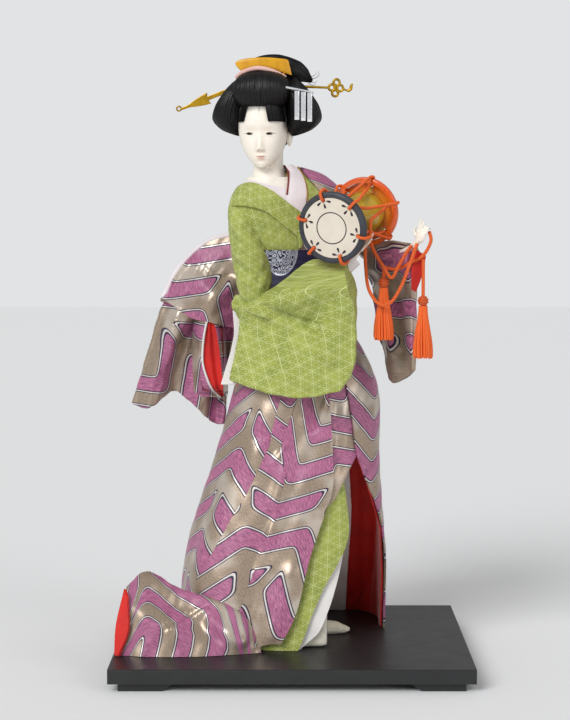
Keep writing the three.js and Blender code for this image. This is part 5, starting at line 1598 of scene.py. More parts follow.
SKIRT = Levels([
    (0.3, -4, 26, 94, 86, 86, 86, 3.2, 2.2), (40, -2, 24, 94, 83, 80, 82, 3, 2),
    (85, 2, 18, 90, 77, 68, 75, 2.7, 1.8), (157, 6, 12, 71, 69, 53, 55, 2.4, 1.5),
    (221, 8, 5, 56, 65, 39, 44, 2.3, 1.2), (270, 2, 2, 42, 48, 31, 34, 2.3, 0.8),
    (298, -2, 1.5, 33, 34, 26, 26, 2.3, 0.3), (318, -3, 1, 30.3, 30.3, 23.3, 23.3, 2.3, 0),
])


@dataclass
class Skirt:
    """The layers of the kimono from the waist to the hem, and what fills them."""

    hem: float = 0.3
    top: float = 318.0
    cloth: float = 1.5
    layer: float = 2.5
    right_edge: tuple = ((0, 0), (40, -5), (85, -14), (115, -23), (134, -30), (172, -40), (318, -40))
    front_edge: tuple = ((0, -96), (9, -93), (33, -86), (76, -80), (119, -69), (135, -64), (172, -62),
                         (318, -62))
    green_edge: tuple = ((0, -84), (10, -81), (30, -76), (55, -68), (89, -52), (103, -49), (145, -50),
                         (200, -52))
    white_edge: tuple = ((0, -82.5), (6, -78), (14, -71.5), (36, -64.5), (62, -58), (86, -52), (103, -52),
                         (200, -55))
    seam_line: tuple = ((0.3, -97), (50.3, -80.7), (87.1, -60.3), (113.4, -46.8), (130.3, -36.8),
                        (155.5, -25), (171.2, -18.8), (215, -8), (318, -6))
    tuck_line: tuple = ((0.3, -52), (34.1, -42.9), (51.7, -37.6), (86, -24), (111.8, -12), (129, -8.7),
                        (149.6, -3.5), (166.7, -10.3), (215, 6), (318, 4))
    folds: tuple = (
        Fold((12, 214), (19.5, 186), 4.5, -4.5), Fold((28, 210), (20.5, 186), 2.0, 1.6),
        Fold((-27.8, 182.6), (-12.6, 167.1), 7, -2.2), Fold((-60, 215), (-40, 190), 9, 2.0),
        Fold((-4, 158), (-22, 92), 6, 2.4), Fold((-16, 118), (-40, 60), 5, -2.0),
        Fold((14, 150), (-2, 60), 10, 2.6), Fold((-30, 60), (-44, 8), 7, -2.6),
        Fold((2, 70), (-20, 6), 8, 2.0), Fold((-48, 150), (-84, 52), 8, 2.2),
        Fold((-58, 170), (-92, 70), 5, -1.8), Fold((44, 205), (50, 140), 7, 1.8),
        Fold((38, 210), (40, 150), 4, -1.8), Fold((-20, 205), (-34, 150), 8, 1.8),
        Fold((4, 205), (0, 150), 6, -1.6),
    )

    def wave(self, degrees: Array, z: Array) -> Array:
        """The soft folds all round the skirt.

        Args:
            degrees: Headings round the body.
            z: Heights.

        Returns:
            How far they stand out.
        """
        angle = np.radians(degrees)
        lean = (self.top - z) / 90
        wave = 0.65 * np.sin(6 * angle + lean) + 0.35 * np.sin(9 * angle - 0.7 * lean)
        return SKIRT.at(z)["fold"] * (wave + 1)

    def angle(self, edge: tuple, z: Array, turn: float = 360.0) -> Array:
        """A panel edge's heading at heights z, counted on by a turn."""
        return Levels(edge).at(z)["x"] + turn

    def line(self, edge: tuple, z: Array) -> Array:
        """The heading at heights z of a line given by height and place from the front."""
        x = np.interp(z, [row[0] for row in edge], [row[1] for row in edge])
        return SKIRT.facing(x, z)

    def surface(self, start: Array, end: Array, z: Array, inset: float,
                relief: float = 1.0) -> tuple[Array, Array]:
        """A layer's points between two headings, and its cloth map.

        Args:
            start: The first headings.
            end: The last headings.
            z: Heights.
            inset: How far inside the outer layer it lies.
            relief: How much of the front's folds it shows.

        Returns:
            The points and the map.
        """
        share = np.linspace(0, 1, start.shape[0])[:, None]
        degrees = start + (end - start) * share
        plain = SKIRT.outline(degrees, z, self.wave(degrees, z) - inset)
        front = smooth(-np.sin(np.radians(degrees)), 0.1, 0.5)
        rise = relief * front * folded(self.folds, plain[..., 0], plain[..., 2]) + ripple(plain, 9, 0.25)
        points = SKIRT.outline(degrees, z, self.wave(degrees, z) - inset + rise * smooth(z, 0, 14))
        around = np.radians(degrees) * 62 + 0.12 * (self.top - z)
        return points, np.stack([around, plain[..., 2] + 0 * degrees], axis=-1)

    def panel(
        self, sewing: Sewing, start: Callable, end: Callable, low: Array | float, inset: float,
        turn: float = 0.0, shift: tuple[float, float] = (0, 0), high: float | None = None,
        steps: tuple[int, int] = (120, 150), relief: float = 1.0, thick: float | None = None,
    ) -> None:
        """Sews one panel of a layer.

        Args:
            sewing: What it is added to.
            start: Gives the first heading at heights.
            end: Gives the last heading at heights.
            low: The hem's height, or one for each step round.
            inset: How far inside the outer layer it lies.
            turn: The turn of its pattern, in degrees.
            shift: The shift of its pattern, in millimetres.
            high: The height of its top.
            steps: How many steps it has round and up.
            relief: How much of the front's folds it shows.
            thick: Its thickness.
        """
        high = self.top if high is None else high
        low = np.broadcast_to(np.asarray(low, float), (steps[0] + 1,))[:, None]
        rise = np.linspace(0, 1, steps[1] + 1)[None] ** 1.15
        z = low + (high - low) * rise
        points, uv = self.surface(start(z), end(z), z, inset, relief)
        inner = points - normals(points) * self.outward(points) * (self.cloth if thick is None else thick)
        sewing.slab(points, inner, turned(uv, turn, shift))

    def outward(self, points: Array) -> float:
        """1 where a grid's normals point away from the body, or else -1.

        Args:
            points: The grid.

        Returns:
            1 or -1.
        """
        middle = points[points.shape[0] // 2, points.shape[1] // 2]
        centre = SKIRT.at(np.array(middle[2]))
        away = middle - (float(centre["x"]), float(centre["y"]), middle[2])
        return float(np.sign(normals(points)[points.shape[0] // 2, points.shape[1] // 2] @ away))

    def kimono(self) -> Object:
        """The outer layer: three panels that overlap in front.

        Returns:
            The piece.
        """
        sewing = Sewing()
        self.panel(
            sewing, lambda z: self.angle(self.right_edge, z, 0.0), lambda z: self.line(self.seam_line, z) + 3,
            self.hem, 0.3, turn=4, steps=(250, 110),
        )
        self.panel(
            sewing, lambda z: self.line(self.seam_line, z), lambda z: self.line(self.tuck_line, z) + 2.5,
            self.hem, -0.9, turn=-14, shift=(17, 9), steps=(60, 150),
        )
        share = np.linspace(0, 1, 71)
        self.panel(
            sewing, lambda z: self.line(self.tuck_line, z), lambda z: self.angle(self.front_edge, z),
            self.hem + 7 * smooth(share, 0.3, 0.8), -1.9, turn=26, shift=(-8, 21), steps=(70, 150),
        )
        return sewing.made("kimono_skirt_cloth", BANDS)

    def inner(self) -> list[tuple[Object, str, str]]:
        """The layers seen in the front opening, each with its slot and its node.

        Returns:
            The layers from the outside in.
        """
        under, green, white = Sewing(), Sewing(), Sewing()
        share = np.linspace(0, 1, 61)
        self.panel(under, lambda z: 0 * z + 248, lambda z: 0 * z + 336, 118 + 46 * smooth(share, 0.45, 0.9),
                   self.layer, turn=-32, shift=(12, 4), high=247.0, steps=(60, 70), relief=0.6)
        self.panel(green, lambda z: 0 * z + 224, lambda z: self.angle(self.green_edge, z), self.hem,
                   2 * self.layer, turn=8, high=178.0, steps=(70, 90), relief=0.25)
        self.panel(white, lambda z: 0 * z + 232, lambda z: self.angle(self.white_edge, z), self.hem,
                   3 * self.layer + 1.5, high=178.0, steps=(60, 80), relief=0.2, thick=1.2)
        return [
            (under.made("kimono_under_cloth", BANDS), "purple_brocade", "kimono_under_panel"),
            (green.made("green_underskirt_cloth", GREEN), "green_brocade", "green_underskirt"),
            (white.made("white_underskirt_cloth", WHITE_CREPE), "white_silk", "white_underskirt"),
        ]

    def build(self) -> None:
        """Builds the skirt's layers and its filling."""
        outer = place_piece(self.kimono(), Body.BASE, ["kimono_skirt"])
        for (piece, slot, node), width in zip(self.inner(), (0.09, 0.08, 0.08)):
            place_piece(piece, Body.BASE, [node])
        red = remade("red_back_panel", "red_back_cloth", DEEP_RED_SILK, 0.7, 4, self.red_folds)
        white = remade("white_back_panel", "white_back_cloth", WHITE_CREPE, 0.5, 3)
        remade("skirt_wadding", "skirt_wadding_fill", WADDING, 3.0, 6)

    def red_folds(self, points: Array, normal: Array) -> Array:
        """Soft upright folds of the red silk behind the opening."""
        wave = 0.5 * np.sin(points[:, 0] * 0.55 + points[:, 2] * 0.012) * smooth(points[:, 2], 4, 30)
        return normal * wave[:, None] * np.array([0.2, 1, 0.2])


@dataclass
class Feet:
    """The wrapped legs and the tabi."""

    def build(self) -> None:
        """Builds the legs and feet."""
        for side in ("left", "right"):
            remade(f"leg_{side}", f"leg_{side}_wrapped", WRAPPED, 1.4, 4)
            remade(f"tabi_{side}", f"tabi_{side}_cloth", TABI, 0.45, 14)


@dataclass
class Bodices:
    """Core, collars, bodices and obi."""

    green_over: float = 0.9
    purple_over: float = 2.7
    shell_thick: float = 1.3
    obi_thick: float = 2.3
    white_upper: tuple = ((-38.5, 396.6), (-35.5, 397.2), (-29, 395.4), (-22.2, 393.6), (-13.1, 391.9),
                          (-4, 388.5), (2.9, 382.5), (8, 374))
    white_lower: tuple = ((-44, 388), (-40, 389.5), (-33, 389), (-27, 386.5), (-17, 381), (-6, 373), (2, 367),
                          (8, 362))
    right_inner: tuple = ((-5.5, 409.5), (-2.6, 404.5), (-2.7, 397.5), (-3.2, 391), (-3.9, 385), (-4.6, 379),
                          (-4.6, 369))
    right_outer: tuple = ((-0.5, 410.5), (6, 405.5), (10.2, 398.2), (12, 391.2), (12.2, 385.5), (11.4, 376.4),
                          (10, 366))
    green_edge: tuple = ((-62, 376), (-50.8, 387.8), (-46.3, 391.3), (-42.9, 393.2), (-38.2, 394.6),
                         (-31.3, 394.2), (-25.6, 392.2), (-15.3, 386.6), (-4, 378.1), (7.4, 369.6), (12, 366))
    seam: tuple = ((-51.5, 375.9), (-42.5, 375.8), (-34.5, 374.7), (-26.6, 372.7), (-19.8, 369.6),
                   (-6.2, 358.3), (5.1, 348.6), (6, 340))
    trim_line: tuple = ((5.4, 408.8), (10.6, 398.2), (12.4, 391.2), (13.1, 384.4), (13.2, 377.6), (12.4, 366),
                        (10.5, 355), (8.2, 341))
    purple_line: tuple = ((8.1, 407.7), (14.4, 399.4), (20.1, 392.5), (24.6, 387.3), (20, 375), (16, 366))
    back_rail: tuple = ((-2.6, -8, 404), (-3.5, 1, 408.5), (-8, 10, 410), (-20, 16.5, 406.5),
                        (-31, 12.5, 401), (-36.5, 3, 398), (-37, -6, 397), (-34, -11.5, 396.6))
    back_foot: tuple = ((8, -10, 401), (8.5, 1, 402), (3, 13, 401), (-18, 21, 397.5), (-38, 16.5, 391),
                        (-45, 4, 388.5), (-45.5, -7, 388), (-42, -13, 387.5))

    def between(self, first: Sequence, last: Sequence, over: float, lift: float, steps: int = 18) -> Array:
        """Points on the front of the torso between two lines.

        Args:
            first: The first line, as place and height pairs seen from the front.
            last: The last line, likewise.
            over: How far outside the torso the points lie.
            lift: How far the middle between the lines rises.
            steps: How many steps there are from line to line.

        Returns:
            A grid of points.
        """
        u, v = grid(110, steps)
        flat = ruled(first, last, u, v)
        middle = TORSO.front(flat[..., 0], flat[..., 2], over)
        rounding = lift * np.sqrt(np.clip(1 - (2 * v - 1) ** 4, 0, 1))
        return middle + self.away(middle) * rounding[..., None]

    def collar(self) -> Object:
        """The white under-collar: the back of the neck and the two bands that cross at the breast.

        Returns:
            The piece.
        """
        sewing = Sewing()
        u, v = grid(90, 10)
        rail, foot = catmull(self.back_rail, u), catmull(self.back_foot, u)
        back = rail + (foot - rail) * v[..., None]
        sewing.cloth(back, 0.55)
        sewing.cloth(self.between(self.white_upper, self.white_lower, 0.3, 0.35), 0.55)
        sewing.cloth(self.between(self.right_inner, self.right_outer, 1.7, 0.4), 0.6)
        inner = [(x + 2.4, z) for x, z in self.right_inner]
        sewing.cloth(self.between(inner, self.right_outer, 2.5, 0.3), 0.5)
        return sewing.made("under_collar_cloth", WHITE_SILK)

    def chest(self) -> Object:
        """The skin-coloured breast that shows inside the collar.

        Returns:
            The piece.
        """
        degrees, z = ring_grid(120, 368, 400, 30)
        sewing = Sewing()
        sewing.slab(TORSO.outline(degrees, z, -0.2), TORSO.outline(degrees, z, -1.2), close_u=True)
        return sewing.made("chest_shell_paste", PASTE)

    def shell(
        self, body: Levels, over: float, keep: Callable[[Array], Array], heights: tuple[float, float],
        name: str, finish: Finish,
    ) -> Object:
        """A shell over the torso that keeps the faces that a rule picks.

        Args:
            body: The torso's outlines.
            over: How far outside them it lies.
            keep: Says of face centres, in millimetres, whether they stay.
            heights: The heights of its lower and upper edge.
            name: The piece's name.
            finish: Its finish.

        Returns:
            The piece.
        """
        around, steps = 220, 130
        degrees, z = ring_grid(around, *heights, steps + 1)
        outer = body.outline(degrees, z, over)
        outer = outer + ripple(outer, 7, 0.2)[..., None] * self.away(outer)
        inner = outer - self.away(outer) * self.shell_thick
        uv = np.stack([np.radians(degrees) * 34, z], axis=-1)
        sewing = Sewing()
        sewing.slab(outer, inner, uv, close_u=True)
        count = around * (steps + 1)
        cells = np.array(sewing.faces[: around * steps])
        cells = cells[keep(outer.reshape(-1, 3)[cells].mean(1))]
        sides = {(a, b) for cell in cells for a, b in zip(cell, np.roll(cell, -1))}
        rim = [(b, a, a + count, b + count) for a, b in sides if (b, a) not in sides]
        sewing.faces = [tuple(f) for f in cells] + [tuple(f[::-1] + count) for f in cells] + rim
        return sewing.made(name, finish)

    def away(self, points: Array) -> Array:
        """Level directions away from the torso's middle.

        Args:
            points: The points.

        Returns:
            One direction for each point.
        """
        level = TORSO.at(points[..., 2])
        out = np.stack([points[..., 0] - level["x"], points[..., 1] - level["y"], 0 * points[..., 2]],
                       axis=-1)
        return out / np.maximum(np.linalg.norm(out, axis=-1, keepdims=True), 1e-6)

    def band(self, upper: Sequence, lower: Sequence, over: float, name: str, turn: float) -> Object:
        """A green collar band that lies on the front of the torso.

        Args:
            upper: Its upper edge as place and height pairs seen from the front.
            lower: Its lower edge, likewise.
            over: How far outside the torso it lies.
            name: The piece's name.
            turn: The turn of its pattern, in degrees.

        Returns:
            The piece.
        """
        middle = self.between(upper, lower, over, 0.7)
        sewing = Sewing()
        sewing.cloth(middle, 0.6, turned(lengths(middle), turn))
        return sewing.made(name, GREEN)

    def edge(self, line: Sequence, over: float, count: int = 90) -> Array:
        """Points along a line on the front of the torso."""
        x, z = spaced([(a, 0, b) for a, b in line], count)[:, [0, 2]].T
        return TORSO.front(x, z, over)

    def build(self) -> None:
        """Builds the figure's clothes above the waist."""
        remade("body_core", "body_core_wool", WOOD_WOOL, 1.6, 3)
        place_piece(self.chest(), Body.BASE)
        place_piece(self.collar(), Body.BASE, ["under_collar"])
        inner = self.edge(self.right_inner[1:5], 2.6, 40)
        inner[:, 0] -= 0.3
        line = spaced(np.concatenate([inner[::-1], np.array(self.back_rail)[2:5] + (0, -0.8, 0)]), 90)
        piping = RopeMaker(SHADED_RED_TRIM).lay(line, 0.8, "collar_piping_cord", 3.0, 0.5)
        place_piece(piping, Body.BASE, ["collar_piping"])
        edge_x, edge_z = np.array(self.green_edge).T
        trim_x, trim_z = np.array(self.trim_line).T
        part_x, part_z = np.array(self.purple_line).T

        def green_stays(p: Array) -> Array:
            """Everything but the neck opening and what the collar covers.

            Args:
                p: Points.

            Returns:
                Whether each point stays.
            """
            x, y, z = p.T
            lapel = x > np.interp(z, trim_z[::-1], trim_x[::-1]) - 0.5
            front = np.where(x < 7.4, z < np.interp(x, edge_x, edge_z), lapel | (z < 366))
            back = z < np.clip(394 + 0.4 * (x + 40), 388, 404)
            return np.where(y < -6, front, back)

        def purple_stays(p: Array) -> Array:
            """The left side, and the back from its right edge on.

            Args:
                p: Points.

            Returns:
                Whether each point stays.
            """
            x, y, z = p.T
            front = x > np.interp(z, [300, 345, 366, 375, 387.3, 392.5, 399.4, 407.7],
                                  [4, 6, 12, 17, 24.6, 20.1, 14.4, 8.1])
            back = x > np.interp(z, [300, 345, 385, 400, 409], [-30, -30, -10, -2, 4])
            return np.where(y < -4, front, back)

        green = self.shell(TORSO, self.green_over, green_stays, (303, 410), "green_bodice_cloth", GREEN)
        place_piece(green, Body.BASE, ["green_bodice"])
        purple = self.shell(SHOULDER, self.purple_over, purple_stays, (319, 408.5), "kimono_bodice_cloth",
                            BANDS)
        place_piece(purple, Body.BASE, ["kimono_bodice"])
        upper = [(x, z + 0.3) for x, z in self.green_edge[1:]] + [(10, 352), (8, 340)]
        place_piece(self.band(upper, self.seam, 3.0, "green_collar_band", 20), Body.BASE)
        place_piece(self.band(self.trim_line[:6], self.purple_line, 1.7, "green_right_lapel", -35), Body.BASE)
        twist = RopeMaker(GOLD_TRIM).lay(self.edge(self.trim_line, 2.8), 0.75, "lapel_twisted_trim", 2.4, 0.5)
        place_piece(twist, Body.BASE)
        # Painted shade along the purple bodice's edge over the lapel, laid as a dark cord.
        seam = RopeMaker(PAINTED_SHADE_CORD).lay(self.edge(self.purple_line[:5], 3.4, 60), 0.5, "lapel_dark_piping",
                                        3.0, 0.6)
        place_piece(seam, Body.BASE)
        self.obi()

    def obi(self) -> None:
        """The obi round the waist, and its knot behind."""
        degrees, z = ring_grid(180, 301, 338, 45)
        over = np.interp(z, [301, 318, 338], [10.2, 6.4, 6.0])
        waist = np.minimum(np.maximum(z, 320), 338)
        inner = CORE.outline(degrees, waist, over)
        outer = CORE.outline(degrees, waist, over + self.obi_thick + 0.35 * np.sin((z - 301) * 0.55) ** 2)
        inner[..., 2], outer[..., 2] = z, z
        uv = np.stack([np.radians(degrees - 248) * 36, z - 308], axis=-1)
        sewing = Sewing()
        sewing.slab(outer, inner, uv, close_u=True)
        obi = place_piece(sewing.made("obi_cloth", NAVY), Body.BASE, ["obi"])

        def knot_folds(points: Array, normal: Array) -> Array:
            """Turned folds across the knot's back.

            Args:
                points: Points of the knot.
                normal: Their normals.

            Returns:
                Each point's move.
            """
            wave = -1.1 * bell(points[:, 2] - 309, 1.6) - 0.8 * bell(points[:, 2] - 333, 1.4)
            pull = -0.9 * bell(points[:, 0] + 3, 2.2) * smooth(points[:, 2], 315, 345)
            return normal * (wave + pull + ripple(points, 6, 0.2))[:, None]

        remade("obi_knot", "obi_knot_cloth", NAVY, 1.0, 10, knot_folds,
               lambda p: np.stack([p[:, 0], p[:, 2] - 322 + 0.5 * p[:, 1]], axis=-1))


@dataclass
class Sleeves:
    """The three sleeves with their linings and the cuff."""

    green_folds: tuple = (
        Fold((-26, 303), (22, 337), 3.0, 2.0, True), Fold((-29, 292), (22, 273), 3.0, -4.6),
        Fold((-26, 284), (18, 268), 5, 2.4), Fold((-20, 296), (30, 300), 9, 2.6),
        Fold((44, 296), (30, 246), 10, 3.4), Fold((30, 300), (6, 262), 6, -2.6),
        Fold((-36, 276), (-44, 232), 9, 2.2), Fold((-6, 262), (10, 224), 12, 2.4),
        Fold((-20, 250), (-26, 226), 7, -1.6), Fold((-40, 342), (-22, 318), 5, -2.0),
        Fold((-47, 330), (-28, 308), 4.5, 1.8), Fold((-50, 320), (-34, 300), 4, -1.8),
        Fold((-44, 366), (-28, 356), 5, 1.4), Fold((-30, 372), (-24, 340), 3.5, -2.2),
    )
    left_folds: tuple = (
        Fold((76, 330), (84, 250), 7, 2.4), Fold((86, 320), (94, 246), 5, -2.2),
        Fold((96, 322), (99, 250), 5, 2.0), Fold((74, 300), (78, 256), 4, -2.0),
        Fold((60, 350), (80, 330), 6, 1.8),
    )
    slip_folds: tuple = (
        Fold((-60, 318), (-112, 262), 8, 3.0), Fold((-46, 300), (-98, 250), 6, -2.6),
        Fold((-80, 300), (-128, 218), 7, 2.8), Fold((-50, 268), (-84, 262), 5, 2.8),
        Fold((-96, 262), (-110, 222), 6, -2.6), Fold((-84, 250), (-92, 205), 6, 2.4),
        Fold((-66, 245), (-70, 192), 5, -2.0),
    )
    leaf_left: tuple = ((-73.5, 279), (-77, 262), (-78.3, 240), (-75.5, 228), (-70, 215), (-63.5, 207))
    leaf_right: tuple = ((-71.5, 279), (-67.5, 271), (-64, 253), (-61.8, 232), (-60.5, 215), (-60.5, 208))
    swag_top: tuple = ((-43, 352.8), (-56, 351), (-67, 348.4), (-78, 343.2), (-89, 334.4), (-98.5, 324),
                       (-106.4, 311.8), (-112, 300.4), (-117, 293))
    swag_foot: tuple = ((-43, 267.3), (-56.7, 270), (-69, 273.5), (-75.3, 275), (-88, 277), (-97.7, 282),
                        (-104.6, 287.5), (-110.7, 290.5), (-116.4, 291))
    swag_folds: tuple = (
        Fold((-60, 335), (-104, 292), 6, 2.6), Fold((-52, 318), (-92, 288), 5, -2.4),
        Fold((-50, 306), (-82, 284), 6, 2.4), Fold((-86, 330), (-112, 296), 4, -1.8),
        Fold((-48, 290), (-70, 279), 4, -1.8),
    )
    mouth_past: tuple[float, float] = (6, 3)
    mouth_drop: float = 14.0
    mouth_depth: float = 18.5
    mouth_turn: float = -38.0
    mouth_shift: tuple[float, float] = (4, 18)
    lining_back: float = 12.0
    edge_radius: float = 1.0
    piping_radius: float = 2.3
    arm_path: tuple = ((-34, 0, 391), (-40, -5, 382), (-41, -10, 366), (-39.5, -15, 350), (-35, -19, 330),
                       (-32, -21, 312), (-31, -22, 298), (-29, -23, 287))
    arm_radii: tuple = (7, 12.6, 14, 14, 16.5, 15.8, 13.0, 5)
    arm_folds: tuple = (
        Fold((-52, 348), (-30, 336), 3.2, -2.0), Fold((-50, 336), (-24, 324), 3.5, 1.8),
        Fold((-50, 326), (-26, 313), 3.2, -2.2), Fold((-46, 314), (-24, 306), 3.5, 1.6),
        Fold((-47, 368), (-42, 345), 5, 1.6), Fold((-36, 372), (-30, 350), 4, -1.6),
    )

    def arm(self) -> Object:
        """The upper arm's cloth, from the shoulder to the bent elbow.

        Returns:
            The piece.
        """
        share = np.linspace(0, 1, 120)
        path = catmull(self.arm_path, share)
        radii = np.interp(share, np.linspace(0, 1, len(self.arm_radii)), self.arm_radii)
        radii = radii * np.sqrt(np.clip(np.minimum(share, 1 - share) * 16, 0, 1))
        angle = np.linspace(0, 2 * np.pi, 121)[:-1]
        ring = np.stack([np.cos(angle), np.sin(angle), 0 * angle], axis=-1)
        points = path[:, None] + radii[:, None, None] * ring
        facing = smooth(-ring[:, 1], 0.05, 0.6)[None]
        rise = folded(self.arm_folds, points[..., 0], points[..., 2]) * facing + ripple(points, 6, 0.35)
        points = points + ring * rise[..., None]
        uv = np.stack([np.broadcast_to(angle * 15, points.shape[:2]), points[..., 2]], axis=-1)
        sewing = Sewing()
        sewing.wall(points, turned(uv, 24), close_v=True)
        return sewing.made("green_upper_sleeve_cloth", GREEN)

    def front_relief(self, folds: tuple, ripples: float) -> Callable[[Array, Array], Array]:
        """Moves the points that face the front by a set of folds.

        Args:
            folds: The folds.
            ripples: The height of its unevenness, in millimetres.

        Returns:
            What gives each point's move.
        """
        def move(points: Array, normal: Array) -> Array:
            """Each point's move.

            Args:
                points: Points of the cloth.
                normal: Their normals.

            Returns:
                The moves.
            """
            facing = smooth(-normal[:, 1], 0.05, 0.6)
            rise = folded(folds, points[:, 0], points[:, 2]) * facing + ripple(points, 7, ripples)
            return normal * rise[:, None]
        return move

    def build(self) -> None:
        """Builds the sleeves."""
        def green_map(p: Array) -> Array:
            """The lattice turns with the cloth from the arm to the bag.

            Args:
                p: Points.

            Returns:
                The cloth map.
            """
            share = smooth(p[:, 2], 300, 345)[:, None]
            bag = turned(np.stack([p[:, 0] + 0.5 * p[:, 1], p[:, 2]], axis=-1), 8)
            arm = turned(np.stack([p[:, 0] + 0.8 * p[:, 1], p[:, 2]], axis=-1), 24)
            return bag * (1 - share) + arm * share

        remade("green_sleeve", "green_sleeve_cloth", GREEN, 0.95, 12,
               self.front_relief(self.green_folds, 0.3), green_map)
        place_piece(self.arm(), Body.BASE)
        remade("green_sleeve_lining", "green_sleeve_lining_cloth", WHITE_CREPE, 0.4, 2)
        remade("white_cuff", "white_cuff_cloth", WHITE_CREPE, 0.4, 6)

        def left_map(p: Array) -> Array:
            """The bands run up and across the left sleeve."""
            return turned(np.stack([p[:, 0] + 0.9 * p[:, 1], p[:, 2]], axis=-1), 62, (5, 12))

        remade("purple_sleeve", "purple_sleeve_cloth", BANDS, 1.0, 10,
               self.front_relief(self.left_folds, 0.35), left_map)
        remade("purple_sleeve_lining", "purple_sleeve_lining_cloth", RED_SILK, 0.4, 6)

        def slip_map(p: Array) -> Array:
            """The bands hang down the slipped sleeve."""
            return turned(np.stack([p[:, 0] + 0.3 * p[:, 1], p[:, 2]], axis=-1), self.mouth_turn,
                          self.mouth_shift)

        remade("slipped_sleeve", "slipped_sleeve_cloth", BANDS, 0.95, 8,
               self.front_relief(self.slip_folds, 0.35), slip_map)
        remade("slipped_sleeve_lining", "slipped_sleeve_lining_cloth", RED_SILK, 0.8, 6,
               self.lining_move)
        for piece, slot in self.opening() + self.swag():
            place_piece(piece, Body.BASE)

    def opening(self) -> list[tuple[Object, str]]:
        """The red leaf-shaped opening of the slipped sleeve, its white edge and the cloth beside it.

        Returns:
            The pieces, each with its slot.
        """
        low, high = node_box("slipped_sleeve_lining")
        front = low[1] - 1.2
        u, v = grid(80, 24)
        left, right = (catmull([(x, 0, z) for x, z in line], u) for line in (self.leaf_left, self.leaf_right))
        red = left + (right - left) * v[..., None]
        drop = self.mouth_drop * smooth(u, 0.72, 1.0)
        red[..., 1] = front + drop + 1.2 - 1.2 * np.abs(2 * v - 1) ** 3
        red[..., 1] += 1.2 * np.sin(9 * v + 2 * u) * np.sin(np.pi * v)
        leaf = Sewing()
        leaf.slab(red, red + (0, 1.0, 0))
        edge = Sewing()
        rim = left[:, 0].copy()
        rim[:, 1] = front + drop[:, 0] - 0.3
        edge.tube(spaced(rim[::8], 80), self.edge_radius, 12)
        flaps = Sewing()
        for line, far in ((left[:, 0], low[0] - self.mouth_past[0]),
                          (right[:, 0], high[0] + self.mouth_past[1])):
            side = np.stack([np.full(len(line), far), 0 * line[:, 0], line[:, 2]], axis=-1)
            flap = line[:, None] + (side - line)[:, None] * v[..., None]
            flap[..., 1] = front + drop - 0.6 - 0.6 * np.sin(np.pi * v) * np.sin(6 * u)
            flap[..., 1] += (self.sleeve_front(flap) + 3.0 - front - drop) * v**1.5
            flaps.slab(flap, flap + (0, 1.2, 0), turned(flap[..., [0, 2]], self.mouth_turn, self.mouth_shift))
        return [
            (leaf.made("slipped_sleeve_red_fold", RED_SILK), "red_silk"),
            (edge.made("slipped_sleeve_white_edge", WHITE_CREPE), "white_silk"),
            (flaps.made("slipped_sleeve_mouth_cloth", BANDS), "purple_brocade"),
        ]

    def sleeve_front(self, flat: Array) -> Array:
        """The slipped sleeve's foremost y at each point of a grid, evened out.

        Args:
            flat: The grid, at any depth.

        Returns:
            The depth at each point.
        """
        cad = positions(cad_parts["slipped_sleeve"].data)
        tree = search_tree(cad * (1, 0, 1))
        n, m = flat.shape[:2]
        rows, columns = np.arange(0, n, 4), np.arange(0, m, 4)
        near = np.array([[min(cad[k][1] for _, k, _ in tree.find_n((flat[i, j, 0], 0, flat[i, j, 2]), 14))
                          for j in columns] for i in rows])
        for _ in range(6):
            wide = np.pad(near, 1, mode="edge")
            near = (wide[:-2, 1:-1] + wide[2:, 1:-1] + wide[1:-1, :-2] + wide[1:-1, 2:]) / 4
        part = np.stack([np.interp(np.arange(n), rows, near[:, k]) for k in range(len(columns))], axis=1)
        return np.stack([np.interp(np.arange(m), columns, part[k]) for k in range(n)])

    def swag(self) -> list[tuple[Object, str]]:
        """The upper swag of the slipped sleeve, folded over its opening, and its pale piped edge.

        Returns:
            The pieces, each with its slot.
        """
        u, v = grid(128, 68)
        flat = ruled(self.swag_top, self.swag_foot, u, v)
        depth = self.sleeve_front(flat)
        over_mouth = bell(flat[..., 0] + 71, 16) * smooth(-flat[..., 2], -322, -300)
        depth = depth + (np.minimum(depth, self.mouth_depth) - depth) * over_mouth
        rise = 1.5 + 6.5 * np.sin(np.pi * np.clip(0.05 + 0.8 * v, 0, 1)) ** 0.7 * (1 - 0.75 * u**3)
        rise = rise + folded(self.swag_folds, flat[..., 0], flat[..., 2]) * np.sin(np.pi * v) ** 0.5
        outer, inner = flat.copy(), flat.copy()
        outer[..., 1] = depth - rise - ripple(flat, 7, 0.35)
        inner[..., 1] = depth + 4.5 - 3.0 * v
        inner[..., 2] += 2.5 * v**6
        cloth = Sewing()
        cloth.slab(outer, inner, turned(flat[..., [0, 2]], 34, (20, -6)))
        edge = Sewing()
        rim = outer[:, 0] + (0, 1.2, -1.0)
        edge.tube(spaced(rim[::10], 100), self.piping_radius, 14, 0.9)
        return [
            (cloth.made("slipped_sleeve_swag_cloth", BANDS), "purple_brocade"),
            (edge.made("slipped_sleeve_piped_edge", WHITE_SILK), "white_silk"),
        ]

    def lining_move(self, points: Array, normal: Array) -> Array:
        """Draws the lining's front back behind the red fold."""
        facing = smooth(-normal[:, 1], 0.3, 0.8)
        return np.array([0, 1, 0]) * (self.lining_back * facing)[:, None]


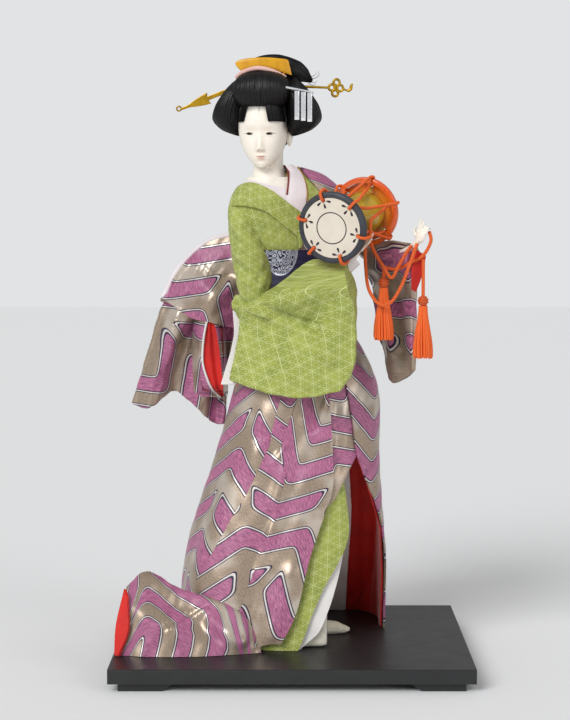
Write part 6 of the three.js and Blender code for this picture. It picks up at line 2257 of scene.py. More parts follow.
@dataclass
class Train:
    """The swept hem on the board and its padded red edge."""

    front: tuple = ((-146, -74, 0.3), (-115, -79, 0.3), (-79, -78, 0.3), (-50, -72, 0.3), (-26, -65, 0.3))
    ridge: tuple = ((-139, -62, 56), (-124, -47, 66), (-96, -48, 52), (-62, -54, 42), (-40, -58, 30),
                    (-26, -61, 4))
    back: tuple = ((-129, -24, 0.3), (-114, 12, 0.3), (-96, 24, 0.3), (-70, 16, 0.3), (-46, -25, 0.3),
                   (-26, -56, 0.3))
    folds: tuple = (
        Fold((-72, 38), (-106, 22), 3.5, 1.8, True), Fold((-134, 40), (-90, 12), 7, 2.6),
        Fold((-100, 44), (-60, 10), 6, -2.4), Fold((-120, 52), (-96, 34), 6, -2.0),
        Fold((-70, 30), (-40, 8), 6, 2.2),
    )

    def build(self) -> None:
        """Builds the train."""
        steps = 170
        share = np.linspace(0, 1, steps + 1)
        f, r, b = (catmull(p, share) for p in (self.front, self.ridge, self.back))
        r[:, 2] = np.maximum(r[:, 2], 3)
        wave = 2.5 * np.sin(9 * share) * np.sin(np.pi * share)
        bulge = np.stack([0 * share, -3 - wave, 2 + 0 * share],
                         axis=-1) * (0.1 + 0.9 * smooth(r[:, 2], 4, 30))[:, None]
        drop = b - r
        sag = r[:, 2:] * (0, 0, 1)
        keys = [
            b, r + 0.75 * drop - 0.1 * sag, r + 0.4 * drop - 0.18 * sag, r + 0.12 * drop, r,
            f + 0.75 * (r - f) + bulge, f + 0.35 * (r - f) + bulge, f,
        ]
        rows = np.stack(keys, axis=1)
        fine = 64
        points = np.stack([catmull(row, np.linspace(0, 1, fine + 1)) for row in rows])
        x, z = points[..., 0], points[..., 2]
        ahead = smooth(np.linspace(0, 1, fine + 1), 0.5, 0.62)[None] * smooth(z, 1, 12)
        out = normals(points)
        out *= np.sign(-out[..., 1:2] + 1e-9)
        points = points + out * (ahead * folded(self.folds, x, z) + ripple(points, 8, 0.4))[..., None]
        points[..., 2] = np.maximum(points[..., 2], 0.3)
        sewing = Sewing()
        uv = turned(lengths(points), -52, (0, 8))
        index = sewing.wall(points, uv, close_v=True)
        sewing.faces.append(tuple(int(k) for k in index[0]))
        sewing.faces.append(tuple(int(k) for k in index[-1][::-1]))
        place_piece(sewing.made("train_cloth", BANDS), Body.BASE, ["train"])
        remade("train_red_hem", "train_red_hem_cloth", RED_SILK, 0.5, 8)


SKULL = Levels([
    (408, -1.4, -17, 4, 4, 5, 5), (411, -1.6, -13, 8.5, 8.5, 9.5, 10), (418, -2.2, -8, 14.2, 14.2, 15.5, 17),
    (426, -2.9, -4, 18, 18, 20.5, 22), (436, -3.4, -2, 20.3, 20.3, 22.5, 25), (446, -3.6, -1, 21, 21, 24, 26),
    (456, -3.6, 0, 20.3, 20.3, 24, 26), (466, -3.4, 1, 17.5, 17.5, 21, 23),
    (474, -3.2, 2, 11.5, 11.5, 14, 15), (478, -3.2, 2, 4, 4, 5, 5),
])

@dataclass
class Head:
    """The head with its painted face, and the glass eyes."""

    turn: float = -8.0
    neck_x: float = -21.0
    neck_y: float = -3.0
    eye_x: float = 8.5
    eye_z: float = 436.0
    eye_half: float = 3.0
    nose_z: float = 423.4
    mouth_z: float = 416.4

    @property
    def place(self) -> Array:
        """From the head's own frame to the board's."""
        return turn_z(self.turn, self.neck_x, self.neck_y)

    def lean(self, z: Array) -> Array:
        """The place of the face's middle line at heights z: the head leans a little to one side."""
        return np.interp(z, [409, 418, 437, 450], [-1.6, -2.0, -3.3, -3.5])

    def features(self, x: Array, z: Array) -> Array:
        """How far the face stands out of the plain skull.

        Args:
            x: Places across the face.
            z: Heights.

        Returns:
            The height at each place, in millimetres.
        """
        x = x - self.lean(z)
        nose, mouth = self.nose_z, self.mouth_z
        run = np.clip((438.5 - z) / (438.5 - nose), 0, 1)
        height = (0.3 + 3.9 * run**1.4) * smooth(z, nose - 3.2, nose + 0.6) * (1 - smooth(z, 440, 450))
        total = height * bell(x, 1.9 + 0.9 * run)
        for side in (-1, 1):
            dx = x - side * self.eye_x
            total += 1.5 * bell(x - side * 2.5, 1.3) * bell(z - nose + 1.0, 1.3)
            total += -1.5 * bell(dx, 6.5) * bell(z - 437.2, 4.2)
            total += 1.0 * bell(dx, 4.8) * bell(z - 436.2, 2.4)
            total += 0.7 * bell(x - side * 11, 7) * bell(z - 425, 8)
            total += 0.15 * bell(dx, 8) * bell(z - 443, 4)
        total += 1.3 * bell(x, 7) * bell(z - mouth, 5)
        total += 0.75 * (bell(x - 1.2, 1.9) + bell(x + 1.2, 1.9)) * 0.7 * bell(z - mouth - 1.1, 0.95)
        total += 0.85 * bell(x, 2.6) * bell(z - mouth + 1.2, 1.1)
        total += -0.75 * np.exp(-((x / 4.2) ** 4)) * bell(z - mouth, 0.42)
        total += -0.35 * bell(x, 0.9) * bell(z - mouth - 3.2, 1.2)
        total += -0.5 * bell(x, 4) * bell(z - mouth + 3.6, 1.2)
        return total + 0.9 * bell(x, 4.2) * bell(z - 410.5, 3)

    def lids(self, x: Array, side: int) -> tuple[Array, Array, Array]:
        """The upper and lower lid's height over places x, and how near x is to the eye's middle.

        Args:
            x: Places across the face.
            side: 1 for the left side, -1 for the right.

        Returns:
            The upper heights, the lower heights, and 0 at the eye's middle to 1 at its corners.
        """
        a = (x - side * self.eye_x) / self.eye_half
        open_up = np.sqrt(np.clip(1 - a * a, 0, 1))
        tilt = 0.15 * side * a
        return self.eye_z + tilt + 0.95 * open_up, self.eye_z + tilt - 0.75 * open_up**1.3, a

    def head(self) -> Object:
        """The head and neck in shell paste.

        Returns:
            The piece.
        """
        around = np.concatenate([np.linspace(-10, 190, 60, endpoint=False),
                                 np.linspace(190, 350, 220, endpoint=False)])
        z_rows = np.concatenate([np.linspace(408, 411, 12, endpoint=False),
                                 np.linspace(411, 442, 150, endpoint=False), np.linspace(442, 478, 60)])
        degrees, z = np.meshgrid(around, z_rows, indexing="ij")
        points = SKULL.outline(degrees, z)
        front = smooth(-np.sin(np.radians(degrees)), 0.25, 0.7)
        points[..., 1] -= front * self.features(points[..., 0], z)
        x = points[..., 0] - self.lean(z)
        ink, warmth = np.zeros(x.shape), np.zeros(x.shape)
        for side in (-1, 1):
            upper, lower, a = self.lids(x, side)
            inside = (np.abs(a) < 1) & (z < upper) & (z > lower) & (front > 0.3)
            points[..., 1] += np.where(inside, 1.5, 0.0)
            edge = np.abs(a) < 1.04
            upper_line = bell(z - upper - 0.15, 0.3) * (1 - smooth(np.abs(a), 0.96, 1.04))
            lower_line = 0.55 * bell(z - lower + 0.1, 0.2) * (1 - smooth(np.abs(a), 0.8, 1.0))
            ink += np.where(edge, upper_line, 0) * front
            ink += np.where(edge, lower_line, 0) * front
            out = side * a
            flick = self.eye_z + 0.3 + 0.25 * (out - 1)
            ink += 0.75 * bell(z - flick, 0.22) * smooth(out, 0.8, 1.0) * (1 - smooth(out, 1.3, 2.1)) * front
            # Painted shade in the eye sockets and down both sides of the nose.
            warmth += 0.35 * bell(x - side * 7.6, 4.5) * bell(z - 438.6, 3.2) * front
            warmth += 0.28 * bell(x - side * 3.4, 1.6) * bell(z - 428, 7) * front
        # Painted shade under the nose and under the lower lip.
        warmth += 0.3 * bell(x, 3.5) * bell(z - self.nose_z + 2.8, 1.0) * front
        warmth += 0.3 * bell(x, 6) * bell(z - 412.5, 1.6) * front
        shape = np.exp(-((x / 3.6) ** 4))
        lips = shape * (bell(z - self.mouth_z - 0.75, 0.75) + bell(z - self.mouth_z + 1.0, 0.95)) * front
        # Painted shade along the parting of the lips and in the nostrils.
        ink += 0.35 * np.exp(-((x / 3.4) ** 4)) * bell(z - self.mouth_z, 0.3) * front
        ink += 0.3 * bell(np.abs(x) - 1.5, 0.5) * bell(z - self.nose_z + 2.1, 0.45) * front
        top = 455.5 - 0.012 * x**2
        wash = 0.75 * smooth(z, top - 1.5, top + 3.5) + 0.6 * bell(x, 0.35) * smooth(z, 450.5, 456)
        # Painted shade at the temples, under the fringe locks, added to the painted hairline.
        wash = wash + 0.8 * smooth(np.abs(x), 17.6, 20.2) * smooth(z, 436, 445)
        sewing = Sewing()
        sewing.wall(points, close_u=True)
        for k in (0, -1):
            ring = points[:, k]
            sewing.wall(np.stack([ring, np.broadcast_to(ring.mean(0), ring.shape)], axis=1), close_u=True)
        profile = [(6, 352), (6, 380), (14.5, 383), (17, 387), (16.8, 391), (16, 396), (14.7, 401),
                   (13.2, 406), (12.4, 411), (12.6, 430)]
        r, zz = spaced([(a, 0, b) for a, b in profile], 60)[:, [0, 2]].T
        sewing.lathe(list(zip(r, zz)), 72, (1.1, 0, 0))
        for side in (-1, 1):
            self.ear(sewing, side)
        paint = {
            "ink": np.clip(ink, 0, 1), "warmth": np.clip(warmth, 0, 1), "lips": np.clip(lips, 0, 1) * 0.75,
            "wash": np.clip(wash, 0, 1),
        }
        found = sewing.made("head_shell_paste", FACE, self.place, 75)
        self.paint(found, np.concatenate(sewing.points), paint)
        return found

    def paint(self, piece: Object, source: Array, paint: dict[str, Array]) -> None:
        """Writes the painted features and painted shade on the welded mesh, each vertex from its nearest
        source point.

        Args:
            piece: The head.
            source: The points as they were sewn.
            paint: Each feature's strength at those points, by name.
        """
        local = source @ self.place[:3, :3].T + self.place[:3, 3]
        tree = search_tree(local)
        nearest = [tree.find(p)[1] for p in positions(piece.data)]
        for name, values in paint.items():
            flat = np.zeros(len(source))
            flat[: values.size] = values.ravel()
            paint_on(piece.data, name, flat[nearest])

    def ear(self, sewing: Sewing, side: int) -> None:
        """Adds a small ear with its rim and hollow.

        Args:
            sewing: What it is added to.
            side: 1 for the left side, -1 for the right.
        """
        t, p = grid(36, 28)
        theta, phi = t * 2 * np.pi, p * np.pi
        x = np.sin(phi) * np.cos(theta)
        y = np.sin(phi) * np.sin(theta)
        z = -np.cos(phi)
        hollow = 1 - 0.6 * bell(np.hypot(y + 0.3, z - 0.2), 0.45) * np.clip(-y, 0, 1)
        wide, middle = (3.8, 18.4) if side > 0 else (1.6, -22.6)
        points = np.stack([middle + wide * x * (0.75 + 0.25 * z), 3 + 2.6 * y * hollow, 432.6 + 6 * z],
                          axis=-1)
        sewing.wall(points)

    def eye(self, side: int, name: str) -> Object:
        """One glass eye behind its lids.

        Args:
            side: 1 for the left side, -1 for the right.
            name: The piece's name.

        Returns:
            The piece.
        """
        u, v = grid(48, 16)
        x = side * self.eye_x + (2 * u - 1) * self.eye_half * 1.02
        upper, lower, a = self.lids(x, side)
        z = lower - 0.25 + (upper - lower + 0.5) * v
        place_x = x + self.lean(z)
        skin = SKULL.front(place_x, z)[..., 1] - self.features(place_x, z)
        skin = skin + 0.75 - 0.35 * np.clip(1 - a * a, 0, 1)
        front = np.stack([place_x, skin, z], axis=-1)
        flat = np.stack([x - side * self.eye_x + 0.3, z - self.eye_z], axis=-1)
        sewing = Sewing()
        sewing.slab(front, front + (0, 1.2, 0), flat)
        return sewing.made(name, EYE, self.place)

    def build(self) -> None:
        """Builds the head and eyes."""
        place_piece(self.head(), Body.HEAD, ["head"])
        place_piece(self.eye(1, "eye_left_glass"), Body.HEAD, ["eye_left"])
        place_piece(self.eye(-1, "eye_right_glass"), Body.HEAD, ["eye_right"])


WING = ((435.5, 22, 2, 4, 5, 5, 6), (438, 25.5, 2, 9, 9, 11, 12), (441, 28.5, 2, 12, 12, 14, 15),
        (449, 32, 2, 15, 14, 16, 18), (460, 31, 2, 14, 13, 18, 20), (470, 27, 2, 12, 11, 17, 20),
        (480, 22, 2, 10, 8.5, 13, 16), (487, 19, 2, 4, 4, 5, 6))
BACK_HAIR = ((423, 0, 24, 8, 8, 7, 8), (430, -1, 22, 18, 19, 15, 17), (445, -1, 20, 23, 23, 18, 24),
             (460, -1, 15, 25, 25, 20, 26), (475, -1, 12, 23, 23, 20, 22), (486, 0, 10, 15, 15, 14, 14),
             (490, 0, 9, 5, 5, 5, 5))

@dataclass
class Wig:
    """The dressed hair: front roll, wings, back roll, topknot, fringe locks and their tie."""

    head: Head = field(default_factory=Head)
    groove: float = 0.16
    roll_centre: tuple[float, float, float] = (-3.2, -9, 472.6)
    roll_radii: tuple[float, float, float] = (25, 21, 18.6)
    knot_path: tuple = ((-19, 7, 486), (-7, 7, 493.5), (8, 8, 494.8), (24, 9, 490.5), (37, 10, 482))
    knot_radii: tuple = (7, 9.6, 9.9, 8.6, 3.2)
    tie_path: tuple = ((-25, -9, 484.5), (-18.8, -14, 488.4), (-5.7, -18, 491.4), (6.6, -15, 489),
                       (16.5, -9, 484))
    wisps: tuple = (
        ((35, 8, 484), (40, 8, 484.5), (43.5, 7, 487), (42.8, 7, 490.5)),
        ((35, 8, 482), (40, 7, 480.5), (42, 7, 482)), ((34, 8, 486), (39, 8, 486.5), (41.5, 8, 489)),
        ((34, 8, 480), (38, 7, 478.5), (41.5, 7, 479.5)),
    )

    def combed(self, points: Array, across: Array, along: Array, name: str, close_u: bool,
               close_v: bool) -> Object:
        """A form of hair with the comb's grooves along its strands.

        Args:
            points: A grid of points.
            across: Each point's place across the strands, in millimetres.
            along: Each point's place along them, in millimetres.
            name: The piece's name.
            close_u: Whether its last row joins the first.
            close_v: Whether its last column joins the first.

        Returns:
            The piece.
        """
        comb = np.sin(across * 5.1 + 0.6 * np.sin(along * 0.2)) + 0.7 * np.sin(across * 2.3 + 1.3)
        comb = comb + 0.5 * np.sin(across * 9.7)
        out = normals(points)
        centre = points.reshape(-1, 3).mean(0)
        out = out * np.sign(((points - centre) * out).sum(-1, keepdims=True))
        points = points + out * (self.groove * comb)[..., None]
        sewing = Sewing()
        sewing.wall(points, np.stack([across, along], axis=-1), close_u=close_u, close_v=close_v)
        return sewing.made(name, HAIR, self.head.place, ROUND_EDGE)

    def levels(self, rows: Sequence, name: str) -> Object:
        """A lobe of hair whose strands run down it.

        Args:
            rows: Its outlines from the lowest up.
            name: The piece's name.

        Returns:
            The piece.
        """
        body = Levels(rows)
        low, high = rows[0][0], rows[-1][0]
        degrees, share = np.meshgrid(np.linspace(0, 360, 241)[:-1], np.linspace(0, np.pi, 90), indexing="ij")
        z = (low + high) / 2 - (high - low) / 2 * np.cos(share)
        tip = np.sqrt(np.clip(np.sin(share), 0, 1))
        points = body.outline(degrees, z)
        middle = body.at(z)
        centre = np.stack([middle["x"], middle["y"], z], axis=-1)
        points = centre + (points - centre) * np.clip(tip * 1.05, 0, 1)[..., None]
        return self.combed(points, np.radians(degrees) * 16, z - low, name, True, False)

    def roll(self) -> Object:
        """The front roll, combed up from the brow.

        Returns:
            The piece.
        """
        side, turn = np.meshgrid(np.linspace(0, np.pi, 200), np.linspace(0, 2 * np.pi, 141)[:-1],
                                 indexing="ij")
        radii = np.array(self.roll_radii)
        squared = np.sin(side) ** 0.8
        unit = np.stack([-np.cos(side), -squared * np.cos(turn), squared * np.sin(turn)], axis=-1)
        points = np.array(self.roll_centre) + unit * radii
        dip = 1.2 * bell(points[..., 0] + 3.2, 5) * smooth(-unit[..., 1], 0.4,
                                                           0.9) * bell(points[..., 2] - 478, 12)
        points[..., 1] += dip
        return self.combed(points, points[..., 0] * 1.0, turn * 20, "hair_front_roll", False, True)

    def topknot(self) -> Object:
        """The topknot, its strands along it.

        Returns:
            The piece.
        """
        share = np.linspace(0, 1, 90)
        path = catmull(self.knot_path, share)
        ends = np.sqrt(np.clip(np.sin(np.pi * (0.03 + 0.94 * share)) * 2.2, 0, 1))
        radii = np.interp(share, np.linspace(0, 1, 5), self.knot_radii) * ends
        tangent = np.gradient(path, axis=0)
        tangent /= np.linalg.norm(tangent, axis=1, keepdims=True)
        upward = np.cross(tangent, np.array([0, 1.0, 0]))
        angle = np.linspace(0, 2 * np.pi, 161)[:-1]
        wide, deep = np.cos(angle)[None, :, None], 1.3 * np.sin(angle)[None, :, None]
        ring = wide * upward[:, None] + deep * np.array([0, 1.0, 0])
        points = path[:, None] + radii[:, None, None] * ring
        across = np.broadcast_to(angle * 11, points.shape[:2])
        along = np.broadcast_to(share[:, None] * 62, points.shape[:2])
        return self.combed(points, across, along, "hair_topknot_roll", False, True)

    def lock(self, top: tuple[float, float], foot: tuple[float, float], name: str) -> Object:
        """A fringe lock that hugs the temple and widens to its straight cut.

        Args:
            top: The places of its two sides at the top.
            foot: The places of its two sides at the cut.
            name: The piece's name.

        Returns:
            The piece.
        """
        u, v = grid(100, 50)
        z = 462 - 15.6 * v
        share = v**1.2
        start, end = (np.array([a + (b - a) * share for a, b in zip(top, foot)]))
        x = start + (end - start) * u
        inner, outer = SKULL.front(x, z, 0), SKULL.front(x, z, 0)
        wave = self.groove * 1.6 * (np.sin(u * 70) + 0.6 * np.sin(u * 33 + 1))
        outer[..., 1] -= 1.2 + 1.4 * np.sin(np.pi * u) ** 0.6 + wave
        outer[..., 2] += 0.25 * np.sin(u * 47) * smooth(v, 0.8, 1)
        inner[..., 1] += 0.4
        sewing = Sewing()
        sewing.slab(outer, inner, np.stack([u * 26, z], axis=-1))
        return sewing.made(name, HAIR, self.head.place, 60)

    def build(self) -> None:
        """Builds the wig."""
        mirrored = [(z, -x - 1.5, y, right, left, front, back) for z, x, y, left, right, front, back in WING]
        pieces = [
            (self.roll(), "hair_front"), (self.levels(BACK_HAIR, "hair_back_roll"), "hair_back"),
            (self.levels(WING, "hair_wing_left_lobe"), "hair_wing_left"),
            (self.levels(mirrored, "hair_wing_right_lobe"), "hair_wing_right"),
            (self.topknot(), "hair_topknot"),
            (self.lock((1.5, 14.5), (4.4, 17.2), "temple_lock_left_hair"), "temple_lock_left"),
            (self.lock((-20, -13.2), (-24.2, -17.0), "temple_lock_right_hair"), "temple_lock_right"),
        ]
        for piece, node in pieces:
            place_piece(piece, Body.HEAD, [node])
        loose = Sewing()
        for wisp in self.wisps:
            loose.tube(spaced(wisp, 24), np.linspace(0.35, 0.1, 24), 6)
        place_piece(loose.made("hair_topknot_wisps", HAIR, self.head.place), Body.HEAD)
        sewing = Sewing()
        sewing.tube(spaced(self.tie_path, 60), 1.9, 20)
        place_piece(sewing.made("hair_tie_silk", PINK_SILK, self.head.place), Body.HEAD,
                    ["hair_tie"])


@dataclass
class Ornaments:
    """Comb, hairpins and the silver ornament."""

    comb_upper: tuple = ((-48.4, 496.2), (-46.4, 498), (-42, 499.5), (-25.6, 500.9), (-12, 500.2),
                         (-3.6, 498.9), (-2.6, 497))
    comb_lower: tuple = ((-48, 494.9), (-46.6, 492.9), (-43, 490), (-32.4, 492.2), (-22.2, 491.8),
                         (-15.3, 490.6), (-0.2, 486.1))
    teeth: int = 11
    knot_middle: tuple[float, float, float] = (37.6, 0, 476.3)
    strip_shift: float = 2.8

    def comb(self) -> Object:
        """The amber comb: a curved plate with a rounded tip, and its teeth in the hair.

        Returns:
            The piece.
        """
        depth = sum(corner[1] for corner in node_box("comb")) / 2
        u, v = grid(90, 16)
        middle = ruled(self.comb_upper, self.comb_lower, u, v)
        middle[..., 1] = depth + 0.004 * (middle[..., 0] + 24) ** 2 - 1
        half = 0.5 + 0.9 * (1 - (2 * v - 1) ** 6) * (1 - (2 * u - 1) ** 12)
        offset = half[..., None] * (0, 1, 0)
        sewing = Sewing()
        sewing.slab(middle - offset, middle + offset)
        for x in np.linspace(-41, -7, self.teeth):
            z = np.interp(x, [row[0] for row in self.comb_lower], [row[1] for row in self.comb_lower])
            y = depth + 0.004 * (x + 24) ** 2 - 1
            sewing.tube(np.linspace((x, y, z + 1), (x, y + 1.5, z - 11), 12), np.linspace(0.9, 0.5, 12), 10)
        return sewing.made("comb_amber", AMBER)

    def knot_pin(self) -> Object:
        """The gilt hairpin with a knot of four loops and a curled tip.

        Returns:
            The piece.
        """
        x, y, z = self.knot_middle
        sewing = Sewing()
        turn = np.linspace(0, 2 * np.pi, 40)
        for dx, dz in ((0.6, 4.6), (-0.7, -4.6), (-3.6, 0.3), (3.6, -0.3)):
            loop = np.stack([x + dx + 2.55 * np.cos(turn), y + 0 * turn, z + dz + 2.65 * np.sin(turn)],
                            axis=-1)
            sewing.tube(loop, 1.3, 12, 0.85)
        sewing.tube(spaced([(8.5, y, 477.4), (18, y, 477), (31.4, y, 476.4)], 40), np.linspace(1.5, 1.25, 40),
                    14, 0.8)
        tip = [(43, y, 475.8), (45.5, y, 474.6), (48.3, y, 473.9), (50.3, y, 475.4), (50.8, y, 478),
               (52, y, 479.6)]
        sewing.tube(spaced(tip, 40),
                    np.interp(np.linspace(0, 1, 40), [0, 0.3, 0.55, 0.85, 1], [1.1, 1.1, 1.8, 1.6, 0.9]), 14,
                    0.8)
        return sewing.made("hairpin_knot_gilt", GILT)

    def strip(self, node: str) -> Object:
        """One convex strip of bright silver, on its node's place.

        Args:
            node: The node.

        Returns:
            The piece.
        """
        low, high = node_box(node)
        u, v = grid(24, 40)
        x = low[0] + self.strip_shift + (high[0] - low[0]) * u
        z = high[2] - (high[2] - low[2]) * v
        swell = 0.7 * np.sqrt(np.clip(1 - (2 * u - 1) ** 2, 0, 1)) * np.clip(4 * np.minimum(v, 1 - v) + 0.6,
                                                                             0, 1)
        outer = np.stack([x, low[1] + 0.4 - swell, z], axis=-1)
        sewing = Sewing()
        sewing.slab(outer, np.stack([x, high[1] + 0 * x, z], axis=-1))
        return sewing.made(f"{node}_silver", SILVER)

    def bar(self) -> Object:
        """The silver bar that the strips hang from.

        Returns:
            The piece.
        """
        y = sum(corner[1] for corner in node_box("ornament_bar")) / 2
        sewing = Sewing()
        sewing.tube(spaced([(-8.6, y, 475.6), (4, y, 473.2), (18.4, y, 470.4)], 40), 1.5, 16, 0.7)
        return sewing.made("ornament_bar_silver", SILVER)

    def build(self) -> None:
        """Builds the ornaments."""
        place_piece(self.comb(), Body.COMB, ["comb"])
        remade("hairpin_arrow", "hairpin_arrow_gilt", GILT, 0.25, 3, body=Body.ARROW_PIN)
        place_piece(self.knot_pin(), Body.KNOT_PIN, ["hairpin_knot"])
        place_piece(self.bar(), Body.HEAD, ["ornament_bar"])
        for body in (Body.STRIP_1, Body.STRIP_2, Body.STRIP_3):
            place_piece(self.strip(body.value), body, [body.value])


@dataclass
class Drum:
    """The hand drum: hourglass body, two laced heads and their painted petals."""

    front: tuple[float, float, float] = (32, -95, 357)
    axis: tuple[float, float, float] = (31, 67, 14)
    radius: float = 29.4
    length: float = 75.0
    thick: float = 5.0
    rim: float = 4.5
    skin: float = 1.2
    hole_radius: float = 1.9
    hole_circle: float = 23.5
    lace_radius: float = 1.35
    lace_waist: float = 19.0
    lace_count: int = 6
    ring_radius: float = 12.8
    dome: float = 0.25
    hourglass: tuple = ((17, 1.5), (17.4, 10.5), (13.5, 20.5), (9.2, 28.5), (8, 37.5))

    @property
    def place(self) -> Array:
        """From the drum's own frame to the board's.

        Returns:
            A 4 by 4 matrix in millimetres.
        """
        axis = np.array(self.axis, float)
        axis /= np.linalg.norm(axis)
        right = -np.cross([0, 0, 1.0], axis)
        right /= np.linalg.norm(right)
        matrix = np.eye(4)
        matrix[:3, 0], matrix[:3, 1], matrix[:3, 2] = right, np.cross(axis, right), axis
        matrix[:3, 3] = self.front
        return matrix

    def hole(self, i: int) -> float:
        """The heading of one hole of the front head, in degrees."""
        return 360 * i / self.lace_count + 16

    def polar(self, radius: float, degrees: float, z: float) -> tuple[float, float, float]:
        """A point in the drum's own frame."""
        return radius * math.cos(math.radians(degrees)), radius * math.sin(math.radians(degrees)), z

    def head(self, rear: bool) -> list[tuple[Object, str]]:
        """One head: its skin with holes, and its rim.

        Args:
            rear: Whether it is the rear head.

        Returns:
            Its pieces, each with its node if it has one.
        """
        label = "rear" if rear else "front"
        sign = -1 if rear else 1
        base = self.length if rear else 0.0

        def z(value: float) -> float:
            """A depth from the head's outer face."""
            return base + sign * value

        r, t = self.radius, self.thick
        skin_r = r - self.rim - 0.2
        skin = Sewing()
        flat = [(0, z(0)), (skin_r, z(0)), (skin_r, z(self.skin)), (0, z(self.skin))]
        dome = [(k * skin_r / 12, z(-self.dome * math.sin(math.pi * k / 12))) for k in range(1, 12)]
        skin.lathe([flat[0], *dome, *flat[1:]], 96)
        finish = BOWL if rear else SKIN
        plate = skin.made(f"drum_head_{label}_skin", finish, self.place, 40)
        turn = 180 / self.lace_count if rear else 0
        holes = Sewing()
        for i in range(self.lace_count):
            x, y, _ = self.polar(self.hole_circle, self.hole(i) + turn, 0)
            holes.lathe([(0, z(-2)), (self.hole_radius, z(-2)), (self.hole_radius, z(3)), (0, z(3))], 20,
                        (x, y, 0))
        cutter = holes.made("hole_cutter", SKIN, self.place)
        cut = plate.modifiers.new("holes", "BOOLEAN")
        cut.operation, cut.object, cut.solver = "DIFFERENCE", cutter, "EXACT"
        name = plate.name
        mesh = evaluated(plate, name)
        bpy.data.objects.remove(cutter)
        plate = shown(name, mesh, finish, 40)
        rim = Sewing()
        ring = [
            (r - self.rim, z(0.2)), (r - self.rim + 0.4, z(-0.45)), (r - 1.6, z(-0.5)), (r - 0.5, z(0.1)),
            (r, z(1)), (r, z(t - 1)), (r - 0.4, z(t - 0.3)), (r - 1, z(t)), (r - self.rim, z(t)),
            (r - self.rim, z(0.2)),
        ]
        rim.lathe(ring, 128)
        band = rim.made(f"drum_head_{label}_rim", BOWL if rear else CHARCOAL, self.place, 50)
        if rear:
            for piece in (plate, band):
                points = (positions(piece.data) - self.place[:3, 3]) @ self.place[:3, :3]
                far = smooth(np.hypot(points[:, 0], points[:, 1]), r - 9, r - 3)
                paint_on(piece.data, "rim", far)
        return [(plate, f"drum_head_{label}"), (band, "")]

    def petals(self) -> Object:
        """Three painted petals at each hole and the painted ring, by Geometry Nodes.

        Returns:
            The petals' piece.
        """
        leaf = bpy.data.meshes.new("petal")
        t = np.linspace(0, np.pi, 13)
        reach, width = 4.5, 1.35
        swell = (1 - np.cos(t)) / 2
        x, w = self.hole_radius + 0.5 + reach * swell, width * np.sin(t) * (0.25 + 0.75 * swell)
        rows = [*zip(x, w), *zip(x[-2:0:-1], -w[-2:0:-1])]
        leaf.from_pydata([(a * MM, b * MM, 0) for a, b in rows], [], [list(range(len(rows)))])
        holder = bpy.data.objects.new("petal", leaf)
        bpy.context.scene.collection.objects.link(holder)
        tree = NodeTree("petals", {"Holes": ("NodeSocketInt", 6), "Circle": ("NodeSocketFloat", 0.0235),
                                   "Spread": ("NodeSocketFloat", 0.9), "Start": ("NodeSocketFloat", 0.28)})
        count, circle, spread, start = (tree.source.outputs[k] for k in (1, 2, 3, 4))
        line = tree.add("GeometryNodeMeshLine", {"Count": tree.math("MULTIPLY", count, 3.0)})
        index = tree.add("GeometryNodeInputIndex")
        hole = tree.math("FLOOR", tree.math("DIVIDE", index, 3.0))
        part = tree.math("MODULO", index, 3.0)
        angle = tree.math("MULTIPLY_ADD", tree.math("DIVIDE", hole, count), 2 * math.pi, start)
        spot = tree.add("ShaderNodeCombineXYZ", {
            0: tree.math("MULTIPLY", tree.math("COSINE", angle), circle),
            1: tree.math("MULTIPLY", tree.math("SINE", angle), circle), 2: 0.0,
        })
        placed = tree.add("GeometryNodeSetPosition", {"Geometry": line, "Position": spot})
        side = tree.math("MULTIPLY_ADD", tree.math("SUBTRACT", part, 1.0), spread, angle)
        turn = tree.add("ShaderNodeCombineXYZ", {2: tree.math("ADD", side, math.pi)})
        source = tree.add("GeometryNodeObjectInfo", {"Object": holder}, out="Geometry")
        leaves = tree.add("GeometryNodeInstanceOnPoints",
                          {"Points": placed, "Instance": source, "Rotation": turn})
        tree.end(leaves, INK)
        values = {"Holes": self.lace_count, "Circle": self.hole_circle * MM, "Spread": 1.12,
                  "Start": math.radians(self.hole(0))}
        mesh = tree.run(bpy.data.meshes.new("petals"), "drum_petals", values)
        bpy.data.objects.remove(holder)
        points = positions(mesh)
        far = np.hypot(points[:, 0], points[:, 1]) / (self.radius - self.rim)
        dome = self.dome * np.sin(np.pi * np.clip(far, 0, 1))
        points[:, 2] = -0.12 - dome
        points = points @ self.place[:3, :3].T + self.place[:3, 3]
        move_to(mesh, points)
        petals = shown("drum_petals", mesh, INK)
        ring = Sewing()
        lift = self.dome * math.sin(math.pi * self.ring_radius / (self.radius - self.rim))
        profile = ((-0.45, 0.05), (-0.3, 0.2), (0.3, 0.2), (0.45, 0.05))
        ring.lathe([(self.ring_radius + out, -lift - up) for out, up in profile], 96)
        circle_mark = ring.made("drum_ring_mark", INK, self.place)
        place_piece(circle_mark, Body.BASE)
        return petals

    def body(self) -> Object:
        """The hourglass body in gold lacquer.

        Returns:
            The piece.
        """
        lower = [tuple(p) for p in self.hourglass]
        upper = [(r, self.length - z) for r, z in self.hourglass[:-1]][::-1]
        line = spaced([(r, 0, z) for r, z in lower + upper], 90)[:, [0, 2]]
        inner = [(r - 3, z) for r, z in line[::-1]]
        sewing = Sewing()
        profile = [tuple(p) for p in line] + inner + [tuple(line[0])]
        sewing.lathe(profile, 96)
        body = sewing.made("drum_body_lacquer", BOWL, self.place, 50)
        local = (positions(body.data) - self.place[:3, 3]) @ self.place[:3, :3]
        paint_on(body.data, "rim", 0.7 * bell(local[:, 2] - self.length / 2, 3.5))
        return body

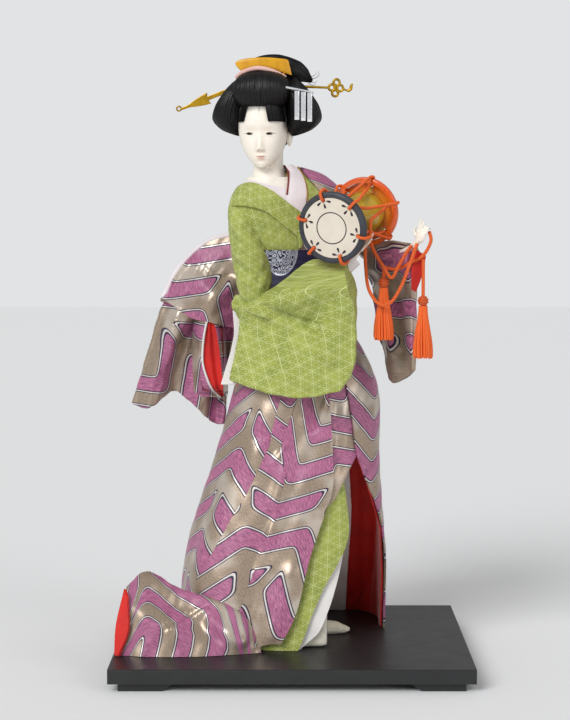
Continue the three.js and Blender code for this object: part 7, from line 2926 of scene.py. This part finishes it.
    def lace(self) -> Array:
        """The lacing's line through every hole of both heads.

        Returns:
            The points of the line, in order.
        """
        over, outer = self.lace_radius + 0.55, self.radius + self.lace_radius - 0.1
        t, long, mid = self.thick, self.length, self.length / 2
        rear_turn = 180 / self.lace_count
        points = []
        for i in range(self.lace_count):
            a = self.hole(i)
            b = a + rear_turn
            points += [
                self.polar(outer + 0.8, a, t + 2), self.polar(outer, a, 1.5),
                self.polar(outer - 1.2, a, -over), self.polar(self.hole_circle, a, -over),
                self.polar(self.hole_circle, a, t + 1), self.polar(self.lace_waist, a + rear_turn / 2, mid),
                self.polar(outer + 0.8, b, long - t - 2), self.polar(outer, b, long - 1.5),
                self.polar(outer - 1.2, b, long + over), self.polar(self.hole_circle, b, long + over),
                self.polar(self.hole_circle, b, long - t - 1),
                self.polar(self.lace_waist, b + rear_turn / 2, mid),
            ]
        points.append(self.polar(outer + 0.8, self.hole(self.lace_count), t + 2))
        line = np.array(points)
        rounded = []
        for k in range(len(line)):
            if k in (0, len(line) - 1):
                rounded.append(line[k])
                continue
            for neighbour in (line[k - 1], line[k + 1]):
                reach = np.linalg.norm(neighbour - line[k])
                cut = min(1.2, 0.4 * reach)
                rounded.append(line[k] + (neighbour - line[k]) * cut / reach)
        return np.array(rounded) @ self.place[:3, :3].T + self.place[:3, 3]

    def build(self) -> None:
        """Builds the drum."""
        place_piece(self.body(), Body.BASE, ["drum_body"])
        for rear in (False, True):
            for piece, node in self.head(rear):
                place_piece(piece, Body.BASE, [node] if node else [])
        place_piece(self.petals(), Body.BASE)
        lacing = RopeMaker(CORD).lay(self.lace(), self.lace_radius, "drum_lacing_cord", 4.0, 0.7)
        place_piece(lacing, Body.BASE, ["drum_lacing"])


@dataclass
class Hands:
    """The two hands in shell paste."""

    def build(self) -> None:
        """Builds the hands."""
        for side in ("left", "right"):
            remade(f"hand_{side}", f"hand_{side}_shell_paste", PASTE, 0.3, 5)


@dataclass
class Cords:
    """The free cords between drum and hand, and the two tassels."""

    radius: float = 1.5
    lower: tuple = ((60.8, -56.2, 346.3), (61, -64, 325), (64, -70, 305), (73, -75, 294), (81, -76, 296),
                    (89, -76, 308), (96, -75, 325), (101, -69, 338), (103.5, -61.6, 343.4))
    upper: tuple = ((64.8, -54, 346.8), (69, -60, 336), (75, -67, 326), (82, -70, 316), (88, -70, 326),
                    (95, -65, 337), (98.9, -59.8, 342))
    wrist: tuple = ((74, -63.6, 325), (86, -65, 323), (99, -65, 329), (108, -66, 334), (115, -62, 346),
                    (114.3, -55.8, 353.5))
    knot_radius: float = 4.6
    fringe_length: float = 44.0
    fringe_width: float = 16.0

    def free(self, rope: RopeMaker, route: tuple, name: str, node: str) -> None:
        """Lays one free cord in place of its node.

        Args:
            rope: What lays it.
            route: The points that it goes through.
            name: Its name.
            node: The node that it stands for.
        """
        line = spaced(route, 120)
        cord = place_piece(rope.lay(line, self.radius, name, 4.6, 0.6), Body.BASE, [node])

    def tassel(self, pivot: Array, neck: float, body: Body, node: str) -> None:
        """Builds one tassel: its cord, knot, binding and fringe.

        Args:
            pivot: The point that it hangs from.
            neck: The length of its stem, in millimetres.
            body: The body that it swings with.
            node: The node that it stands for.
        """
        knot = pivot[2] - neck - self.knot_radius
        top = knot - self.knot_radius + 0.6
        rope = RopeMaker(CORD)
        line = np.linspace(pivot, (pivot[0], pivot[1], knot + self.knot_radius - 0.6), 30)
        stem = rope.lay(line, self.radius, f"{node}_stem", 4.6, 0.5)
        place_piece(stem, body, [node])
        ball = Sewing()
        turns = np.linspace(0, 2 * np.pi * 5, 260)
        share = np.linspace(0, np.pi, 260)
        spiral = np.stack([
            pivot[0] + (self.knot_radius - 1.2) * np.sin(share) * np.cos(turns),
            pivot[1] + (self.knot_radius - 1.2) * np.sin(share) * np.sin(turns),
            knot + (self.knot_radius - 1.2) * np.cos(share),
        ], axis=-1)
        ball.tube(spiral, 1.3, 10)
        fill = [(0.01, knot - 3.4), (2.6, knot - 2.4), (3.4, knot), (2.6, knot + 2.4), (0.01, knot + 3.4)]
        ball.lathe(fill, 24, (pivot[0], pivot[1], 0))
        place_piece(ball.made(f"{node}_knot", CORD), body)
        place_piece(self.fringe(pivot, top, f"{node}_fringe"), body)

    def fringe(self, pivot: Array, top: float, name: str) -> Object:
        """A fringe of hanging threads, by Geometry Nodes.

        Args:
            pivot: The point that it hangs from.
            top: The height of its top.
            name: The piece's name.

        Returns:
            The piece.
        """
        tree = NodeTree("fringe_" + name, {
            "Threads": ("NodeSocketInt", 150), "Top Radius": ("NodeSocketFloat", 0.003),
            "End Radius": ("NodeSocketFloat", 0.008), "Length": ("NodeSocketFloat", 0.044),
            "Thread Radius": ("NodeSocketFloat", 0.0005), "Seed": ("NodeSocketInt", 7),
        })
        count, top_r, end_r, long, thin, seed = (tree.source.outputs[k] for k in range(1, 7))
        points = tree.add("GeometryNodeMeshLine", {"Count": count})
        index = tree.add("GeometryNodeInputIndex")

        def chance(low: float, high: float, offset: int) -> Socket:
            """A fixed random number for each thread.

            Args:
                low: The lowest number.
                high: The highest number.
                offset: What sets it apart from the others.

            Returns:
                The number's output.
            """
            shifted = tree.math("ADD", seed, float(offset))
            return tree.add("FunctionNodeRandomValue", {"ID": index, "Seed": shifted, 2: low, 3: high}, 1,
                            data_type="FLOAT")

        def read(label: str) -> Socket:
            """A thread's own number."""
            return tree.add("GeometryNodeInputNamedAttribute", {"Name": label}, data_type="FLOAT")

        turn = tree.math("MULTIPLY", index, GOLDEN_ANGLE)
        depth = tree.math("POWER", chance(0.25, 1.0, 1), 0.5)
        line = tree.add("GeometryNodeCurvePrimitiveLine", {"Start": (0, 0, 0), "End": (0, 0, -1)})
        fine = tree.add("GeometryNodeResampleCurve", {"Curve": line, "Count": 9})
        threads = tree.add("GeometryNodeInstanceOnPoints", {"Points": points, "Instance": fine})
        for label, value in (("turn", turn), ("depth", depth), ("reach", chance(0.93, 1.0, 3))):
            threads = tree.add("GeometryNodeStoreNamedAttribute", {0: threads, "Name": label, "Value": value},
                               data_type="FLOAT", domain="INSTANCE")
        real = tree.add("GeometryNodeRealizeInstances", {0: threads})
        along = tree.add("GeometryNodeSplineParameter", out="Factor")
        flare = tree.add("ShaderNodeMapRange",
                         {"Value": along, "From Min": 0.0, "From Max": 0.9, "To Min": top_r, "To Max": end_r},
                         interpolation_type="SMOOTHSTEP")
        away = tree.math("MULTIPLY", flare, read("depth"))
        sway = tree.math("SINE", tree.math("MULTIPLY_ADD", along, 2.6, read("turn")))
        bent = tree.math("MULTIPLY_ADD", sway, 0.09, read("turn"))
        low = tree.math("MULTIPLY", tree.math("MULTIPLY", along, long), read("reach"))
        spot = tree.add("ShaderNodeCombineXYZ", {
            0: tree.math("MULTIPLY", tree.math("COSINE", bent), away),
            1: tree.math("MULTIPLY", tree.math("SINE", bent), away),
            2: tree.math("MULTIPLY", low, -1.0),
        })
        hung = tree.add("GeometryNodeSetPosition", {"Geometry": real, "Position": spot})
        circle = tree.add("GeometryNodeCurvePrimitiveCircle", {"Resolution": 5, "Radius": thin})
        swept = tree.add("GeometryNodeCurveToMesh",
                         {"Curve": hung, "Profile Curve": circle, "Fill Caps": True})
        # Threads nearer the fringe's middle store a lower ply and take the deep colour: painted shade inside
        # the fringe.
        ply = tree.add("GeometryNodeStoreNamedAttribute", {0: swept, "Name": "ply", "Value": read("depth")},
                       data_type="FLOAT")
        tree.end(ply, CORD)
        mesh = tree.run(bpy.data.meshes.new(name), name, {
            "Threads": 150, "Top Radius": 3.2 * MM, "End Radius": self.fringe_width / 2 * MM,
            "Length": self.fringe_length * MM, "Thread Radius": 0.55 * MM, "Seed": 7,
        })
        move_to(mesh, positions(mesh) + (pivot[0], pivot[1], top + BOARD_TOP))
        return shown(name, mesh, CORD, ROUND_EDGE)

    def build(self) -> None:
        """Builds the cords and tassels."""
        rope = RopeMaker(CORD)
        self.free(rope, self.lower, "cord_lower_silk", "cord_lower")
        self.free(rope, self.upper, "cord_upper_silk", "cord_upper")
        self.free(rope, self.wrist, "cord_wrist_silk", "cord_wrist")
        drop = self.radius + 1.1
        self.tassel(np.array(self.wrist[3]) + (0.5, 0, -drop), 30, Body.FRONT_TASSEL, "tassel_front")
        self.tassel(np.array(self.wrist[0]) + (2, -0.4, -drop), 6, Body.REAR_TASSEL, "tassel_rear")


# Studio: floor, light and camera


@dataclass
class Studio:
    """The pale floor, the soft light and the camera at the photograph's place."""

    eye: tuple[float, float, float] = (0.0, -1.52, 0.385)
    pitch: float = 4.65
    lens: float = 87.9
    shift: float = -7 / 720
    floor_colour: str = "#F4F5F6"
    backdrop: str = "#E2E3E5"

    def camera(self) -> None:
        """Places the camera."""
        data = bpy.data.cameras.new("camera")
        data.lens, data.sensor_width, data.shift_x = self.lens, 36.0, self.shift
        camera = bpy.data.objects.new("camera", data)
        camera.location = self.eye
        camera.rotation_euler = (math.radians(90 - self.pitch), 0, 0)
        bpy.context.scene.collection.objects.link(camera)
        bpy.context.scene.camera = camera

    def lamp(self, name: str, toward: Sequence[float], strength: float, soft: float = 0.5) -> None:
        """Hangs one far soft lamp.

        Args:
            name: Its name.
            toward: The direction in which it lies, seen from the doll.
            strength: Its strength, in watts for each square metre.
            soft: The angle that it fills, in radians.
        """
        data = bpy.data.lights.new(name, "SUN")
        data.energy, data.angle = strength, soft
        lamp = bpy.data.objects.new(name, data)
        lamp.location = [3 * k for k in toward]
        lamp.rotation_euler = Vector(toward).to_track_quat("Z", "Y").to_euler()
        bpy.context.scene.collection.objects.link(lamp)

    def world(self) -> None:
        """A pale backdrop to the eye, a soft grey light otherwise."""
        world = bpy.data.worlds.new("studio")
        bpy.context.scene.world = world
        world.use_nodes = True
        tree = world.node_tree
        tree.nodes.clear()
        out = tree.nodes.new("ShaderNodeOutputWorld")
        mixer = tree.nodes.new("ShaderNodeMixShader")
        soft, seen = tree.nodes.new("ShaderNodeBackground"), tree.nodes.new("ShaderNodeBackground")
        soft.inputs[0].default_value, soft.inputs[1].default_value = (1, 1, 1, 1), 0.42
        seen.inputs[0].default_value, seen.inputs[1].default_value = (*linear(self.backdrop), 1), 1.0
        path = tree.nodes.new("ShaderNodeLightPath")
        tree.links.new(path.outputs["Is Camera Ray"], mixer.inputs[0])
        tree.links.new(soft.outputs[0], mixer.inputs[1])
        tree.links.new(seen.outputs[0], mixer.inputs[2])
        tree.links.new(mixer.outputs[0], out.inputs[0])

    def floor(self) -> None:
        """The plain floor that the board stands on."""
        mesh = bpy.data.meshes.new("floor")
        far = 6.0
        mesh.from_pydata([(-far, -far, 0), (far, -far, 0), (far, far, 0), (-far, far, 0)], [], [(0, 1, 2, 3)])
        floor = shown("floor", mesh,
                      Plain("floor_paper", self.floor_colour, self.floor_colour, 0.8, relief=0.0))

    def build(self) -> None:
        """Sets up the studio."""
        bpy.context.scene.view_settings.view_transform = "Standard"
        self.camera()
        self.world()
        self.floor()
        self.lamp("key", (-0.45, -0.7, 0.55), 2.0)
        self.lamp("fill", (0.7, -0.6, 0.3), 0.5)


def main() -> None:
    """Builds the doll, one sub-assembly after another."""
    logging.basicConfig(level=logging.INFO, format="%(name)s %(message)s")
    Studio().build()
    for part in (Stand(), Skirt(), Feet(), Bodices(), Sleeves(), Train(), Head(), Wig(), Ornaments(), Drum(),
                 Hands(), Cords()):
        log.info("%s", type(part).__name__)
        part.build()


if __name__ == "__main__":
    main()
